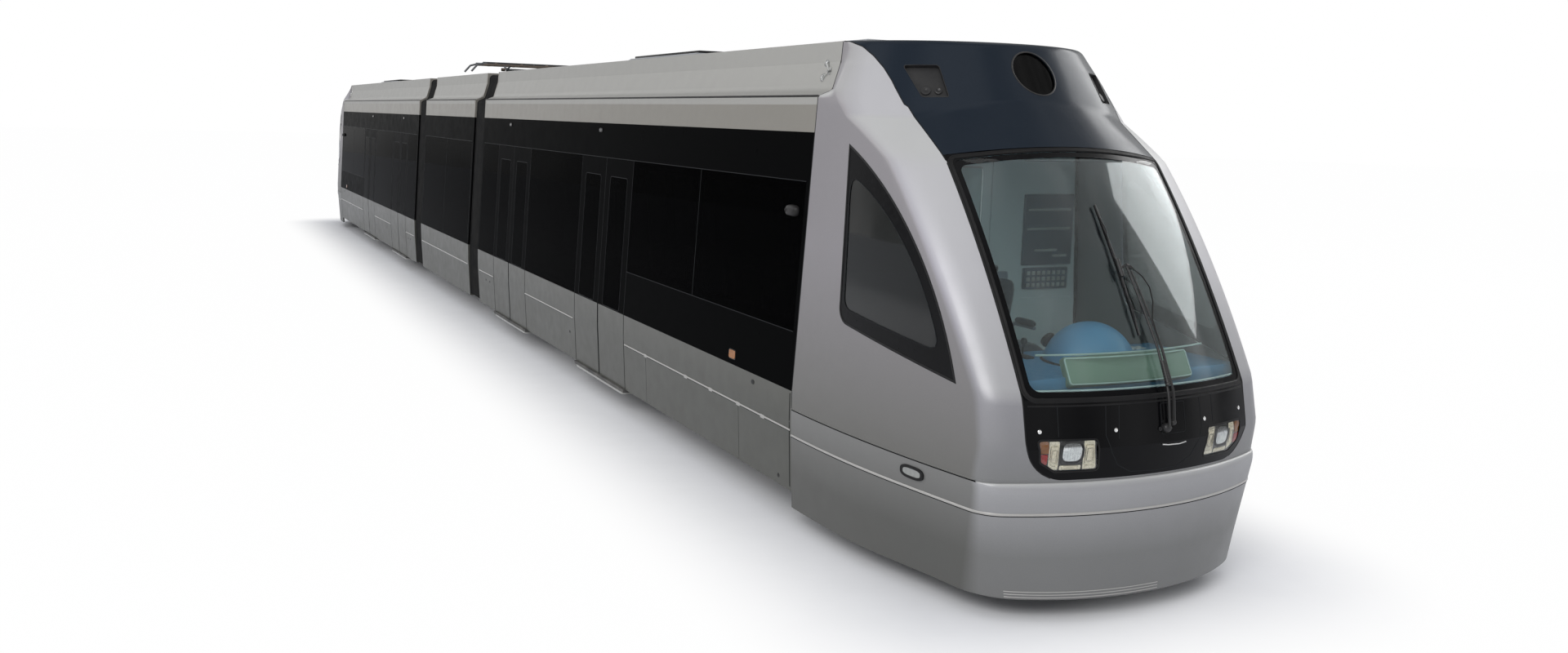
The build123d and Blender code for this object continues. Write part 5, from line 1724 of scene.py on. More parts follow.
@dataclass
class CabShell:
    """The cab's painted shell and its dark brow: bowed sides, a soft corner and the turned nose."""

    wall: float = 0.030
    corner_side: float = 0.085
    corner_front: float = 0.130
    fade: float = 0.220
    fold_soft: float = 0.060
    top: Flat = (0.997, 3.545)
    hollow: tuple[Flat, ...] = ((1.186, 3.155), (1.075, 3.200), (1.010, 3.400), (0.997, 3.545))
    low_z: float = 0.890
    mask_low_z: float = 0.905
    mask_half: float = 0.885
    mask_top_z: float = 3.031
    mask_flare: float = 0.0105
    mask_corner: float = 0.250
    arch_z: float = 2.788
    arch_rise: float = 0.070
    seal_half: float = 0.0042
    brow_edge: tuple[Flat, ...] = (
        (3.092, 13.243),
        (3.185, 13.152),
        (3.269, 13.070),
        (3.354, 12.976),
        (3.430, 12.870),
        (3.497, 12.750),
        (3.533, 12.625),
        (3.545, 12.520),
    )
    lines: dict[float, PlanLine] = field(default_factory=dict)

    def half_width(self, x: float, z: float) -> float:
        """Half width of the unbowed section: the body's at the joint, a plain slope further on."""
        low, high, gutter = self.hollow[0][1] - self.fold_soft, self.hollow[0][1] + self.fold_soft, self.hollow[0]
        if z <= low:
            return BODY.half_width(z)
        slope = (self.top[0] - gutter[0]) / (self.top[1] - gutter[1])
        plain = gutter[0] + slope * (z - gutter[1])
        if z < high:
            share = (z - low) / (high - low)
            ends = (BODY.half_width(low), gutter[0] + slope * self.fold_soft)
            plain = ends[0] * (1 - share) ** 2 + gutter[0] * 2 * share * (1 - share) + ends[1] * share**2
        at_joint = BODY.half_width(z)
        for (y0, z0), (y1, z1) in zip(self.hollow, self.hollow[1:]):
            if z0 < z <= z1 + 1e-6:
                at_joint = y0 + (y1 - y0) * (z - z0) / (z1 - z0)
        share = min(1.0, max(0.0, (x - CAB.joint_x) / self.fade))
        return at_joint + (plain - at_joint) * share * share * (3 - 2 * share)

    def side_y(self, x: float, z: float) -> float:
        """Where the bowed side lies at x, z."""
        axis_y = BODY.waist_half - CAB.side_radius
        return axis_y + math.sqrt((self.half_width(x, z) - axis_y) ** 2 - (x - CAB.joint_x) ** 2)

    def line(self, z: float) -> PlanLine:
        """The level line at a height, built once.

        Args:
            z: Its height.

        Returns:
            The line with its soft corner.
        """
        if z in self.lines:
            return self.lines[z]
        low, high = CAB.joint_x, CAB.axis_x + CAB.radius(z)
        for _ in range(40):
            x = (low + high) / 2
            y = self.side_y(x, z)
            inside = math.hypot(x - CAB.axis_x, y) < CAB.brow_radius(y, z)
            low, high = (x, high) if inside else (low, x)
        corner = (low, self.side_y(low, z))
        side = [(x, self.side_y(x, z)) for x in spread(CAB.joint_x, low, 30)]
        nose = [(CAB.front(y, z).x, y) for y in spread(corner[1], 0.0, 30)]
        back, ahead = self._reach(side), self._reach(nose)
        start, stop = min(self.corner_side, 0.45 * back[-1]), min(self.corner_front, 0.45 * ahead[-1])
        before = [p for p, d in zip(side, back) if d < back[-1] - start - 1e-6]
        after = [p for p, d in zip(nose, ahead) if d > stop + 1e-6]
        first = PlanLine(tuple(side), tuple(back), 0.0, 0.0).at(back[-1] - start)
        last = PlanLine(tuple(nose), tuple(ahead), 0.0, 0.0).at(stop)
        bend = [self._curve(first, corner, last, k / 10) for k in range(11)]
        points = [*before, *bend, *after]
        reach = self._reach(points)
        made = PlanLine(tuple(points), tuple(reach), reach[len(before)], reach[len(before) + 10])
        self.lines[z] = made
        return made

    @staticmethod
    def _reach(points: Sequence[Flat]) -> list[float]:
        """Distances of a line's points from its start."""
        out = [0.0]
        for a, b in zip(points, points[1:]):
            out.append(out[-1] + math.hypot(b[0] - a[0], b[1] - a[1]))
        return out

    @staticmethod
    def _curve(a: Flat, b: Flat, c: Flat, t: float) -> Flat:
        """A point of the curve from a to c that heads for b."""
        u, v, w = (1 - t) ** 2, 2 * t * (1 - t), t * t
        return (a[0] * u + b[0] * v + c[0] * w, a[1] * u + b[1] * v + c[1] * w)

    def edge(self, z: float) -> float:
        """Distance along the level line at which the black mask or the brow begins."""
        line = self.line(z)
        if z <= self.brow_edge[0][0]:
            y = self.mask_half
            if z < self.mask_low_z + self.mask_corner:
                rise = self.mask_low_z + self.mask_corner - z
                y += math.sqrt(max(self.mask_corner**2 - rise**2, 0.0)) - self.mask_corner
            if z > self.mask_top_z:
                y += self.mask_flare * (z - self.mask_top_z) / (self.brow_edge[0][0] - self.mask_top_z)
            return line.reach_of_x(CAB.front(y, z).x)
        for (z0, x0), (z1, x1) in zip(self.brow_edge, self.brow_edge[1:]):
            if z <= z1 + 1e-9:
                return line.reach_of_x(x0 + (x1 - x0) * (z - z0) / (z1 - z0))
        return 0.0

    def stations(self, line: PlanLine, start: float, stop: float, counts: Sequence[int]) -> list[float]:
        """Distances that cover part of a level line, with set numbers on its side, bend and nose.

        Args:
            line: The level line.
            start: The first distance.
            stop: The last distance.
            counts: Steps on the side, the bend and the nose.

        Returns:
            The distances in order.
        """
        marks = [start, line.bend_start, line.bend_end, stop]
        marks = [min(max(m, start), stop) for m in marks]
        out = [start]
        for low, high, count in zip(marks, marks[1:], counts):
            out += [low + (high - low) * k / count for k in range(1, count + 1)]
        return out

    def pair_of(self, z: float, distance: float, side: Side) -> tuple[Vector, Vector]:
        """The outer and the inner point of the shell at a height and distance."""
        line = self.line(z)
        (x, y), (nx, ny) = line.at(distance), line.inward(distance)
        inner = (x + nx * self.wall, y + ny * self.wall)
        return Vector((x, side.value * y, z)), Vector((max(inner[0], CAB.joint_x), side.value * inner[1], z))

    def shell_form(self) -> Form:
        """Both painted sides of the cab, up to the mask and the brow."""
        form = Form()
        bottom = self.mask_low_z + self.mask_corner
        levels = [bottom - self.mask_corner * math.cos(math.pi / 2 * k / 10) for k in range(10)]
        levels += [*spread(bottom, 2.90, 36), *spread(2.92, 3.49, 39), 3.51, 3.525, 3.533, 3.539, 3.543]
        for side in Side:
            outer, inner = [], []
            for z in levels:
                line = self.line(z)
                pairs = [self.pair_of(z, d, side) for d in self.stations(line, 0.0, self.edge(z), (22, 9, 8))]
                outer.append([a for a, _ in pairs])
                inner.append([b for _, b in pairs])
            form.shell(outer, inner)
        outer, inner = [], []
        for z in (self.low_z, self.mask_low_z - 0.0005):
            line = self.line(z)
            half = self.stations(line, 0.0, line.reach[-1], (22, 9, 24))
            pairs = [self.pair_of(z, d, Side.LEFT) for d in half]
            pairs += [self.pair_of(z, d, Side.RIGHT) for d in reversed(half[:-1])]
            outer.append([a for a, _ in pairs])
            inner.append([b for _, b in pairs])
        return form.shell(outer, inner)

    def window_cutter(self) -> Form:
        """The opening of both side windows."""
        form = Form()
        window = SideWindow()
        outline = inset_outline(window.outline(window.corners, window.bow, window.foot_radius, 0.0), -0.0008)
        for side in Side:
            form.skin(
                [[Vector((x, side.value * y, z)) for x, z in outline] for y in (0.95, 1.5)], closed=True, capped=True
            )
        return form

    def brow_form(self) -> Form:
        """The dark brow, from the screen's arch over the fold to the roof."""
        form = Form()
        counts, top_z = (8, 8, 34), self.top[1]
        lower, upper = [k / 10 for k in range(10)], [k / 16 for k in range(16)]
        outer: list[list[Vector]] = []
        inner: list[list[Vector]] = []
        total = sum(counts)

        def row(height: Callable[[float], float], depth: float = 0.0) -> None:
            """Add one row whose height depends on its place across the brow."""
            halves = []
            for side in Side:
                pairs = []
                for k in range(total + 1):
                    z = height(self._guess_y(k, total))
                    for _ in range(3):
                        line = self.line(round(z, 4))
                        place = self.stations(line, self.edge(z), line.reach[-1], counts)[k]
                        z = height(line.at(place)[1])
                    z = round(z, 4)
                    line = self.line(z)
                    place = self.stations(line, self.edge(z), line.reach[-1], counts)[k]
                    a, b = self.pair_of(z, place, side)
                    pairs.append((a, b - Vector((0.0, 0.0, depth))))
                halves.append(pairs)
            pairs = halves[0] + halves[1][-2::-1]
            outer.append([a for a, _ in pairs])
            inner.append([b for _, b in pairs])

        for t in lower:
            row(lambda y, t=t: self._arch(y) + (CAB.fold_z(y) - self._arch(y)) * t)
        for t in upper:
            row(lambda y, t=t: CAB.fold_z(y) + (3.5 - CAB.fold_z(y)) * t)
        for k in range(7):
            row(lambda _, k=k: 3.5 + 0.045 * (1 - (1 - k / 6) ** 2), self.wall * k / 6)
        rim = outer[-1]
        for share in (0.25, 0.6, 1.0):
            level = [Vector((p.x + (CAB.joint_x + 0.001 - p.x) * share, p.y, top_z)) for p in rim]
            outer.append(level)
            inner.append([p - Vector((0.0, 0.0, self.wall)) for p in level])
        return form.shell(outer, inner)

    @staticmethod
    def _guess_y(k: int, total: int) -> float:
        """A first guess of y for one column of the brow."""
        return 0.9 * (1.0 - k / total)

    def _arch(self, y: float) -> float:
        """Height of the brow's lower edge over the screen."""
        return self.arch_z + self.arch_rise * max(0.0, 1.0 - (y / self.mask_half) ** 2)

    def brow_cutter(self) -> Form:
        """The middle lamp's hole and the two slots."""
        form = Form()
        fittings = BrowFittings()
        outlines = [fittings.lamp_outline(0.0)]
        outlines += [fittings.slot_corners(side) for side in Side]
        for outline in outlines:
            rows = [[CAB.front(y, z, off) for y, z in outline] for off in (-0.07, -0.02, 0.03)]
            form.skin(rows, closed=True, capped=True)
        return form

    def seal(self) -> Form:
        """The dark joint between the painted shell and the brow, both ways from the mask."""
        form = Form()
        for side in Side:
            places, facings = [], []
            for z in (
                *spread(0.92, 1.155, 10),
                *spread(1.2, 3.0, 40),
                *spread(3.03, 3.50, 32),
                3.513,
                3.524,
                3.533,
                3.539,
                3.5425,
            ):
                line = self.line(z)
                edge = self.edge(z)
                (x, y), (nx, ny) = line.at(edge), line.inward(edge)
                places.append(Vector((x, side.value * y, z)))
                rise = (self.line(z + 0.001).at(edge)[1] - y) / 0.001 if z < 3.54 else -1.0
                facings.append(Vector((-nx, side.value * -ny, max(0.0, -rise) * 0.6)).normalized())
            form.run(places, facings, tape(self.seal_half, 0.0009))
        return form

    def module_joint(self) -> Form:
        """The upright joint where the cab module begins, on over the fairing to the roof."""
        form = Form()
        for side in Side:
            levels = [*spread(0.905, 3.145, 24), 3.156, 3.178, 3.200, 3.230, *spread(3.26, 3.538, 8)]
            points = [Vector((CAB.joint_x + 0.001, side.value * self.half_width(CAB.joint_x, z), z)) for z in levels]
            facing = [Vector((0.0, side.value, 0.1 if z < 3.155 else 0.35)).normalized() for z in levels]
            form.run(points, facing, tape(self.seal_half, 0.0010))
        return form

    def build(self) -> None:
        """Make the shell and the brow, which replace their CAD nodes, and the joints round them."""
        FIT.pair(
            self.shell_form,
            "cab_shell_skin",
            Finishes.PEARL,
            "section",
            "cab_paint",
            ("cab_shell",),
            40.0,
            self.window_cutter,
        )
        FIT.pair(self.brow_form, "brow_skin", Finishes.BROW, "section", "brow_paint", ("brow",), 40.0, self.brow_cutter)
        FIT.pair(self.seal, "front_panel_seal", Finishes.RUBBER, "section", "bellows_rubber")
        FIT.pair(self.module_joint, "cab_module_joint", Finishes.RUBBER, "section", "bellows_rubber")


# ---------------------------------------------------------------- the cab's outside
@dataclass
class SideWindow:
    """The cab's pointed side window: black border, rubber edge and the inner line of the glass."""

    corners: tuple[Flat, ...] = ((13.012, 2.833), (13.083, 1.640), (14.322, 1.441))
    bow: Flat = (13.924, 2.140)
    foot_radius: float = 0.120
    inner_corners: tuple[Flat, ...] = ((13.060, 2.640), (13.128, 1.735), (14.160, 1.600))
    inner_bow: Flat = (13.800, 2.150)
    inner_radius: float = 0.090

    def outline(self, corners: Sequence[Flat], bow: Flat, radius: float, top_radius: float) -> list[Flat]:
        """One closed line of the window.

        Args:
            corners: Its top, foot and front tip.
            bow: A point on its curved front edge.
            radius: The radius at the foot.
            top_radius: The radius at the top and the tip.

        Returns:
            The outline, with equal point counts for every radius.
        """
        top, foot, tip = corners
        rounded = rounded_outline([top, foot, tip], [0.0, radius, 0.0], 10)[1:-1]
        arc = self._arc(tip, bow, top, 26)
        edge = [between(top, rounded[0], k / 10) for k in range(10)]
        sill = [between(rounded[-1], tip, k / 12) for k in range(1, 12)]
        line = [*edge, *rounded, *sill, *arc[:-1]]
        if top_radius <= 0:
            return line
        return self._soften(line, 3)

    @staticmethod
    def _arc(a: Flat, b: Flat, c: Flat, steps: int) -> list[Flat]:
        """The arc through three points."""
        d = 2 * (a[0] * (b[1] - c[1]) + b[0] * (c[1] - a[1]) + c[0] * (a[1] - b[1]))
        squares = [p[0] ** 2 + p[1] ** 2 for p in (a, b, c)]
        ux = (squares[0] * (b[1] - c[1]) + squares[1] * (c[1] - a[1]) + squares[2] * (a[1] - b[1])) / d
        uy = (squares[0] * (c[0] - b[0]) + squares[1] * (a[0] - c[0]) + squares[2] * (b[0] - a[0])) / d
        radius = math.hypot(a[0] - ux, a[1] - uy)
        start, stop = math.atan2(a[1] - uy, a[0] - ux), math.atan2(c[1] - uy, c[0] - ux)
        return [
            (
                ux + radius * math.cos(start + (stop - start) * k / steps),
                uy + radius * math.sin(start + (stop - start) * k / steps),
            )
            for k in range(steps + 1)
        ]

    @staticmethod
    def _soften(line: list[Flat], rounds: int) -> list[Flat]:
        """Average neighbours so that sharp tips become small rounds."""
        for _ in range(rounds):
            line = [
                (
                    (line[i - 1][0] + 2 * p[0] + line[(i + 1) % len(line)][0]) / 4,
                    (line[i - 1][1] + 2 * p[1] + line[(i + 1) % len(line)][1]) / 4,
                )
                for i, p in enumerate(line)
            ]
        return line

    def border(self) -> Form:
        """The printed black border of both windows."""
        form = Form()
        outer = self.outline(self.corners, self.bow, self.foot_radius, 0.0)
        inner = self.outline(self.inner_corners, self.inner_bow, self.inner_radius, 1.0)
        for side in Side:
            frame_between(form, inset_outline(outer, 0.002), inner, CabWall(side), -0.0015, 0.002)
        return form

    def rubber(self) -> Form:
        """The rubber round the edge of both windows."""
        form = Form()
        outer = inset_outline(self.outline(self.corners, self.bow, self.foot_radius, 0.0), 0.006)
        for side in Side:
            hoop(form, outer, CabWall(side), bead(0.008, 0.0025), 0.2)
        return form

    def inner_line(self) -> Form:
        """The fine line where the border ends and the clear glass begins."""
        form = Form()
        inner = self.outline(self.inner_corners, self.inner_bow, self.inner_radius, 1.0)
        for side in Side:
            hoop(form, inner, CabWall(side), tape(0.003, 0.0006), 0.2)
        return form

    def build(self) -> None:
        """Make both side windows' trim."""
        FIT.pair(self.border, "side_window_border", Finishes.FRIT, "section", "mask_black")
        FIT.pair(self.rubber, "side_window_rubber", Finishes.RUBBER, "section", "bellows_rubber")
        FIT.pair(self.inner_line, "side_window_line", Finishes.BAND_LINE, "section", "mask_black")


@dataclass
class Windscreen:
    """The screen's rubber gasket, its printed border, the ledge with its painted highlight and the step along its foot.
    """

    half: float = 0.852
    low_z: float = 1.400
    high_z: float = 2.755
    arch: float = 0.070
    corner: float = 0.060
    gasket: float = 0.033
    border: float = 0.030

    def outline(self, grow: float, corner: float) -> list[Flat]:
        """The screen's outline grown by a margin.

        Args:
            grow: The margin; negative inside the glass.
            corner: The corners' radius.

        Returns:
            Its y, z points.
        """
        half, low, high = self.half + grow, self.low_z - grow, self.high_z + grow
        top = [(half * c, high + self.arch * (1 - c * c)) for c in spread(0.9, -0.9, 17)]
        corners = [(-half, low), (half, low), (half, high), *top, (-half, high)]
        radii = [corner, corner, corner, *[0.0] * len(top), corner]
        return rounded_outline(corners, radii, 6)

    def gasket_form(self) -> Form:
        """The double-lipped gasket round the screen."""
        return hoop(Form(), self.outline(self.gasket * 0.5, 0.07), Nose(), GASKET, 0.05)

    def border_form(self) -> Form:
        """The printed black border just inside the glass edge."""
        form = Form()
        outer, inner = self.outline(0.0, self.corner), self.outline(-self.border, self.corner)
        frame_between(form, self._even(outer), self._even(inner), Nose(), -0.0025, 0.0015)
        return form

    @staticmethod
    def _even(outline: Sequence[Flat]) -> list[Flat]:
        """The outline with long edges divided, at most 0.06 m apart along the lower and side edges."""
        out: list[Flat] = []
        for i, (a, b) in enumerate(zip(outline, [*outline[1:], outline[0]])):
            parts = 16 if i in (6, 13) or (a[0] * b[0] > 0 and abs(a[1] - b[1]) > 0.5) or abs(a[0] - b[0]) > 0.8 else 1
            out += [(a[0] + (b[0] - a[0]) * k / parts, a[1] + (b[1] - a[1]) * k / parts) for k in range(parts)]
        return out

    def ledge(self) -> Form:
        """The drip ledge inside the glass, along its foot, pale as a painted highlight."""
        form = Form()
        strip(form, ((-0.800, 1.440), (0.800, 1.440)), Nose(0.0215), bead(0.007, 0.006), 0.06)
        return form

    def step(self) -> Form:
        """The black step below the screen."""
        form = Form()
        strip(form, ((-0.862, 1.352), (0.862, 1.352)), Nose(), bead(0.006, 0.003), 0.06)
        return form

    def build(self) -> None:
        """Make the windscreen's trim."""
        FIT.pair(self.gasket_form, "screen_gasket", Finishes.RUBBER, "section", "bellows_rubber", smooth_deg=60.0)
        FIT.pair(self.border_form, "screen_border", Finishes.FRIT, "section", "mask_black")
        FIT.pair(self.ledge, "screen_ledge", Finishes.LEDGE, "section", "mask_black")
        FIT.pair(self.step, "mask_top_step", Finishes.RUBBER, "section", "bellows_rubber")


@dataclass
class FrontPanel:
    """Joints, fasteners, wiper bolts and the coupler cover's grip on the black front panel."""

    seams: tuple[tuple[Flat, ...], ...] = (
        ((-0.685, 1.345), (-0.689, 1.175)),
        ((-0.373, 1.345), (-0.384, 1.171), (-0.345, 1.070), (-0.290, 0.985), (-0.190, 0.935)),
        ((-0.280, 1.345), (-0.296, 1.148)),
        ((0.495, 1.345), (0.498, 1.176)),
        ((0.373, 1.345), (0.384, 1.171), (0.345, 1.070), (0.290, 0.985), (0.190, 0.935), (0.0, 0.925), (-0.190, 0.935)),
    )
    hatch: tuple[Flat, ...] = ((0.030, 1.335), (0.230, 1.335), (0.230, 1.150), (0.030, 1.150))
    studs: tuple[Flat, ...] = ((-0.801, 1.205), (-0.314, 1.200), (0.412, 1.207), (0.801, 1.225))
    bolts: tuple[Flat, ...] = ((0.016, 1.184), (0.054, 1.170), (0.094, 1.182))
    grip: tuple[Flat, ...] = ((0.026, 1.090), (0.075, 1.083), (0.170, 1.080), (0.227, 1.088))

    def joints(self) -> Form:
        """The fine joints between the panel's flaps."""
        form = Form()
        for line in self.seams:
            strip(form, line, Nose(), ((-0.0032, -0.002), (0.0032, -0.002), (0.0026, 0.0009), (-0.0026, 0.0009)), 0.05)
        hoop(form, rounded_outline(self.hatch, 0.012, 4), Nose(), tape(0.0024, 0.0009), 0.05)
        return form

    def fasteners(self) -> Form:
        """Bright quarter-turn studs of the flaps."""
        form = Form()
        for y, z in self.studs:
            disc(form, Nose().at(y, z), Nose().facing(y, z), QUARTER_TURN)
        return form

    def bolts_form(self) -> Form:
        """The wiper pivot's three fixing bolts."""
        form = Form()
        for y, z in self.bolts:
            disc(form, Nose().at(y, z), Nose().facing(y, z), STEPPED_BOLT, 6 if y > 0.03 else 12)
        return form

    def grip_form(self) -> Form:
        """The bright finger edge of the coupler cover."""
        form = Form()
        strip(form, self.grip, Nose(), bead(0.0045, 0.006), 0.02)
        return form

    def build(self) -> None:
        """Dress the front panel."""
        FIT.pair(self.joints, "panel_joints", Finishes.BAND_LINE, "section", "mask_black")
        FIT.pair(self.fasteners, "panel_studs", Finishes.CHROME, "section", "wheel_steel")
        FIT.pair(self.bolts_form, "wiper_bolts", Finishes.BLACK_STEEL, "section", "wiper_black")
        FIT.pair(self.grip_form, "coupler_cover_grip", Finishes.STEEL, "section", "wheel_steel")


@dataclass
class HeadLamps:
    """The two lamp clusters beside the coupler cover: covers, reflectors and colour lenses."""

    outline: tuple[Flat, ...] = ((0.822, 1.160), (0.437, 1.158), (0.414, 0.955), (0.700, 0.953), (0.800, 1.015))
    radius: float = 0.026
    main_lamp: Flat = (0.602, 1.078)

    def cell(self, corners: Sequence[Flat], side: Side, radius: float = 0.012) -> list[Flat]:
        """A rounded cell of the cluster on one side."""
        return rounded_outline([(side.value * y, z) for y, z in corners], radius, 4)

    def bowl(self) -> Form:
        """The black tray behind each cover."""
        form = Form()
        for side in Side:
            line = self.cell(self.outline, side, self.radius)
            plate(form, inset_outline(line, 0.001), Nose(), -0.030, 0.006, 3)
        return form

    def bezel(self) -> Form:
        """The black rim round each cover."""
        form = Form()
        for side in Side:
            line = self.cell(self.outline, side, self.radius)
            hoop(form, inset_outline(line, 0.005), Nose(), bead(0.0065, 0.0022), 0.05)
        return form

    def cover(self) -> Form:
        """The clear cover of each cluster."""
        form = Form()
        for side in Side:
            line = self.cell(self.outline, side, self.radius)
            plate(form, inset_outline(line, 0.003), Nose(), -0.0015, 0.003, 4)
        return form

    def panels(self) -> Form:
        """The plated reflector panels either side of the square lamp."""
        form = Form()
        for side in Side:
            for corners in (
                ((0.680, 1.146), (0.742, 1.146), (0.742, 0.996), (0.715, 0.972), (0.680, 0.968)),
                ((0.455, 1.146), (0.525, 1.146), (0.525, 0.966), (0.434, 0.967)),
                ((0.535, 0.995), (0.672, 0.995), (0.672, 0.967), (0.535, 0.966)),
            ):
                line = self.cell(corners, side, 0.008)
                plate(form, line, Nose(), -0.012, 0.015, 3)
                for share in (0.72, 0.45):
                    mid = (sum(p[0] for p in line) / len(line), sum(p[1] for p in line) / len(line))
                    ring = [between(mid, corner, share) for corner in line]
                    hoop(form, ring, Nose(0.012), bead(0.003, 0.0025), 0.05)
        return form

    def square_lamp(self) -> tuple[Form, Form, Form]:
        """The rounded-square main lamp: its reflector, its ribbed lens and its frame."""
        bowl, lens, frame = Form(), Form(), Form()
        for side in Side:
            middle = (side.value * self.main_lamp[0], self.main_lamp[1])
            outer = oval(*middle, 0.072, 0.068, 32, 3.2)
            inner = inset_outline(outer, 0.012)
            hoop(frame, outer, Nose(0.010), bead(0.006, 0.005), 0.05)
            rows = []
            for share, off in ((1.0, -0.010), (0.92, -0.018), (0.75, -0.024), (0.5, -0.028), (0.25, -0.030)):
                ring = [between(middle, corner, share) for corner in inner]
                rows.append([Nose().at(y, z) + Nose().facing(y, z) * off for y, z in ring])
            bowl.skin(rows, closed=True, capped=True)
            plate(lens, inner, Nose(), -0.007, 0.002, 6)
            facing = Nose().facing(*middle)
            bulb = ((0.0, 0.0), (0.016, 0.0), (0.014, 0.010), (0.006, 0.016), (0.0, 0.017))
            disc(bowl, Nose().at(*middle) - facing * 0.030, facing, bulb, 16)
        return bowl, lens, frame

    def colour_cell(self, corners: Sequence[Flat]) -> Form:
        """One coloured lens of each cluster."""
        form = Form()
        for side in Side:
            plate(form, self.cell(corners, side, 0.008), Nose(), -0.008, 0.012, 5)
        return form

    def build(self) -> None:
        """Make the clusters, which stand for the lamp solids together with the brow lamp."""
        FIT.pair(self.bowl, "head_lamp_trays", Finishes.BLACK_PLASTIC, "section", "lamp_lens")
        FIT.pair(self.bezel, "head_lamp_bezels", Finishes.RUBBER, "section", "lamp_lens")
        FIT.pair(self.panels, "head_lamp_reflectors", Finishes.REFLECTOR, "section", "lamp_lens")
        FIT.pair(
            lambda: self.square_lamp()[0], "main_lamp_bowls", Finishes.CHROME, "section", "lamp_lens", smooth_deg=50.0
        )
        FIT.pair(lambda: self.square_lamp()[1], "main_lamp_lenses", Finishes.CLEAR_LENS, "section", "lamp_lens")
        FIT.pair(lambda: self.square_lamp()[2], "main_lamp_frames", Finishes.BLACK_STEEL, "section", "lamp_lens")
        amber = ((0.812, 1.150), (0.748, 1.150), (0.748, 1.072), (0.806, 1.072))
        red = ((0.804, 1.066), (0.752, 1.066), (0.752, 0.998), (0.789, 1.014))
        FIT.pair(lambda: self.colour_cell(amber), "amber_lenses", Finishes.AMBER_LENS, "section", "lamp_lens")
        FIT.pair(lambda: self.colour_cell(red), "red_lenses", Finishes.RED_LENS, "section", "lamp_lens")
        FIT.pair(self.cover, "head_lamp_covers", Finishes.LAMP_COVER, "section", "lamp_lens", stands_for=("lamps",))


@dataclass
class BrowFittings:
    """The middle lamp and the two slots of the dark brow, with the sounders in them."""

    lamp_place: Flat = (-0.012, 3.340)
    lamp_half: Flat = (0.172, 0.150)
    slot: tuple[Flat, ...] = ((0.836, 3.372), (0.639, 3.377), (0.651, 3.160), (0.806, 3.154))

    def lamp_outline(self, inset: float, share: float = 1.0) -> list[Flat]:
        """The lamp's oval outline seen from the front, shrunk by a margin."""
        return oval(
            0.0, self.lamp_place[1], (self.lamp_half[0] - inset) * share, (self.lamp_half[1] - inset) * share, 48
        )

    def lamp_glass(self) -> Form:
        """The black glass of the middle lamp."""
        form = Form()
        plate(form, self.lamp_outline(0.002), Nose(), -0.012, 0.008, 6)
        return form

    def lamp_rim(self) -> Form:
        """The thin rim round the middle lamp."""
        form = Form()
        hoop(form, self.lamp_outline(0.003), Nose(), bead(0.006, 0.003), 0.05)
        return form

    def lamp_bowl(self) -> Form:
        """The reflector behind the middle lamp's glass, and its bulb."""
        form = Form()
        rows = []
        for share, off in ((1.0, -0.024), (0.8, -0.034), (0.5, -0.042), (0.2, -0.045)):
            rows.append([Nose().at(y, z) + Nose().facing(y, z) * off for y, z in self.lamp_outline(0.010, share)])
        return form.skin(rows, closed=True, capped=True)

    def slot_corners(self, side: Side, inset: float = 0.0) -> list[Flat]:
        """One slot's rounded outline, shrunk by a margin."""
        line = rounded_outline([(side.value * y, z) for y, z in self.slot], 0.018, 5)
        return inset_outline(line, inset)

    def slot_floor(self) -> Form:
        """The dark back wall of each slot."""
        form = Form()
        for side in Side:
            plate(form, self.slot_corners(side, 0.001), Nose(), -0.029, 0.003, 3)
        return form

    def slot_sides(self) -> Form:
        """The dark lining round each slot's edge."""
        form = Form()
        for side in Side:
            outer, inner = self.slot_corners(side, 0.0005), self.slot_corners(side, 0.004)
            frame_between(form, outer, inner, Nose(), 0.0012, 0.031)
        return form

    def horns(self) -> Form:
        """The small round sounders inside the slots."""
        form = Form()
        for side in Side:
            for y, size in ((0.695, 0.026), (0.765, 0.034)):
                place, facing = Nose().at(side.value * y, 3.215), Nose().facing(side.value * y, 3.215)
                flare = ((0.0, 0.0), (size, 0.0), (size, 0.004), (size * 0.7, 0.006), (size * 0.3, 0.001), (0.0, 0.0))
                disc(form, place - facing * 0.024, facing, flare, 20)
        return form

    def build(self) -> None:
        """Make the brow's fittings."""
        FIT.pair(self.lamp_bowl, "brow_lamp_bowl", Finishes.SMOKED_CHROME, "section", "lamp_lens", smooth_deg=50.0)
        FIT.pair(self.lamp_glass, "brow_lamp_glass", Finishes.SMOKED_LENS, "section", "lamp_lens")
        FIT.pair(self.lamp_rim, "brow_lamp_rim", Finishes.BLACK_STEEL, "section", "lamp_lens")
        FIT.pair(self.slot_floor, "brow_slot_floors", Finishes.VENT_BLACK, "section", "brow_paint")
        FIT.pair(self.slot_sides, "brow_slot_linings", Finishes.VENT_BLACK, "section", "brow_paint")
        FIT.pair(self.horns, "brow_horns", Finishes.BLACK_STEEL, "section", "brow_paint")


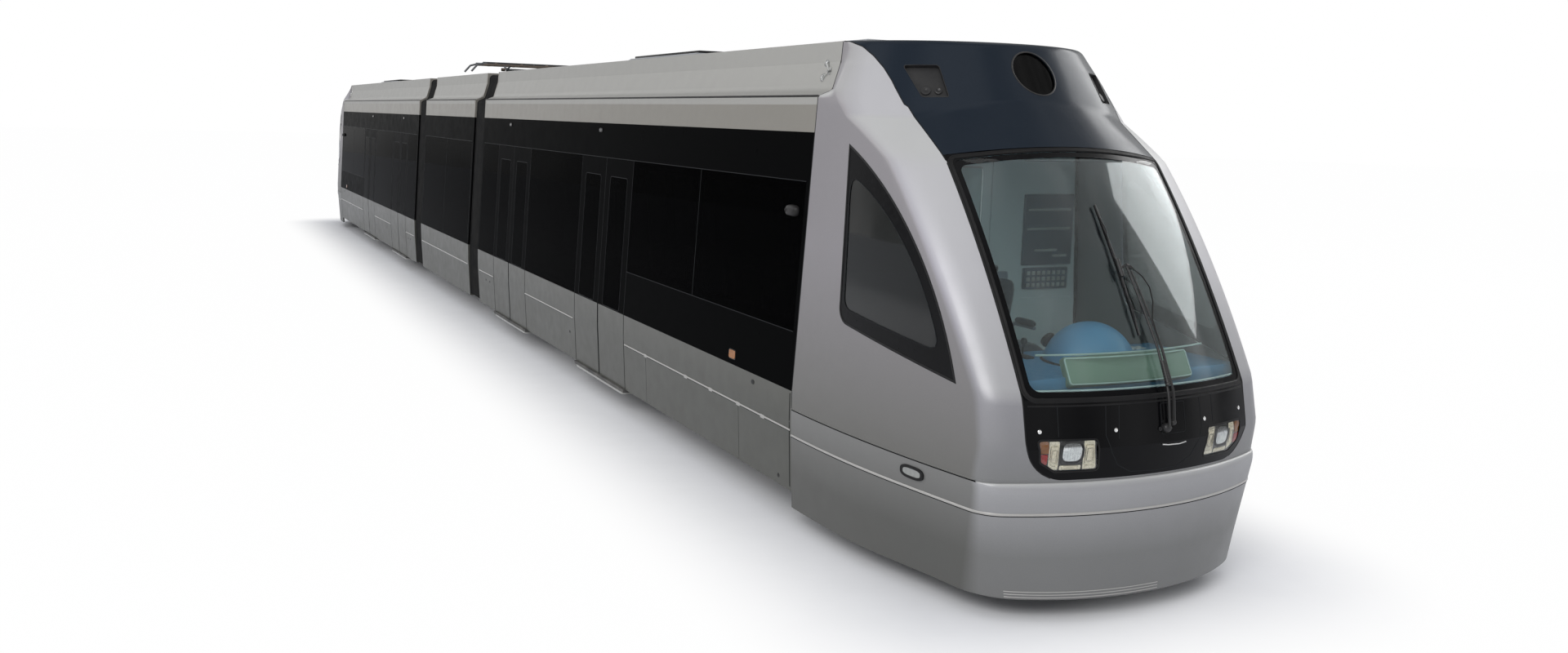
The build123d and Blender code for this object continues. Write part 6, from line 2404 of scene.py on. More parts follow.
@dataclass
class CabSkirt:
    """The cab's foot with its joint, rubbing bead and bumper ribs, the side lamps and the fairing lamps."""

    joint_z: float = 0.892
    bead_z: float = 0.700
    rib_z: tuple[float, ...] = (0.166, 0.184, 0.202)
    lamp: Flat = (14.000, 0.808)
    cluster: tuple[Flat, ...] = ((12.330, 3.392), (12.400, 3.335), (12.330, 3.290))
    wall: float = 0.040

    def foot(self) -> Form:
        """The cab's foot: bumper drum with its rounded lip, soft corners and tucked lower edge."""
        ring = BumperRing()
        foot, rim = ring.low_z, ring.top_z - ring.lip
        levels = [foot, foot + 0.002, foot + 0.006, foot + 0.012, *spread(foot + 0.04, rim - 0.02, 24)]
        levels += [rim + ring.lip * math.sin(math.pi / 2 * k / 11) for k in range(12)]
        outer = [ring.trace(z)[0] for z in levels]
        inner = [ring.trace(min(z, rim), self.wall)[0] for z in levels]
        for row, z in zip(inner, levels):
            for p in row:
                p.z = z
        return Form().shell(outer, inner)

    def joint(self) -> Form:
        """The dark joint between cab and foot."""
        form = Form()
        for side in Side:
            strip(form, ((12.524, self.joint_z), (14.55, self.joint_z)), CabWall(side), tape(0.0040, 0.0009), 0.1)
        return form

    def bead_form(self) -> Form:
        """The bead round the whole cab foot, pale partly as a painted highlight."""
        form = Form()
        line, normals = BumperRing().trace(self.bead_z)
        return form.run(line, normals, bead(0.0085, 0.0035))

    def shadow(self) -> Form:
        """A painted shadow: a dark strip under the bead."""
        form = Form()
        line, normals = BumperRing().trace(self.bead_z - 0.0115)
        return form.run(line, normals, tape(0.0028, 0.0012))

    def ribs(self) -> Form:
        """Fine ribs along the bumper's lower edge, pale partly as a painted highlight."""
        form = Form()
        for z in self.rib_z:
            line, normals = BumperRing().trace(z)
            form.run(line[34:-58], normals[34:-58], bead(0.0028, 0.0018))
        return form

    def side_lamps(self) -> tuple[Form, Form]:
        """The oval side lamps: rubber rims and lenses."""
        rim, lens = Form(), Form()
        x, z = self.lamp
        for side in Side:
            wall = CabWall(side)
            outer = oval(x, z, 0.110, 0.042, 36, 3.0)
            frame_between(rim, outer, oval(x, z, 0.084, 0.024, 36, 3.0), wall, 0.0035, 0.008)
            plate(lens, oval(x, z, 0.086, 0.026, 36, 3.0), wall, 0.0022, 0.008, 4)
        return rim, lens

    def fairing_lamps(self) -> tuple[Form, Form]:
        """The three-lamp clusters at the front ends of the fairings: plates and lenses."""
        base, lens = Form(), Form()
        for side in Side:
            facing = Vector((0.35, side.value * 0.90, 0.25)).normalized()
            for x, z in self.cluster:
                y = side.value * (1.075 - (z - 3.200) * 0.325)
                place = Vector((x, y, z))
                socket = ((0.0, 0.0), (0.031, 0.0), (0.031, 0.016), (0.027, 0.020), (0.022, 0.014), (0.0, 0.014))
                dome = ((0.0, 0.0), (0.021, 0.0), (0.018, 0.006), (0.010, 0.010), (0.0, 0.011))
                disc(base, place - facing * 0.012, facing, socket, 20)
                disc(lens, place + facing * 0.002, facing, dome, 20)
            ribs = [Vector((x, side.value * (1.072 - (z - 3.200) * 0.325), z)) for x, z in self.cluster]
            base.rod([tuple(p) for p in ribs], 0.014, 8)
        return base, lens

    def build(self) -> None:
        """Make the cab's foot, which replaces the apron, and its trim."""
        FIT.pair(self.joint, "cab_foot_joint", Finishes.SEAM, "section", "bellows_rubber")
        FIT.pair(self.bead_form, "cab_rubbing_bead", Finishes.BEAD, "section", "cab_paint")
        # Painted shadow under the bead.
        FIT.pair(self.shadow, "cab_bead_painted_shadow", Finishes.SEAM, "section", "bellows_rubber")
        FIT.pair(self.foot, "cab_foot", Finishes.FOOT, "section", "cab_paint", ("apron",), 40.0)
        FIT.pair(self.ribs, "bumper_ribs", Finishes.BEAD, "section", "cab_paint")
        FIT.pair(lambda: self.side_lamps()[0], "side_lamp_rims", Finishes.RUBBER, "section", "lamp_lens")
        FIT.pair(lambda: self.side_lamps()[1], "side_lamp_lenses", Finishes.WHITE_LENS, "section", "lamp_lens")
        FIT.pair(lambda: self.fairing_lamps()[0], "fairing_lamp_bases", Finishes.STEEL, "section", "lamp_lens")
        FIT.pair(lambda: self.fairing_lamps()[1], "fairing_lamp_lenses", Finishes.CLEAR_LENS, "section", "lamp_lens")


@dataclass
class Wiper:
    """The pantograph wiper: pivot, parallel arms, blade carrier, rubber and washer hose."""

    pivots: tuple[Flat, Flat] = ((0.054, 1.187), (0.105, 1.215))
    blade_top: Flat = (-0.029, 2.491)
    blade_low: Flat = (-0.014, 1.722)

    def run_on_nose(
        self, form: Form, points: Sequence[Flat], lift: Sequence[float], radius: float, steps: int = 8
    ) -> Form:
        """Run a bar over the screen at given heights above it.

        Args:
            form: The form that takes it.
            points: y, z points of the bar.
            lift: The height above the skin at each point.
            radius: The bar's radius.
            steps: Divisions round it.

        Returns:
            The form itself.
        """
        wall = Nose()
        line: list[Vector] = []
        for (p, q), (a, b) in zip(zip(points, points[1:]), zip(lift, lift[1:])):
            count = max(2, math.ceil(math.hypot(q[0] - p[0], q[1] - p[1]) / 0.05))
            for k in range(count):
                y, z = p[0] + (q[0] - p[0]) * k / count, p[1] + (q[1] - p[1]) * k / count
                line.append(wall.at(y, z) + wall.facing(y, z) * (a + (b - a) * k / count))
        line.append(wall.at(*points[-1]) + wall.facing(*points[-1]) * lift[-1])
        return form.rod(line, radius, steps)

    def arms(self) -> Form:
        """The pivot housing with the driving arm, the guiding arm and their spring."""
        form = Form()
        wall = Nose()
        driving, guiding = self.pivots
        for (y, z), size in ((driving, 0.030), (guiding, 0.020)):
            cap = (
                (0.0, -0.010), (size, -0.010), (size, 0.022), (size * 0.8, 0.034), (size * 0.45, 0.040), (0.0, 0.041)
            )
            disc(form, wall.at(y, z), wall.facing(y, z), cap, 20)
        self.run_on_nose(
            form, (driving, (0.064, 1.400), (0.072, 1.632), (0.034, 2.110)), (0.040, 0.044, 0.048, 0.040), 0.0085
        )
        self.run_on_nose(
            form, (guiding, (0.112, 1.400), (0.112, 1.640), (0.062, 2.085)), (0.034, 0.040, 0.044, 0.038), 0.0065
        )
        self.run_on_nose(form, ((0.066, 1.420), (0.069, 1.560)), (0.056, 0.058), 0.014, 10)
        for k in range(10):
            y, z = 0.066 + 0.0003 * k, 1.425 + 0.014 * k
            place = wall.at(y, z) + wall.facing(y, z) * 0.056
            form.lathe(((0.012, -0.003), (0.0165, 0.0), (0.012, 0.003)), tuple(place), (-0.25, 0.02, 0.95), 12)
        self.run_on_nose(form, ((0.030, 2.120), (0.068, 2.100)), (0.040, 0.040), 0.012, 10)
        return form

    def carrier(self) -> Form:
        """The blade's spine, its yokes and its clip."""
        form = Form()
        top, low = self.blade_top, self.blade_low
        middle = ((top[0] + low[0]) / 2 + 0.006, (top[1] + low[1]) / 2)
        self.run_on_nose(form, (top, middle, low), (0.020, 0.024, 0.020), 0.0055)
        for share_a, share_b in ((0.06, 0.34), (0.36, 0.64), (0.66, 0.94)):
            ends = [between(top, low, share) for share in (share_a, share_b)]
            middle_yoke = ((ends[0][0] + ends[1][0]) / 2, (ends[0][1] + ends[1][1]) / 2)
            self.run_on_nose(form, (ends[0], middle_yoke, ends[1]), (0.014, 0.034, 0.014), 0.0045, 6)
        y, z = middle[0] - 0.004, middle[1]
        self.run_on_nose(form, ((y, z + 0.05), (y, z - 0.05)), (0.036, 0.036), 0.014, 10)
        self.run_on_nose(form, ((middle[0] + 0.002, middle[1]), (0.040, 2.118)), (0.036, 0.040), 0.009, 8)
        return form

    def rubber(self) -> Form:
        """The wiping rubber."""
        return strip(Form(), (self.blade_top, self.blade_low), Nose(), WIPER_RUBBER, 0.04)

    def hose(self) -> Form:
        """The thin washer hose looping beside the arms."""
        form = Form()
        points = (
            (0.085, 1.230),
            (0.092, 1.420),
            (0.090, 1.640),
            (0.095, 1.800),
            (0.150, 1.900),
            (0.165, 1.985),
            (0.130, 2.050),
            (0.075, 2.090),
            (0.052, 2.115),
        )
        lift = (0.040, 0.052, 0.056, 0.052, 0.046, 0.042, 0.044, 0.048, 0.050)
        return self.run_on_nose(form, points, lift, 0.0042, 8)

    def build(self) -> None:
        """Make the wiper, which replaces its plain solid."""
        FIT.pair(
            self.arms,
            "wiper_arms",
            Finishes.BLACK_STEEL,
            "section",
            "wiper_black",
            stands_for=("wiper",),
            smooth_deg=50.0,
        )
        FIT.pair(self.carrier, "wiper_carrier", Finishes.BLACK_STEEL, "section", "wiper_black", smooth_deg=50.0)
        FIT.pair(self.rubber, "wiper_rubber", Finishes.RUBBER, "section", "wiper_black")
        FIT.pair(self.hose, "washer_hose", Finishes.BLACK_PLASTIC, "section", "wiper_black")


# ---------------------------------------------------------------- seats and the cab's inside
@dataclass
class Padding:
    """One blown-up seat pad, settled once as cloth and then copied wherever it is needed."""

    size: Point = (0.40, 0.40, 0.060)
    voxel: float = 0.016
    pressure: float = 4.0
    frames: int = 18
    limit: float = 0.014
    mesh: bpy.types.Mesh | None = None

    def settle(self) -> bpy.types.Mesh:
        """Blow the pad up as cloth and keep the settled mesh.

        Returns:
            The mesh, centred on its own middle.
        """
        if self.mesh is not None:
            return self.mesh
        half = [s / 2 for s in self.size]
        form = Form().pillow((-half[0], -half[1], -half[2]), (half[0], half[1], half[2]), 0.35, 5.0)
        pad = form.finish("pad_pattern", 80.0)
        bpy.context.view_layer.objects.active = pad
        remesh = pad.modifiers.new("even", "REMESH")
        remesh.mode, remesh.voxel_size = "VOXEL", self.voxel
        rest = self._applied(pad)
        pad.modifiers.clear()
        pad.data = rest
        start = [v.co.copy() for v in rest.vertices]
        cloth = pad.modifiers.new("cloth", "CLOTH")
        cloth.settings.use_pressure = True
        cloth.settings.uniform_pressure_force = self.pressure
        cloth.settings.effector_weights.gravity = 0.0
        for frame in range(1, self.frames + 1):
            bpy.context.scene.frame_set(frame)
        blown = self._applied(pad)
        pad.modifiers.clear()
        for vertex, home in zip(blown.vertices, start):
            move = vertex.co - home
            if move.length > self.limit:
                vertex.co = home + move.normalized() * self.limit
        pad.data = blown
        bpy.context.scene.frame_set(1)
        self.mesh = pad.data
        bpy.data.objects.remove(pad)
        return self.mesh

    @staticmethod
    def _applied(thing: bpy.types.Object) -> bpy.types.Mesh:
        """The object's mesh with its modifiers applied."""
        graph = bpy.context.evaluated_depsgraph_get()
        return bpy.data.meshes.new_from_object(thing.evaluated_get(graph))

    def stamp(self, form: Form, place: Matrix, scale: Point = (1.0, 1.0, 1.0), channels: int = 0) -> Form:
        """Copy the pad into a form.

        Args:
            form: The form that takes it.
            place: Where it goes.
            scale: Its size against the pattern.
            channels: Sewn channels pressed across it.

        Returns:
            The form itself.
        """
        source = self.settle()
        half_x = self.size[0] / 2
        made = []
        for vertex in source.vertices:
            co = vertex.co.copy()
            for k in range(channels):
                line = half_x * (2 * (k + 1) / (channels + 1) - 1)
                near = max(0.0, 1.0 - abs(co.x - line) / 0.014)
                co.z *= 1.0 - 0.42 * near * near
            made.append(form.bm.verts.new(place @ Vector((co.x * scale[0], co.y * scale[1], co.z * scale[2]))))
        for polygon in source.polygons:
            form.bm.faces.new([made[i] for i in polygon.vertices])
        return form


PADDING = Padding()


def seam_roll(form: Form, low: Flat, high: Flat, place: Matrix, radius: float = 0.004) -> Form:
    """A piped seam round a pad's edge.

    Args:
        form: The form that takes it.
        low: The outline's lowest corner in the pad's plane.
        high: Its highest corner.
        place: The pad's place.
        radius: The piping's radius.

    Returns:
        The form itself.
    """
    line = [place @ Vector((x, y, 0.0)) for x, y in rounded_outline(rectangle(low, high), 0.045, 5)]
    return form.rod([tuple(p) for p in line], radius, 6, closed=True)


@dataclass
class PassengerSeats:
    """Cushions, back pads and grab handles of the passenger seats, laid on their shells."""

    end_rows: tuple[tuple[float, int, float], ...] = (
        (5.550, 1, 0.380),
        (6.800, -1, 0.380),
        (9.250, 1, 0.880),
        (10.100, 1, 0.880),
        (10.950, 1, 0.880),
        (11.650, 1, 0.880),
    )
    centre_rows: tuple[tuple[float, int, float], ...] = ((-1.250, 1, 0.520), (1.250, -1, 0.520))
    outer_y: float = 1.185
    seat_width: float = 0.440
    seat_height: float = 0.430
    back_height: float = 0.880

    def places(self, rows: Sequence[tuple[float, int, float]]) -> list[tuple[Matrix, Matrix]]:
        """Where each cushion and each back pad lies.

        Args:
            rows: x of the seat's back, its facing and its floor height.

        Returns:
            Cushion and back places, seat by seat.
        """
        out = []
        for back_x, facing, floor_z in rows:
            for side in (1, -1):
                for k in (0.5, 1.5):
                    y = side * (self.outer_y - k * self.seat_width)
                    seat = Matrix.Translation((back_x + facing * 0.262, y, floor_z + self.seat_height + 0.012))
                    seat = seat @ Matrix.Rotation(-facing * 0.058, 4, "Y")
                    rise = Matrix.Translation((back_x + facing * 0.106, y, floor_z + self.seat_height + 0.262))
                    rise = rise @ Matrix.Rotation(-facing * 1.475, 4, "Y")
                    out.append((seat, rise))
        return out

    def pads(self, rows: Sequence[tuple[float, int, float]]) -> Form:
        """All the pads of a section."""
        form = Form()
        for seat, rise in self.places(rows):
            PADDING.stamp(form, seat, (0.84, 0.97, 0.80), 1)
            PADDING.stamp(form, rise, (0.95, 0.95, 0.62), 1)
        return form

    def piping(self, rows: Sequence[tuple[float, int, float]]) -> Form:
        """The piped seams round the pads."""
        form = Form()
        for seat, rise in self.places(rows):
            seam_roll(form, (-0.168, -0.196), (0.168, 0.196), seat)
            seam_roll(form, (-0.190, -0.192), (0.190, 0.192), rise)
        return form

    def handles(self, rows: Sequence[tuple[float, int, float]]) -> Form:
        """Grab handles round the aisle ends of the seat backs."""
        form = Form()
        bends = ((0.0, -0.090), (-0.050, -0.070), (-0.062, -0.010), (-0.050, 0.045), (0.080, 0.052), (0.110, -0.020))
        for back_x, facing, floor_z in rows:
            x, top = back_x + facing * 0.022, floor_z + self.back_height
            for side in (1, -1):
                y = side * (self.outer_y - 2 * self.seat_width + 0.02)
                form.rod([(x, y + side * across, top + rise) for across, rise in bends], 0.013, 10)
        return form

    def lay(self, name: str, rows: Sequence[tuple[float, int, float]]) -> None:
        """Make the pads, the piping and the handles of one section.

        Args:
            name: The section's name without its last word.
            rows: Its rows of seats.
        """
        body, slot = f"{name}_section", "passenger_seat"
        pads = FIT.place(self.pads(rows), f"{name}_seat_pads", Finishes.SEAT_CLOTH, body, slot, smooth_deg=80.0)
        FIT.place(self.piping(rows), f"{name}_seat_piping", Finishes.DRIVER_CLOTH, body, slot)
        FIT.place(self.handles(rows), f"{name}_seat_handles", Finishes.HANDRAIL, body, slot)

    def build(self) -> None:
        """Lay the pads on every row."""
        for end in End:
            way = 1 if end is End.FRONT else -1
            self.lay(end.value, [(way * x, way * facing, z) for x, facing, z in self.end_rows])
        self.lay("centre", self.centre_rows)


@dataclass
class DriverSeat:
    """The driver's sprung seat: pedestal gaiter, padded cushion, back, head rest and arm rests."""

    x: float = 13.250
    floor_z: float = 0.880
    seat_z: float = 1.330

    def pads(self) -> Form:
        """The cushion, the back pad, its side wings and the head rest."""
        form = Form()
        seat = Matrix.Translation((self.x + 0.045, 0.0, self.seat_z + 0.062)) @ Matrix.Rotation(-0.03, 4, "Y")
        PADDING.stamp(form, seat, (1.08, 1.14, 1.55), 2)
        lean = Matrix.Translation((self.x - 0.222, 0.0, self.seat_z + 0.335)) @ Matrix.Rotation(-1.405, 4, "Y")
        PADDING.stamp(form, lean, (1.20, 1.12, 1.30), 3)
        head = Matrix.Translation((self.x - 0.285, 0.0, self.seat_z + 0.600)) @ Matrix.Rotation(-1.45, 4, "Y")
        PADDING.stamp(form, head, (0.24, 0.62, 1.05), 0)
        for side in (1, -1):
            rest = Matrix.Translation((self.x - 0.050, side * 0.222, self.seat_z + 0.245))
            PADDING.stamp(form, rest, (0.62, 0.085, 0.60), 0)
        return form

    def shell(self) -> Form:
        """The moulded back shell, the seat pan, the arm supports and the head rest's post."""
        form = Form()
        turn = Matrix.Rotation(0.165, 4, "Y").inverted()
        turn = Matrix.Translation((self.x - 0.262, 0.0, self.seat_z + 0.330)) @ turn
        form.box((-0.022, -0.228, -0.260), (0.006, 0.228, 0.262), 0.012, turn)
        form.box((self.x - 0.190, -0.215, self.seat_z - 0.020), (self.x + 0.235, 0.215, self.seat_z + 0.024), 0.012)
        for side in (1, -1):
            bends = ((-0.215, 0.190), (-0.180, 0.215), (0.060, 0.215))
            form.rod([(self.x + ahead, side * 0.222, self.seat_z + rise) for ahead, rise in bends], 0.013, 10)
        form.rod(((self.x - 0.268, 0.0, self.seat_z + 0.500), (self.x - 0.290, 0.0, self.seat_z + 0.590)), 0.010, 8)
        return form

    def pedestal(self) -> Form:
        """The floor plate and the pleated gaiter over the spring."""
        form = Form()
        profile = [(0.0, 0.0), (0.149, 0.0), (0.149, 0.018), (0.140, 0.030), (0.095, 0.036)]
        profile += sheds(7, 0.052, 0.052, ((0.122, 0.0), (0.128, 0.013), (0.122, 0.026), (0.098, 0.040)))
        profile += [(0.110, 0.420), (0.0, 0.425)]
        return form.lathe(profile, (self.x, 0.0, self.floor_z), UP, 32)

    def levers(self) -> Form:
        """The height lever and the slide bar."""
        form = Form()
        lever = ((0.060, 0.205, -0.010), (0.090, 0.238, -0.010), (0.150, 0.238, -0.005))
        slide = ((0.232, -0.130, -0.012), (0.248, -0.120, -0.020), (0.248, 0.120, -0.020), (0.232, 0.130, -0.012))
        for points, radius in ((lever, 0.007), (slide, 0.006)):
            form.rod([(self.x + ahead, y, self.seat_z + rise) for ahead, y, rise in points], radius, 8)
        return form

    def build(self) -> None:
        """Make the seat, which replaces its plain solid."""
        cloth = Finishes.DRIVER_CLOTH
        pads = FIT.pair(self.pads, "driver_seat_pads", cloth, "section", "seat_fabric", ("driver_seat",), 80.0)
        FIT.pair(self.shell, "driver_seat_shell", Finishes.SHELL, "section", "seat_fabric", smooth_deg=45.0)
        FIT.pair(self.pedestal, "driver_seat_gaiter", Finishes.BLACK_PLASTIC, "section", "seat_fabric", smooth_deg=50.0)
        FIT.pair(self.levers, "driver_seat_levers", Finishes.BLACK_STEEL, "section", "seat_fabric")


@dataclass
class DrivingDesk:
    """What stands on the desk: gauges, keys, levers, rims and the pale green destination housing."""

    top_z: float = 1.480
    dome_x: float = 14.170
    dome_radius: float = 0.300

    def panel(self) -> Form:
        """The pale green destination housing at the screen's foot."""
        form = Form()
        outline = rounded_outline(rectangle((-0.530, 1.482), (0.490, 1.650)), 0.020, 4)
        rows = []
        for off, inset in ((-0.150, 0.0), (-0.108, 0.0), (-0.100, 0.004), (-0.098, 0.012)):
            ring = inset_outline(outline, inset)
            rows.append([Nose().at(y, z) + Nose().facing(y, z) * off for y, z in ring])
        return form.skin(rows, closed=True, capped=True)

    def panel_frame(self) -> Form:
        """The housing's darker frame and its upper glass edge."""
        form = Form()
        outline = rounded_outline(rectangle((-0.520, 1.492), (0.480, 1.640)), 0.016, 4)
        hoop(form, outline, Nose(0.098), bead(0.005, 0.004), 0.06)
        strip(form, ((-0.700, 1.662), (0.700, 1.662)), Nose(0.105), bead(0.006, 0.006), 0.06)
        return form

    def gauges(self) -> Form:
        """Round instruments set into the dome's driver side."""
        form = Form()
        for y in (-0.150, 0.0, 0.150):
            place = Vector((self.dome_x - 0.245 - 0.02 * (y == 0.0), y, self.top_z + 0.112))
            dial = ((0.0, -0.020), (0.052, -0.020), (0.052, 0.004), (0.047, 0.010), (0.042, 0.004), (0.0, 0.004))
            form.lathe(dial, tuple(place), (-0.85, 0.6 * y, 0.5), 28)
        return form

    def controls(self) -> Form:
        """Rows of keys either side of the dome."""
        form = Form()
        for side in (1, -1):
            for row in range(2):
                for k in range(6):
                    x, y = 13.870 + 0.046 * row, side * (0.420 + 0.052 * k)
                    form.box((x, y - 0.016, self.top_z - 0.002), (x + 0.030, y + 0.016, self.top_z + 0.010), 0.003)
        return form

    def levers(self) -> Form:
        """The driving and braking levers on their slotted mounts, and the radio handset."""
        form = Form()
        for side in (1, -1):
            form.box(
                (13.820, side * 0.335 - 0.035, self.top_z - 0.004),
                (13.990, side * 0.335 + 0.035, self.top_z + 0.014),
                0.006,
            )
            form.rod(((13.900, side * 0.335, self.top_z), (13.910, side * 0.335, self.top_z + 0.090)), 0.008, 8)
            knob = ((0.0, -0.016), (0.014, -0.016), (0.021, 0.0), (0.021, 0.014), (0.014, 0.028), (0.0, 0.030))
            form.lathe(knob, (13.912, side * 0.335, self.top_z + 0.098), (0.1, 0.0, 1.0), 16)
        form.rod(((13.960, -0.760, self.top_z + 0.022), (14.090, -0.700, self.top_z + 0.030)), 0.018, 10)
        cap = ((0.0, 0.0), (0.028, 0.0), (0.030, 0.016), (0.022, 0.026), (0.0, 0.028))
        for x, y, rise in ((13.960, -0.760, 0.002), (14.090, -0.700, 0.008)):
            form.lathe(cap, (x, y, self.top_z + rise), UP, 16)
        return form

    def rim(self) -> Form:
        """The soft rim round the desk's driver edge and the dome's foot."""
        form = Form()
        size, z = self.dome_radius + 0.006, self.top_z + 0.004
        around = spread(0.0, math.tau * 47 / 48, 48)
        form.rod([(self.dome_x + size * math.cos(a), size * math.sin(a), z) for a in around], 0.009, 8, closed=True)
        form.rod([(13.752, y, self.top_z - 0.012) for y in spread(-0.885, 0.885, 12)], 0.014, 10)
        return form

    def build(self) -> None:
        """Dress the desk."""
        FIT.pair(self.panel, "destination_housing", Finishes.DESK_PANEL, "section", "desk_blue")
        FIT.pair(self.panel_frame, "destination_frame", Finishes.PALE_EDGE, "section", "desk_blue")
        FIT.pair(self.gauges, "desk_gauges", Finishes.BLACK_PLASTIC, "section", "desk_blue", smooth_deg=50.0)
        FIT.pair(self.controls, "desk_keys", Finishes.KEYS, "section", "desk_blue")
        FIT.pair(self.levers, "desk_levers", Finishes.BLACK_STEEL, "section", "desk_blue")
        FIT.pair(self.rim, "desk_rims", Finishes.BLACK_PLASTIC, "section", "desk_blue")


@dataclass
class CabWallFittings:
    """The notice board, keypad and cupboards on the partition, and the cab door's glass and handle."""

    face_x: float = 12.520
    door_y: Flat = (-0.290, 0.355)

    def board(self) -> Form:
        """The dark blank board."""
        return Form().box((self.face_x - 0.002, 0.670, 1.900), (self.face_x + 0.022, 1.150, 2.460), 0.008)

    def bars(self) -> Form:
        """Pale rails across the board."""
        form = Form()
        for z, low_y, high_y in (
            (2.330, 0.700, 1.120), (2.180, 0.700, 1.120), (2.010, 0.780, 1.000), (1.965, 0.960, 1.100)
        ):
            form.box((self.face_x + 0.020, low_y, z), (self.face_x + 0.028, high_y, z + 0.018), 0.003)
        return form

    def keypad(self) -> Form:
        """The fuse panel under the board."""
        form = Form().box((self.face_x - 0.002, 0.690, 1.710), (self.face_x + 0.030, 1.120, 1.880), 0.008)
        return form

    def keys(self) -> Form:
        """The panel's small switches."""
        form = Form()
        for row in range(3):
            for k in range(8):
                low_y, low_z = 0.715 + 0.049 * k, 1.728 + 0.048 * row
                form.box(
                    (self.face_x + 0.028, low_y, low_z), (self.face_x + 0.038, low_y + 0.030, low_z + 0.030), 0.003
                )
        return form

    def door_glass(self) -> Form:
        """The pane set into the cab door's upper half."""
        form = Form()
        low_y, high_y = self.door_y[0] + 0.100, self.door_y[1] - 0.100
        for x in (self.face_x - 0.040, self.face_x - 0.001):
            form.box((x, low_y, 1.750), (x + 0.003, high_y, 2.660), 0.001)
        return form

    def door_fittings(self) -> Form:
        """The door's pane frame, lever handles and kick plate."""
        form = Form()
        low_y, high_y = self.door_y[0] + 0.094, self.door_y[1] - 0.094
        corners = rectangle((low_y, 1.744), (high_y, 2.666))
        for x in (self.face_x - 0.0375, self.face_x + 0.0005):
            line = [(x, y, z) for y, z in rounded_outline(corners, 0.030, 4)]
            form.rod(line, 0.006, 8, closed=True)
        form.rod(
            (
                (self.face_x - 0.002, 0.290, 1.900),
                (self.face_x + 0.040, 0.290, 1.900),
                (self.face_x + 0.040, 0.190, 1.900),
            ),
            0.009,
            8,
        )
        form.box(
            (self.face_x - 0.003, self.door_y[0] + 0.030, 0.900),
            (self.face_x + 0.001, self.door_y[1] - 0.030, 1.060),
            0.001,
        )
        return form

    def lockers(self) -> Form:
        """Cupboard doors on the partition's driver side."""
        form = Form()
        for low_y, high_y, low_z, high_z in (
            (0.420, 1.180, 1.000, 1.640), (-1.180, -0.360, 1.000, 1.900), (-1.120, -0.360, 1.950, 2.700)
        ):
            form.box((self.face_x - 0.002, low_y, low_z), (self.face_x + 0.016, high_y, high_z), 0.006)
        return form

    def build(self) -> None:
        """Dress the partition and the door."""
        FIT.pair(self.board, "notice_board", Finishes.SIGN, "section", "interior_white")
        FIT.pair(self.bars, "notice_rails", Finishes.KEYS, "section", "interior_white")
        FIT.pair(self.keypad, "fuse_panel", Finishes.SIGN, "section", "interior_white")
        FIT.pair(self.keys, "fuse_switches", Finishes.KEYS, "section", "interior_white")
        FIT.pair(self.lockers, "cab_lockers", Finishes.INTERIOR, "section", "interior_white", smooth_deg=50.0)
        FIT.pair(self.door_glass, "cab_door_panes", Finishes.SCREEN, "cab_door", "interior_white")
        FIT.pair(self.door_fittings, "cab_door_fittings", Finishes.STEEL, "cab_door", "interior_white")


# ---------------------------------------------------------------- roof equipment and pantograph
def fairing_rails(form: Form, reach: Flat, first_x: float, pitch: float, posts: int) -> Form:
    """Add the pale inner rail of both fairings and the posts behind it.

    Args:
        form: The form that takes them.
        reach: Where the rails begin and end.
        first_x: The first post's place.
        pitch: The distance from post to post.
        posts: Their number on each side.

    Returns:
        The form itself.
    """
    for side in (1, -1):
        form.box((reach[0], side * 0.968, 3.520), (reach[1], side * 0.992, 3.5455), 0.004)
        for k in range(posts):
            x = first_x + pitch * k
            form.box((x - 0.030, side * 0.962, 3.250), (x + 0.030, side * 0.978, 3.530), 0.003)
    return form


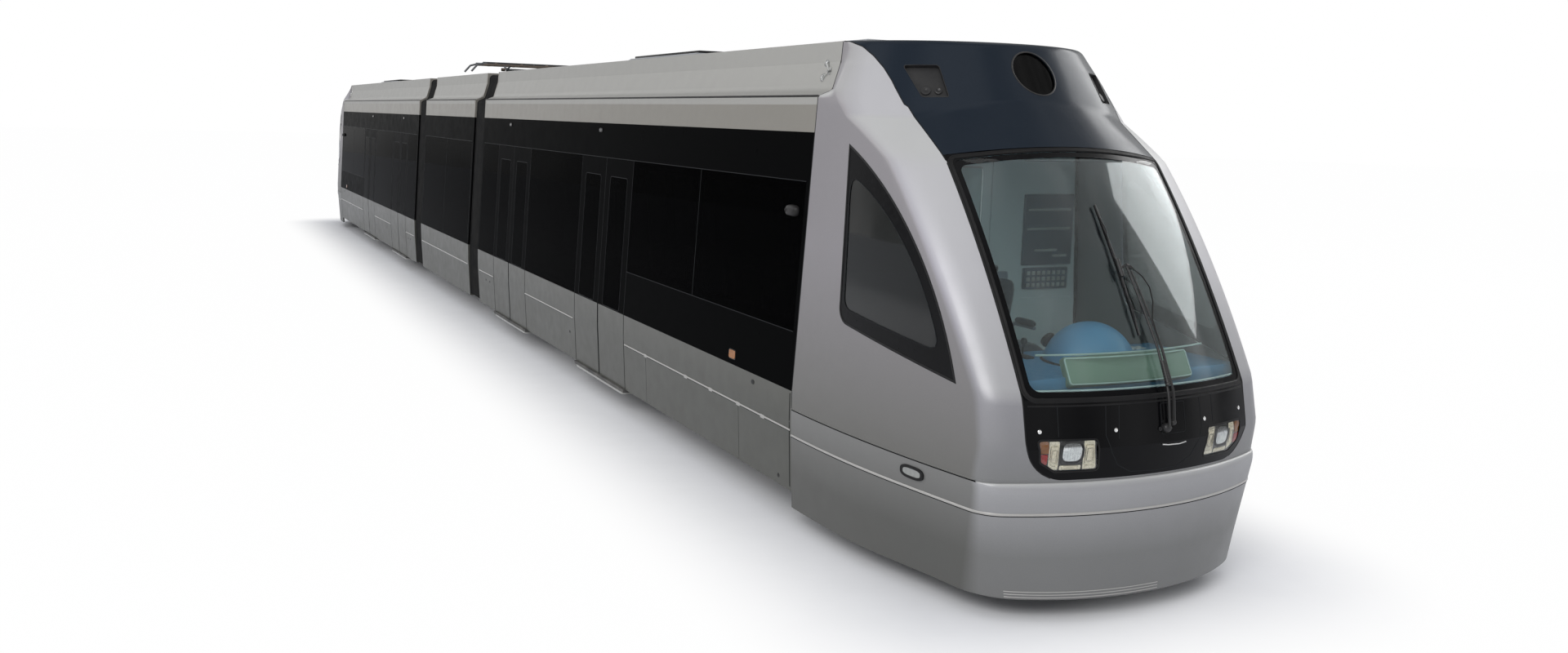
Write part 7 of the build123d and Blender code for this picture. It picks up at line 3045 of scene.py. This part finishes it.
@dataclass
class RoofUnits:
    """Lids, louvres, fans and cable ducts of the roof boxes, and the ribs of the roof skin."""

    boxes: tuple[tuple[float, float, float, float], ...] = (
        (3.100, 4.900, 0.700, 3.480),
        (5.200, 7.000, 0.760, 3.500),
        (7.400, 9.300, 0.800, 3.575),
        (9.700, 11.100, 0.700, 3.480),
        (11.400, 12.350, 0.720, 3.570),
    )
    foot_z: float = 3.205
    lid: float = 0.012

    def lids(self) -> Form:
        """Pressed lids with raised panels over every box."""
        form = Form()
        for low_x, high_x, half, top in self.boxes:
            form.box((low_x + 0.020, -half + 0.020, top - 0.002), (high_x - 0.020, half - 0.020, top + self.lid), 0.005)
            count = max(2, round((high_x - low_x) / 0.55))
            pitch = (high_x - low_x - 0.08) / count
            for k in range(count):
                x, z = low_x + 0.040 + pitch * k, top + self.lid
                for side in (1, -1):
                    low = (x + 0.030, side * 0.400, z - 0.002)
                    form.box(low, (x + pitch - 0.030, side * (half - 0.060), z + 0.006), 0.003)
        return form

    def louvres(self) -> Form:
        """Slanting side louvres in frames on the long faces of the boxes."""
        form = Form()
        for low_x, high_x, half, _ in self.boxes:
            count = max(2, round((high_x - low_x) / 0.6))
            pitch = (high_x - low_x - 0.12) / count
            for k in range(count):
                x = low_x + 0.060 + pitch * k
                for side in (1, -1):
                    for row in range(6):
                        z = self.foot_z + 0.045 + row * 0.030
                        turn = Matrix.Translation((0.0, 0.0, z))
                        form.box(
                            (x + 0.030, side * (half - 0.004), 0.0),
                            (x + pitch - 0.030, side * (half + 0.012), 0.006),
                            0.002,
                            turn,
                        )
        return form

    def fans(self) -> tuple[Form, Form]:
        """Round fan housings with their blades and ring guards on the two tall boxes."""
        rings, blades = Form(), Form()
        for low_x, high_x, _, top in (self.boxes[2], self.boxes[4]):
            count = 3 if high_x - low_x > 1.5 else 1
            for k in range(count):
                x = low_x + (high_x - low_x) * (k + 0.5) / count
                base = top + self.lid - 0.004
                collar = ((0.222, 0.0), (0.232, 0.0), (0.232, 0.012), (0.226, 0.017), (0.218, 0.012), (0.218, 0.0))
                rings.lathe(collar, (x, 0.0, base), UP, 40)
                for radius in (0.045, 0.085, 0.125, 0.165, 0.200):
                    around = spread(0.0, math.tau * 35 / 36, 36)
                    ring = [(x + radius * math.cos(a), radius * math.sin(a), base + 0.012) for a in around]
                    rings.rod(ring, 0.0028, 6, closed=True)
                for a in (0.0, math.pi / 2):
                    dx, dy = 0.220 * math.cos(a), 0.220 * math.sin(a)
                    rings.rod(((x - dx, -dy, base + 0.015), (x + dx, dy, base + 0.015)), 0.0035, 6)
                for blade in range(7):
                    turn = Matrix.Translation((x, 0.0, base + 0.003))
                    turn = turn @ Matrix.Rotation(math.tau * blade / 7, 4, "Z") @ Matrix.Rotation(0.35, 4, "X")
                    blades.box((0.040, -0.030, -0.001), (0.200, 0.030, 0.001), 0.0, turn)
                blades.lathe(
                    ((0.0, -0.004), (0.044, -0.004), (0.044, 0.004), (0.030, 0.007), (0.0, 0.008)),
                    (x, 0.0, base + 0.002),
                    UP,
                    20,
                )
        return rings, blades

    def covers(self) -> Form:
        """The dark flat cover on the tallest box."""
        form = Form()
        low_x, high_x, half, top = max(self.boxes, key=lambda box: box[3])
        form.box(
            (low_x + 0.060, -half + 0.060, top + self.lid - 0.002),
            (high_x - 0.060, half - 0.060, top + self.lid + 0.026),
            0.008,
        )
        form.box(
            (low_x + 0.180, -half + 0.140, top + self.lid + 0.020),
            (low_x + 1.020, half - 0.140, top + self.lid + 0.036),
            0.006,
        )
        return form

    def feet(self) -> Form:
        """Fixing feet and their bolts."""
        form = Form()
        for low_x, high_x, half, _ in self.boxes:
            for x in (low_x + 0.090, high_x - 0.090):
                for side in (1, -1):
                    form.box(
                        (x - 0.050, side * (half - 0.010), self.foot_z - 0.022),
                        (x + 0.050, side * (half + 0.060), self.foot_z - 0.010),
                        0.003,
                    )
                    hexagon(form, (x, side * (half + 0.035), self.foot_z - 0.010), UP, 0.013, 0.008)
        return form

    def ducts(self) -> Form:
        """The cable duct along each side of the boxes and its cross links."""
        form = Form()
        for side in (1, -1):
            y = side * 0.905
            form.box((2.620, y - 0.035, 3.176), (12.300, y + 0.035, 3.232), 0.006)
            for low_x, high_x, half, _ in self.boxes:
                x = (low_x + high_x) / 2
                form.rod(
                    ((x, y, 3.215), (x, side * (half + 0.020), 3.240), (x, side * (half - 0.005), 3.240)), 0.020, 10
                )
        return form

    def ribs(self) -> Form:
        """Shallow pressed ribs of the roof skin and the pale inner rail of the fairings."""
        form = Form()
        for k in range(24):
            x = 2.760 + 0.405 * k
            if all(not low - 0.05 < x < high + 0.05 for low, high, _, _ in self.boxes):
                form.box((x - 0.018, -0.840, 3.168), (x + 0.018, 0.840, 3.183), 0.006)
        return fairing_rails(form, (2.570, 12.510), 2.900, 0.850, 12)

    def build(self) -> None:
        """Dress the roof of both end sections."""
        FIT.pair(self.lids, "roof_box_lids", Finishes.EQUIPMENT, "section", "equipment_grey")
        FIT.pair(self.louvres, "roof_box_louvres", Finishes.EQUIPMENT, "section", "equipment_grey")
        FIT.pair(lambda: self.fans()[0], "fan_guards", Finishes.BLACK_STEEL, "section", "equipment_grey")
        FIT.pair(lambda: self.fans()[1], "fan_blades", Finishes.BLACK_PLASTIC, "section", "equipment_grey")
        FIT.pair(self.covers, "roof_box_covers", Finishes.BLACK_PLASTIC, "section", "equipment_grey")
        FIT.pair(self.feet, "roof_box_feet", Finishes.STEEL, "section", "equipment_grey")
        FIT.pair(self.ducts, "roof_cable_ducts", Finishes.EQUIPMENT, "section", "equipment_grey")
        FIT.pair(self.ribs, "roof_ribs", Finishes.ROOF, "section", "roof_paint")


@dataclass
class Pantograph:
    """Insulators, springs, bearings, carbon strips and leads on the folding current collector."""

    feet: tuple[Flat, ...] = ((0.620, 0.420), (0.620, -0.420), (-0.620, 0.420), (-0.620, -0.420))
    foot_z: float = 3.168
    pivot: Flat = (0.350, 3.500)
    knee: Flat = (-0.875, 3.560)
    head: Flat = (0.450, 3.650)
    strip_z: float = 3.750
    strip_gauge: float = 0.240

    def insulators(self) -> Form:
        """Ribbed insulators at the four feet."""
        form = Form()
        for x, y in self.feet:
            profile = [(0.0, 0.0), (0.070, 0.0), (0.070, 0.014), (0.060, 0.020)]
            profile += sheds(4, 0.030, 0.042, ((0.060, 0.0), (0.092, 0.010), (0.094, 0.016), (0.062, 0.026)))
            profile += [(0.058, 0.200), (0.066, 0.206), (0.066, 0.2125), (0.0, 0.2125)]
            form.lathe(profile, (x, y, self.foot_z), UP, 28)
        return form

    def frame(self) -> Form:
        """Bolted brackets, raising springs and the damper on the base frame."""
        form = Form()
        for side in (1, -1):
            start, stop = Vector((0.300, side * 0.250, 3.455)), Vector((-0.420, side * 0.250, 3.455))
            turns = []
            for t in spread(0.0, 1.0, 265):
                angle = t * math.tau * 22
                across, rise = 0.030 * math.cos(angle), 0.030 * math.sin(angle)
                turns.append((start.x + (stop.x - start.x) * t, start.y + across, start.z + rise))
            form.rod(turns, 0.0065, 6)
            form.rod(((0.370, side * 0.250, 3.455), (0.300, side * 0.250, 3.455)), 0.012, 8)
            form.rod(((-0.420, side * 0.250, 3.455), (-0.640, side * 0.250, 3.430)), 0.012, 8)
            for x in (-0.640, 0.640):
                hexagon(form, (x, side * 0.420, 3.440), UP, 0.016, 0.010)
        form.rod(((0.300, 0.060, 3.440), (-0.100, 0.060, 3.440)), 0.024, 14)
        form.rod(((-0.100, 0.060, 3.440), (-0.560, 0.060, 3.435)), 0.012, 10)
        return form

    def arm_fittings(self) -> Form:
        """Bearing caps and stiffening collars of the lower arm."""
        form = Form()
        for side in (1, -1):
            cap = ((0.0, 0.0), (0.040, 0.0), (0.040, 0.010), (0.028, 0.018), (0.0, 0.020))
            form.lathe(cap, (self.pivot[0], side * 0.372, self.pivot[1]), (0.0, side, 0.0), 24)
        for share in (0.22, 0.78):
            x, z = between(self.pivot, self.knee, share)
            form.lathe(
                ((0.040, -0.022), (0.047, -0.022), (0.047, 0.022), (0.040, 0.022)), (x, 0.0, z), (-1.0, 0.0, 0.049), 24
            )
        return form

    def upper_fittings(self) -> Form:
        """Collars, cross ties and bearing caps of the upper arm."""
        form = Form()
        for side in (1, -1):
            cap = ((0.0, 0.0), (0.034, 0.0), (0.034, 0.008), (0.024, 0.014), (0.0, 0.015))
            form.lathe(cap, (self.knee[0], side * 0.098, self.knee[1]), (0.0, side, 0.0), 24)
        for share in (0.35, 0.7):
            x, z = between(self.knee, self.head, share)
            y = 0.080 + (0.300 - 0.080) * share
            form.rod(((x, -y, z), (x, y, z)), 0.010, 8)
            far = share + 0.22 if share < 0.5 else share + 0.25
            fx, fz = between(self.knee, self.head, far)
            fy = 0.080 + (0.300 - 0.080) * far
            form.rod(((x, -y, z), (fx, fy, fz)), 0.007, 8)
        return form

    def strips(self) -> Form:
        """Carbon wearing strips on the two collector bars."""
        form = Form()
        for way in (1, -1):
            x = self.head[0] + way * self.strip_gauge
            for side in (1, -1):
                form.box(
                    (x - 0.024, side * 0.010, self.strip_z - 0.026), (x + 0.024, side * 0.740, self.strip_z), 0.004
                )
        return form

    def carriers(self) -> Form:
        """Channel sections under the strips, with springs and clips."""
        form = Form()
        for way in (1, -1):
            x = self.head[0] + way * self.strip_gauge
            form.box((x - 0.028, -0.790, self.strip_z - 0.048), (x + 0.028, 0.790, self.strip_z - 0.028), 0.004)
            for y in (-0.600, -0.200, 0.200, 0.600):
                form.box(
                    (x - 0.031, y - 0.020, self.strip_z - 0.050), (x + 0.031, y + 0.020, self.strip_z - 0.014), 0.003
                )
        for side in (1, -1):
            turns = [
                (
                    self.head[0] + 0.022 * math.cos(t * math.tau * 9),
                    side * (0.395 + 0.060 * t),
                    self.head[1] + 0.022 * math.sin(t * math.tau * 9),
                )
                for t in spread(0.0, 1.0, 110)
            ]
            form.rod(turns, 0.0045, 6)
        return form

    def leads(self) -> Form:
        """Braided bonding leads over the hinges, as fixed loops on the lower arm."""
        form = Form()
        for side in (1, -1):
            points = [
                (self.knee[0] + 0.130, side * 0.028, self.knee[1] + 0.040),
                (self.knee[0] + 0.080, side * 0.034, self.knee[1] + 0.072),
                (self.knee[0] + 0.020, side * 0.040, self.knee[1] + 0.070),
                (self.knee[0] - 0.010, side * 0.046, self.knee[1] + 0.048),
            ]
            form.rod(points, 0.008, 8)
        return form

    def build(self) -> None:
        """Dress the pantograph piece by piece."""
        FIT.place(self.insulators(), "pantograph_insulators", Finishes.INSULATOR, "centre_section", "pantograph_paint")
        FIT.place(self.frame(), "pantograph_springs", Finishes.BLACK_STEEL, "centre_section", "pantograph_metal")
        FIT.place(self.arm_fittings(), "lower_arm_fittings", Finishes.STEEL, "pantograph_lower_arm", "pantograph_metal")
        FIT.place(self.leads(), "lower_arm_leads", Finishes.COPPER, "pantograph_lower_arm", "pantograph_metal")
        FIT.place(
            self.upper_fittings(), "upper_arm_fittings", Finishes.STEEL, "pantograph_upper_arm", "pantograph_metal"
        )
        FIT.place(self.strips(), "contact_strips", Finishes.CARBON, "pantograph_head", "pantograph_metal")
        FIT.place(self.carriers(), "strip_carriers", Finishes.COPPER, "pantograph_head", "pantograph_metal")


@dataclass
class CentreRoof:
    """The centre section's roof: walkway mats, surge arresters and the fairings' inner rails."""

    def mats(self) -> Form:
        """Ribbed walkway mats either side of the pantograph."""
        form = Form()
        for side in (1, -1):
            for k in range(26):
                x = -1.700 + 0.132 * k
                form.box((x, side * 0.600, 3.164), (x + 0.090, side * 0.900, 3.184), 0.004)
        return form

    def arrester(self) -> Form:
        """The ribbed surge arrester and the roof bushing."""
        form = Form()
        for x, y in ((1.150, 0.300), (1.150, -0.300)):
            profile = [(0.0, 0.0), (0.055, 0.0), (0.055, 0.012), (0.040, 0.018)]
            profile += sheds(5, 0.026, 0.036, ((0.040, 0.0), (0.070, 0.009), (0.071, 0.014), (0.042, 0.024)))
            profile += [(0.030, 0.215), (0.030, 0.232), (0.012, 0.236), (0.012, 0.260), (0.0, 0.262)]
            form.lathe(profile, (x, y, 3.166), UP, 24)
        return form

    def rails(self) -> Form:
        """The inner rails of the fairings and their posts."""
        return fairing_rails(Form(), (-1.785, 1.785), -1.500, 0.750, 5)

    def build(self) -> None:
        """Dress the centre roof."""
        FIT.place(self.mats(), "roof_walkway_mats", Finishes.RUBBER, "centre_section", "roof_paint")
        FIT.place(self.arrester(), "surge_arresters", Finishes.INSULATOR, "centre_section", "roof_paint")
        FIT.place(self.rails(), "centre_fairing_rails", Finishes.ROOF, "centre_section", "roof_paint")


# ---------------------------------------------------------------- running gear
@dataclass
class MotorBogie:
    """Axle box covers, rubber springs, dampers, calipers and sand pipes of a motor bogie."""

    centre_x: float = 10.300
    half_base: float = 0.950
    axle_z: float = 0.358
    beam_outer_y: float = 0.962

    def covers(self) -> Form:
        """Bolted covers over the axle ends."""
        form = Form()
        for side in (1, -1):
            for way in (1, -1):
                x = self.centre_x + way * self.half_base
                ring = [(0.064, 0.0), (0.104, 0.0), (0.104, 0.008), (0.098, 0.014), (0.066, 0.014)]
                form.lathe(ring, (x, side * self.beam_outer_y, self.axle_z), (0.0, side, 0.0), 32)
                for k in range(8):
                    a = math.tau * k / 8 + 0.2
                    bolt = (
                        x + 0.086 * math.cos(a), side * (self.beam_outer_y + 0.012), self.axle_z + 0.086 * math.sin(a)
                    )
                    hexagon(form, bolt, (0.0, side, 0.0), 0.009, 0.007)
        return form

    def springs(self) -> Form:
        """Rubber-metal springs on the bogie's shoulders, under the bolster."""
        form = Form()
        for side in (1, -1):
            profile = [(0.0, 0.0), (0.128, 0.0), (0.128, 0.014)]
            profile += sheds(3, 0.022, 0.036, ((0.112, 0.0), (0.124, 0.012), (0.124, 0.018), (0.112, 0.028)))
            profile += [(0.128, 0.128), (0.128, 0.1385), (0.0, 0.1385)]
            form.lathe(profile, (self.centre_x, side * 0.742, 0.5605), UP, 36)
        return form

    def dampers(self) -> Form:
        """Hydraulic dampers along the beams with their brackets."""
        form = Form()
        for side in (1, -1):
            y = side * (self.beam_outer_y + 0.042)
            form.rod(((self.centre_x - 0.340, y, 0.440), (self.centre_x - 0.020, y, 0.455)), 0.030, 16)
            form.rod(((self.centre_x - 0.020, y, 0.455), (self.centre_x + 0.330, y, 0.470)), 0.014, 12)
            for x, z in ((self.centre_x - 0.360, 0.440), (self.centre_x + 0.340, 0.470)):
                form.rod(((x, side * (self.beam_outer_y - 0.004), z), (x, y + side * 0.024, z)), 0.026, 14)
        return form

    def calipers(self) -> Form:
        """Brake calipers round the discs, hung from the transoms."""
        form = Form()
        for way in (1, -1):
            x = self.centre_x + way * self.half_base
            for side in (1, -1):
                for y in (0.352, 0.470):
                    form.box(
                        (x - way * 0.110 - 0.050, side * y, 0.470),
                        (x - way * 0.110 + 0.050, side * (y + 0.038), 0.600),
                        0.010,
                    )
                form.box(
                    (x - way * 0.150 - 0.070, side * 0.352, 0.606),
                    (x - way * 0.150 + 0.070, side * 0.508, 0.668),
                    0.012,
                )
        return form

    def pipes(self) -> Form:
        """Sand pipes in front of the outer wheels and brake lines along the frame."""
        form = Form()
        for way in (1, -1):
            for side in (1, -1):
                x = self.centre_x + way * (self.half_base + 0.085)
                form.rod(
                    (
                        (x, side * 0.905, 0.490),
                        (x + way * 0.060, side * 0.905, 0.520),
                        (x + way * 0.215, side * 0.845, 0.430),
                        (x + way * 0.225, side * 0.835, 0.260),
                        (x + way * 0.222, side * 0.768, 0.120),
                    ),
                    0.018,
                    10,
                )
        for side in (1, -1):
            form.rod(
                ((self.centre_x - 0.900, side * 0.912, 0.572), (self.centre_x + 0.900, side * 0.912, 0.572)), 0.010, 8
            )
        return form

    def build(self) -> None:
        """Dress both motor bogies."""
        FIT.pair(self.covers, "axle_box_covers", Finishes.BOGIE, "bogie", "bogie_paint")
        FIT.pair(self.springs, "bogie_springs", Finishes.RUBBER, "bogie", "bogie_paint")
        FIT.pair(self.dampers, "bogie_dampers", Finishes.BLACK_STEEL, "bogie", "bogie_paint")
        FIT.pair(self.calipers, "brake_calipers", Finishes.BOGIE, "bogie", "bogie_paint")
        FIT.pair(self.pipes, "sand_pipes", Finishes.BLACK_STEEL, "bogie", "bogie_paint")


@dataclass
class WheelTrim:
    """Damping rings and wheel bolts on the wheels."""

    axle_z: float = 0.358
    front_y: float = 0.815

    def trim(self, x: float, sides: Sequence[int]) -> Form:
        """The rings and bolts of the wheels on one axle.

        Args:
            x: The axle's place.
            sides: Which wheels it has.

        Returns:
            The form.
        """
        form = Form()
        for side in sides:
            ring = ((0.262, 0.0), (0.270, -0.006), (0.274, 0.004), (0.266, 0.008), (0.260, 0.004))
            form.lathe(ring, (x, side * 0.812, self.axle_z), (0.0, side, 0.0), 48)
            for k in range(9):
                a = math.tau * k / 9
                bolt = (x + 0.108 * math.cos(a), side * (self.front_y - 0.001), self.axle_z + 0.108 * math.sin(a))
                hexagon(form, bolt, (0.0, side, 0.0), 0.011, 0.009)
        return form

    def build(self) -> None:
        """Trim every axle."""
        for end in End:
            way = 1.0 if end is End.FRONT else -1.0
            for place, x in (("outer", 11.250), ("inner", 9.350)):
                body = f"{end.value}_{place}_wheelset"
                FIT.place(self.trim(way * x, (1, -1)), f"{body}_trim", Finishes.WHEEL, body, "wheel_steel")
            for name, side in (("left", 1), ("right", -1)):
                body = f"centre_wheel_{end.value}_{name}"
                FIT.place(self.trim(way * 0.900, (side,)), f"{body}_trim", Finishes.WHEEL, body, "wheel_steel")


# ---------------------------------------------------------------- everything that is added
class Assembly(Protocol):
    """A group of pieces that is made together."""

    def build(self) -> None:
        """Make its pieces."""


ASSEMBLIES: tuple[Assembly, ...] = (
    Gangway(),
    SideTrim(),
    CabShell(),
    SideWindow(),
    Windscreen(),
    FrontPanel(),
    HeadLamps(),
    BrowFittings(),
    CabSkirt(),
    Wiper(),
    PassengerSeats(),
    DriverSeat(),
    DrivingDesk(),
    CabWallFittings(),
    RoofUnits(),
    Pantograph(),
    CentreRoof(),
    MotorBogie(),
    WheelTrim(),
)


# ---------------------------------------------------------------- camera, lamps and floor
@dataclass(frozen=True)
class Studio:
    """The camera, the soft lamps and the pale floor."""

    eye: Point = (20.3924, -5.3718, 2.9743)
    yaw_deg: float = 26.752
    pitch_deg: float = 9.410
    roll_deg: float = 1.624
    lens_mm: float = 28.488
    floor_colour: Colour = (0.86, 0.86, 0.87)
    shadow_half: Flat = (14.2, 0.9)
    shadow_fade: Flat = (0.25, 1.75)
    glow_far: float = 0.985
    world_strength: float = 0.70
    cloud_scale: float = 2.6
    cloud_range: Flat = (0.42, 0.60)
    cloud_gap: float = 0.30
    world_colour: Colour = (0.93, 0.95, 1.0)
    lamps: tuple[tuple[str, Point, Point, float, Flat], ...] = (
        ("key", (26.0, -16.0, 15.0), (6.0, 0.0, 1.0), 2300.0, (14.0, 9.0)),
        ("side", (-2.0, -24.0, 12.0), (2.0, 0.0, 1.5), 1500.0, (26.0, 8.0)),
        ("fill", (10.0, 22.0, 14.0), (6.0, 0.0, 1.5), 1300.0, (20.0, 8.0)),
    )

    def camera(self) -> None:
        """Create the camera and make it the scene's own."""
        yaw, pitch, roll = (math.radians(a) for a in (self.yaw_deg, self.pitch_deg, self.roll_deg))
        ahead = Vector((-math.cos(yaw) * math.cos(pitch), math.sin(yaw) * math.cos(pitch), -math.sin(pitch)))
        right = ahead.cross(Vector((0.0, 0.0, 1.0))).normalized()
        up = right.cross(ahead)
        turned_right = right * math.cos(roll) + up * math.sin(roll)
        turned_up = up * math.cos(roll) - right * math.sin(roll)
        pose = Matrix((turned_right, turned_up, -ahead)).transposed().to_4x4()
        pose.translation = Vector(self.eye)
        data = bpy.data.cameras.new("camera")
        data.lens, data.sensor_width, data.sensor_fit = self.lens_mm, 36.0, "HORIZONTAL"
        data.clip_end = 400.0
        thing = bpy.data.objects.new("camera", data)
        thing.matrix_world = pose
        bpy.context.scene.collection.objects.link(thing)
        bpy.context.scene.camera = thing

    def light(self) -> None:
        """Hang the soft lamps."""
        for name, place, target, watts, size in self.lamps:
            data = bpy.data.lights.new(name, "AREA")
            data.shape, data.size, data.size_y, data.energy = "RECTANGLE", size[0], size[1], watts
            thing = bpy.data.objects.new(name, data)
            thing.location = place
            thing.rotation_euler = (Vector(target) - Vector(place)).to_track_quat("-Z", "Y").to_euler()
            bpy.context.scene.collection.objects.link(thing)

    def world(self) -> None:
        """Set the pale surroundings: white to the camera and through glass, softly clouded in gloss."""
        world = bpy.data.worlds.new("studio")
        world.use_nodes = True
        tree = world.node_tree
        shade = tree.nodes["Background"]
        path = tree.nodes.new("ShaderNodeLightPath")
        both = tree.nodes.new("ShaderNodeMath")
        both.operation = "MAXIMUM"
        tree.links.new(path.outputs["Is Camera Ray"], both.inputs[0])
        tree.links.new(path.outputs["Is Transmission Ray"], both.inputs[1])
        seen = tree.nodes.new("ShaderNodeMix")
        seen.data_type = "RGBA"
        seen.inputs[7].default_value = (1.0, 1.0, 1.0, 1.0)
        place = tree.nodes.new("ShaderNodeTexCoord")
        noise = tree.nodes.new("ShaderNodeTexNoise")
        noise.inputs["Scale"].default_value, noise.inputs["Detail"].default_value = self.cloud_scale, 4.0
        tree.links.new(place.outputs["Generated"], noise.inputs["Vector"])
        cloud = tree.nodes.new("ShaderNodeMapRange")
        cloud.interpolation_type = "SMOOTHSTEP"
        for socket, value in zip(
            ("From Min", "From Max", "To Min", "To Max"), (*self.cloud_range, self.cloud_gap, 1.0)
        ):
            cloud.inputs[socket].default_value = value
        tree.links.new(noise.outputs["Fac"], cloud.inputs["Value"])
        gloss = tree.nodes.new("ShaderNodeMix")
        gloss.data_type = "RGBA"
        gloss.inputs[6].default_value = (*(c * self.world_strength for c in self.world_colour), 1.0)
        tree.links.new(path.outputs["Is Glossy Ray"], gloss.inputs[0])
        tree.links.new(cloud.outputs["Result"], gloss.inputs[7])
        tree.links.new(gloss.outputs[2], seen.inputs[6])
        tree.links.new(both.outputs[0], seen.inputs[0])
        tree.links.new(seen.outputs[2], shade.inputs["Color"])
        bpy.context.scene.world = world

    def floor(self) -> None:
        """Lay the pale floor, lit so that it runs into the white surroundings."""
        bm = bmesh.new()
        bmesh.ops.create_circle(bm, cap_ends=True, radius=140.0, segments=96)
        mesh = bpy.data.meshes.new("floor")
        bm.to_mesh(mesh)
        bm.free()
        thing = bpy.data.objects.new("floor", mesh)
        thing.location = (0.0, 0.0, -0.001)
        bpy.context.scene.collection.objects.link(thing)
        nodes = NodeTree("studio_floor")
        grain = nodes.ramp(nodes.noise(3.0, 4.0), 0.3, 0.7)
        nodes.set("Base Color", nodes.blend(grain, self.floor_colour, scaled(self.floor_colour, 0.97)))
        nodes.set("Roughness", 0.9)
        nodes.set("Specular IOR Level", 0.1)
        path = nodes.add("ShaderNodeLightPath")
        glow = nodes.add("ShaderNodeEmission", {"Color": (1.0, 1.0, 1.0, 1.0), "Strength": 1.0})
        split = nodes.add("ShaderNodeSeparateXYZ", {0: nodes.coordinates})
        squares = []
        for name, half in zip("XY", self.shadow_half):
            beyond = nodes.math(
                "MAXIMUM", nodes.math("SUBTRACT", nodes.math("ABSOLUTE", split.outputs[name]), half), 0.0
            )
            squares.append(nodes.math("POWER", beyond, 2.0))
        away = nodes.math("SQRT", nodes.math("ADD", *squares))
        level = nodes.add(
            "ShaderNodeMapRange",
            {"Value": away, "From Min": self.shadow_fade[0], "From Max": self.shadow_fade[1], "To Max": self.glow_far},
            interpolation_type="SMOOTHSTEP",
        )
        share = nodes.math("MULTIPLY", path.outputs["Is Camera Ray"], level.outputs["Result"])
        mix = nodes.add("ShaderNodeMixShader", {0: share, 1: nodes.shader.outputs[0], 2: glow.outputs[0]})
        output = nodes.tree.nodes["Material Output"]
        nodes.tree.links.new(mix.outputs[0], output.inputs["Surface"])
        mesh.materials.append(nodes.material)

    def build(self) -> None:
        """Set up the whole studio."""
        self.camera()
        self.light()
        self.world()
        self.floor()
        bpy.context.scene.view_settings.view_transform = "Standard"


# ---------------------------------------------------------------- finishes of the CAD nodes
NODE_FINISHES: dict[str, Finishes] = {
    "floor": Finishes.UNDERFRAME,
    "sides": Finishes.SIDE_SKIN,
    "roof": Finishes.ROOF,
    "windows": Finishes.SIDE_GLASS,
    "doors": Finishes.SIDE_SKIN,
    "cab_shell": Finishes.PEARL,
    "brow": Finishes.BROW,
    "mask": Finishes.MASK,
    "cab_glass": Finishes.SCREEN,
    "apron": Finishes.PEARL,
    "lamps": Finishes.CLEAR_LENS,
    "wiper": Finishes.BLACK_PLASTIC,
    "cab_desk": Finishes.DESK,
    "driver_seat": Finishes.DRIVER_CLOTH,
    "cab_partition": Finishes.INTERIOR,
    "cab_door": Finishes.INTERIOR,
    "seats": Finishes.SHELL,
    "roof_units": Finishes.EQUIPMENT,
    "bellows": Finishes.BELLOWS,
    "bogie_frame": Finishes.BOGIE,
    "wheelset": Finishes.WHEEL,
    "wheel": Finishes.WHEEL,
    "base": Finishes.PANTO,
    "arm": Finishes.PANTO,
    "head": Finishes.PANTO,
    "rod": Finishes.PANTO,
}


def dress_nodes(nodes: dict[str, bpy.types.Object]) -> None:
    """Give every CAD node its finish.

    Args:
        nodes: The CAD nodes by name.
    """
    for name, thing in nodes.items():
        matches = [key for key in NODE_FINISHES if key in name]
        SHOP.coat(thing, NODE_FINISHES[max(matches, key=len)])


def main() -> None:
    """Dress the whole tram, sub-assembly by sub-assembly."""
    logging.basicConfig(level=logging.INFO, format="%(message)s")
    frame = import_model()
    Studio().build()
    dress_nodes(frame["nodes"])
    for assembly in ASSEMBLIES:
        LOG.info("building %s", type(assembly).__name__)
        assembly.build()
    LOG.info("%d pieces added", FIT.count)


if __name__ == "__main__":
    main()
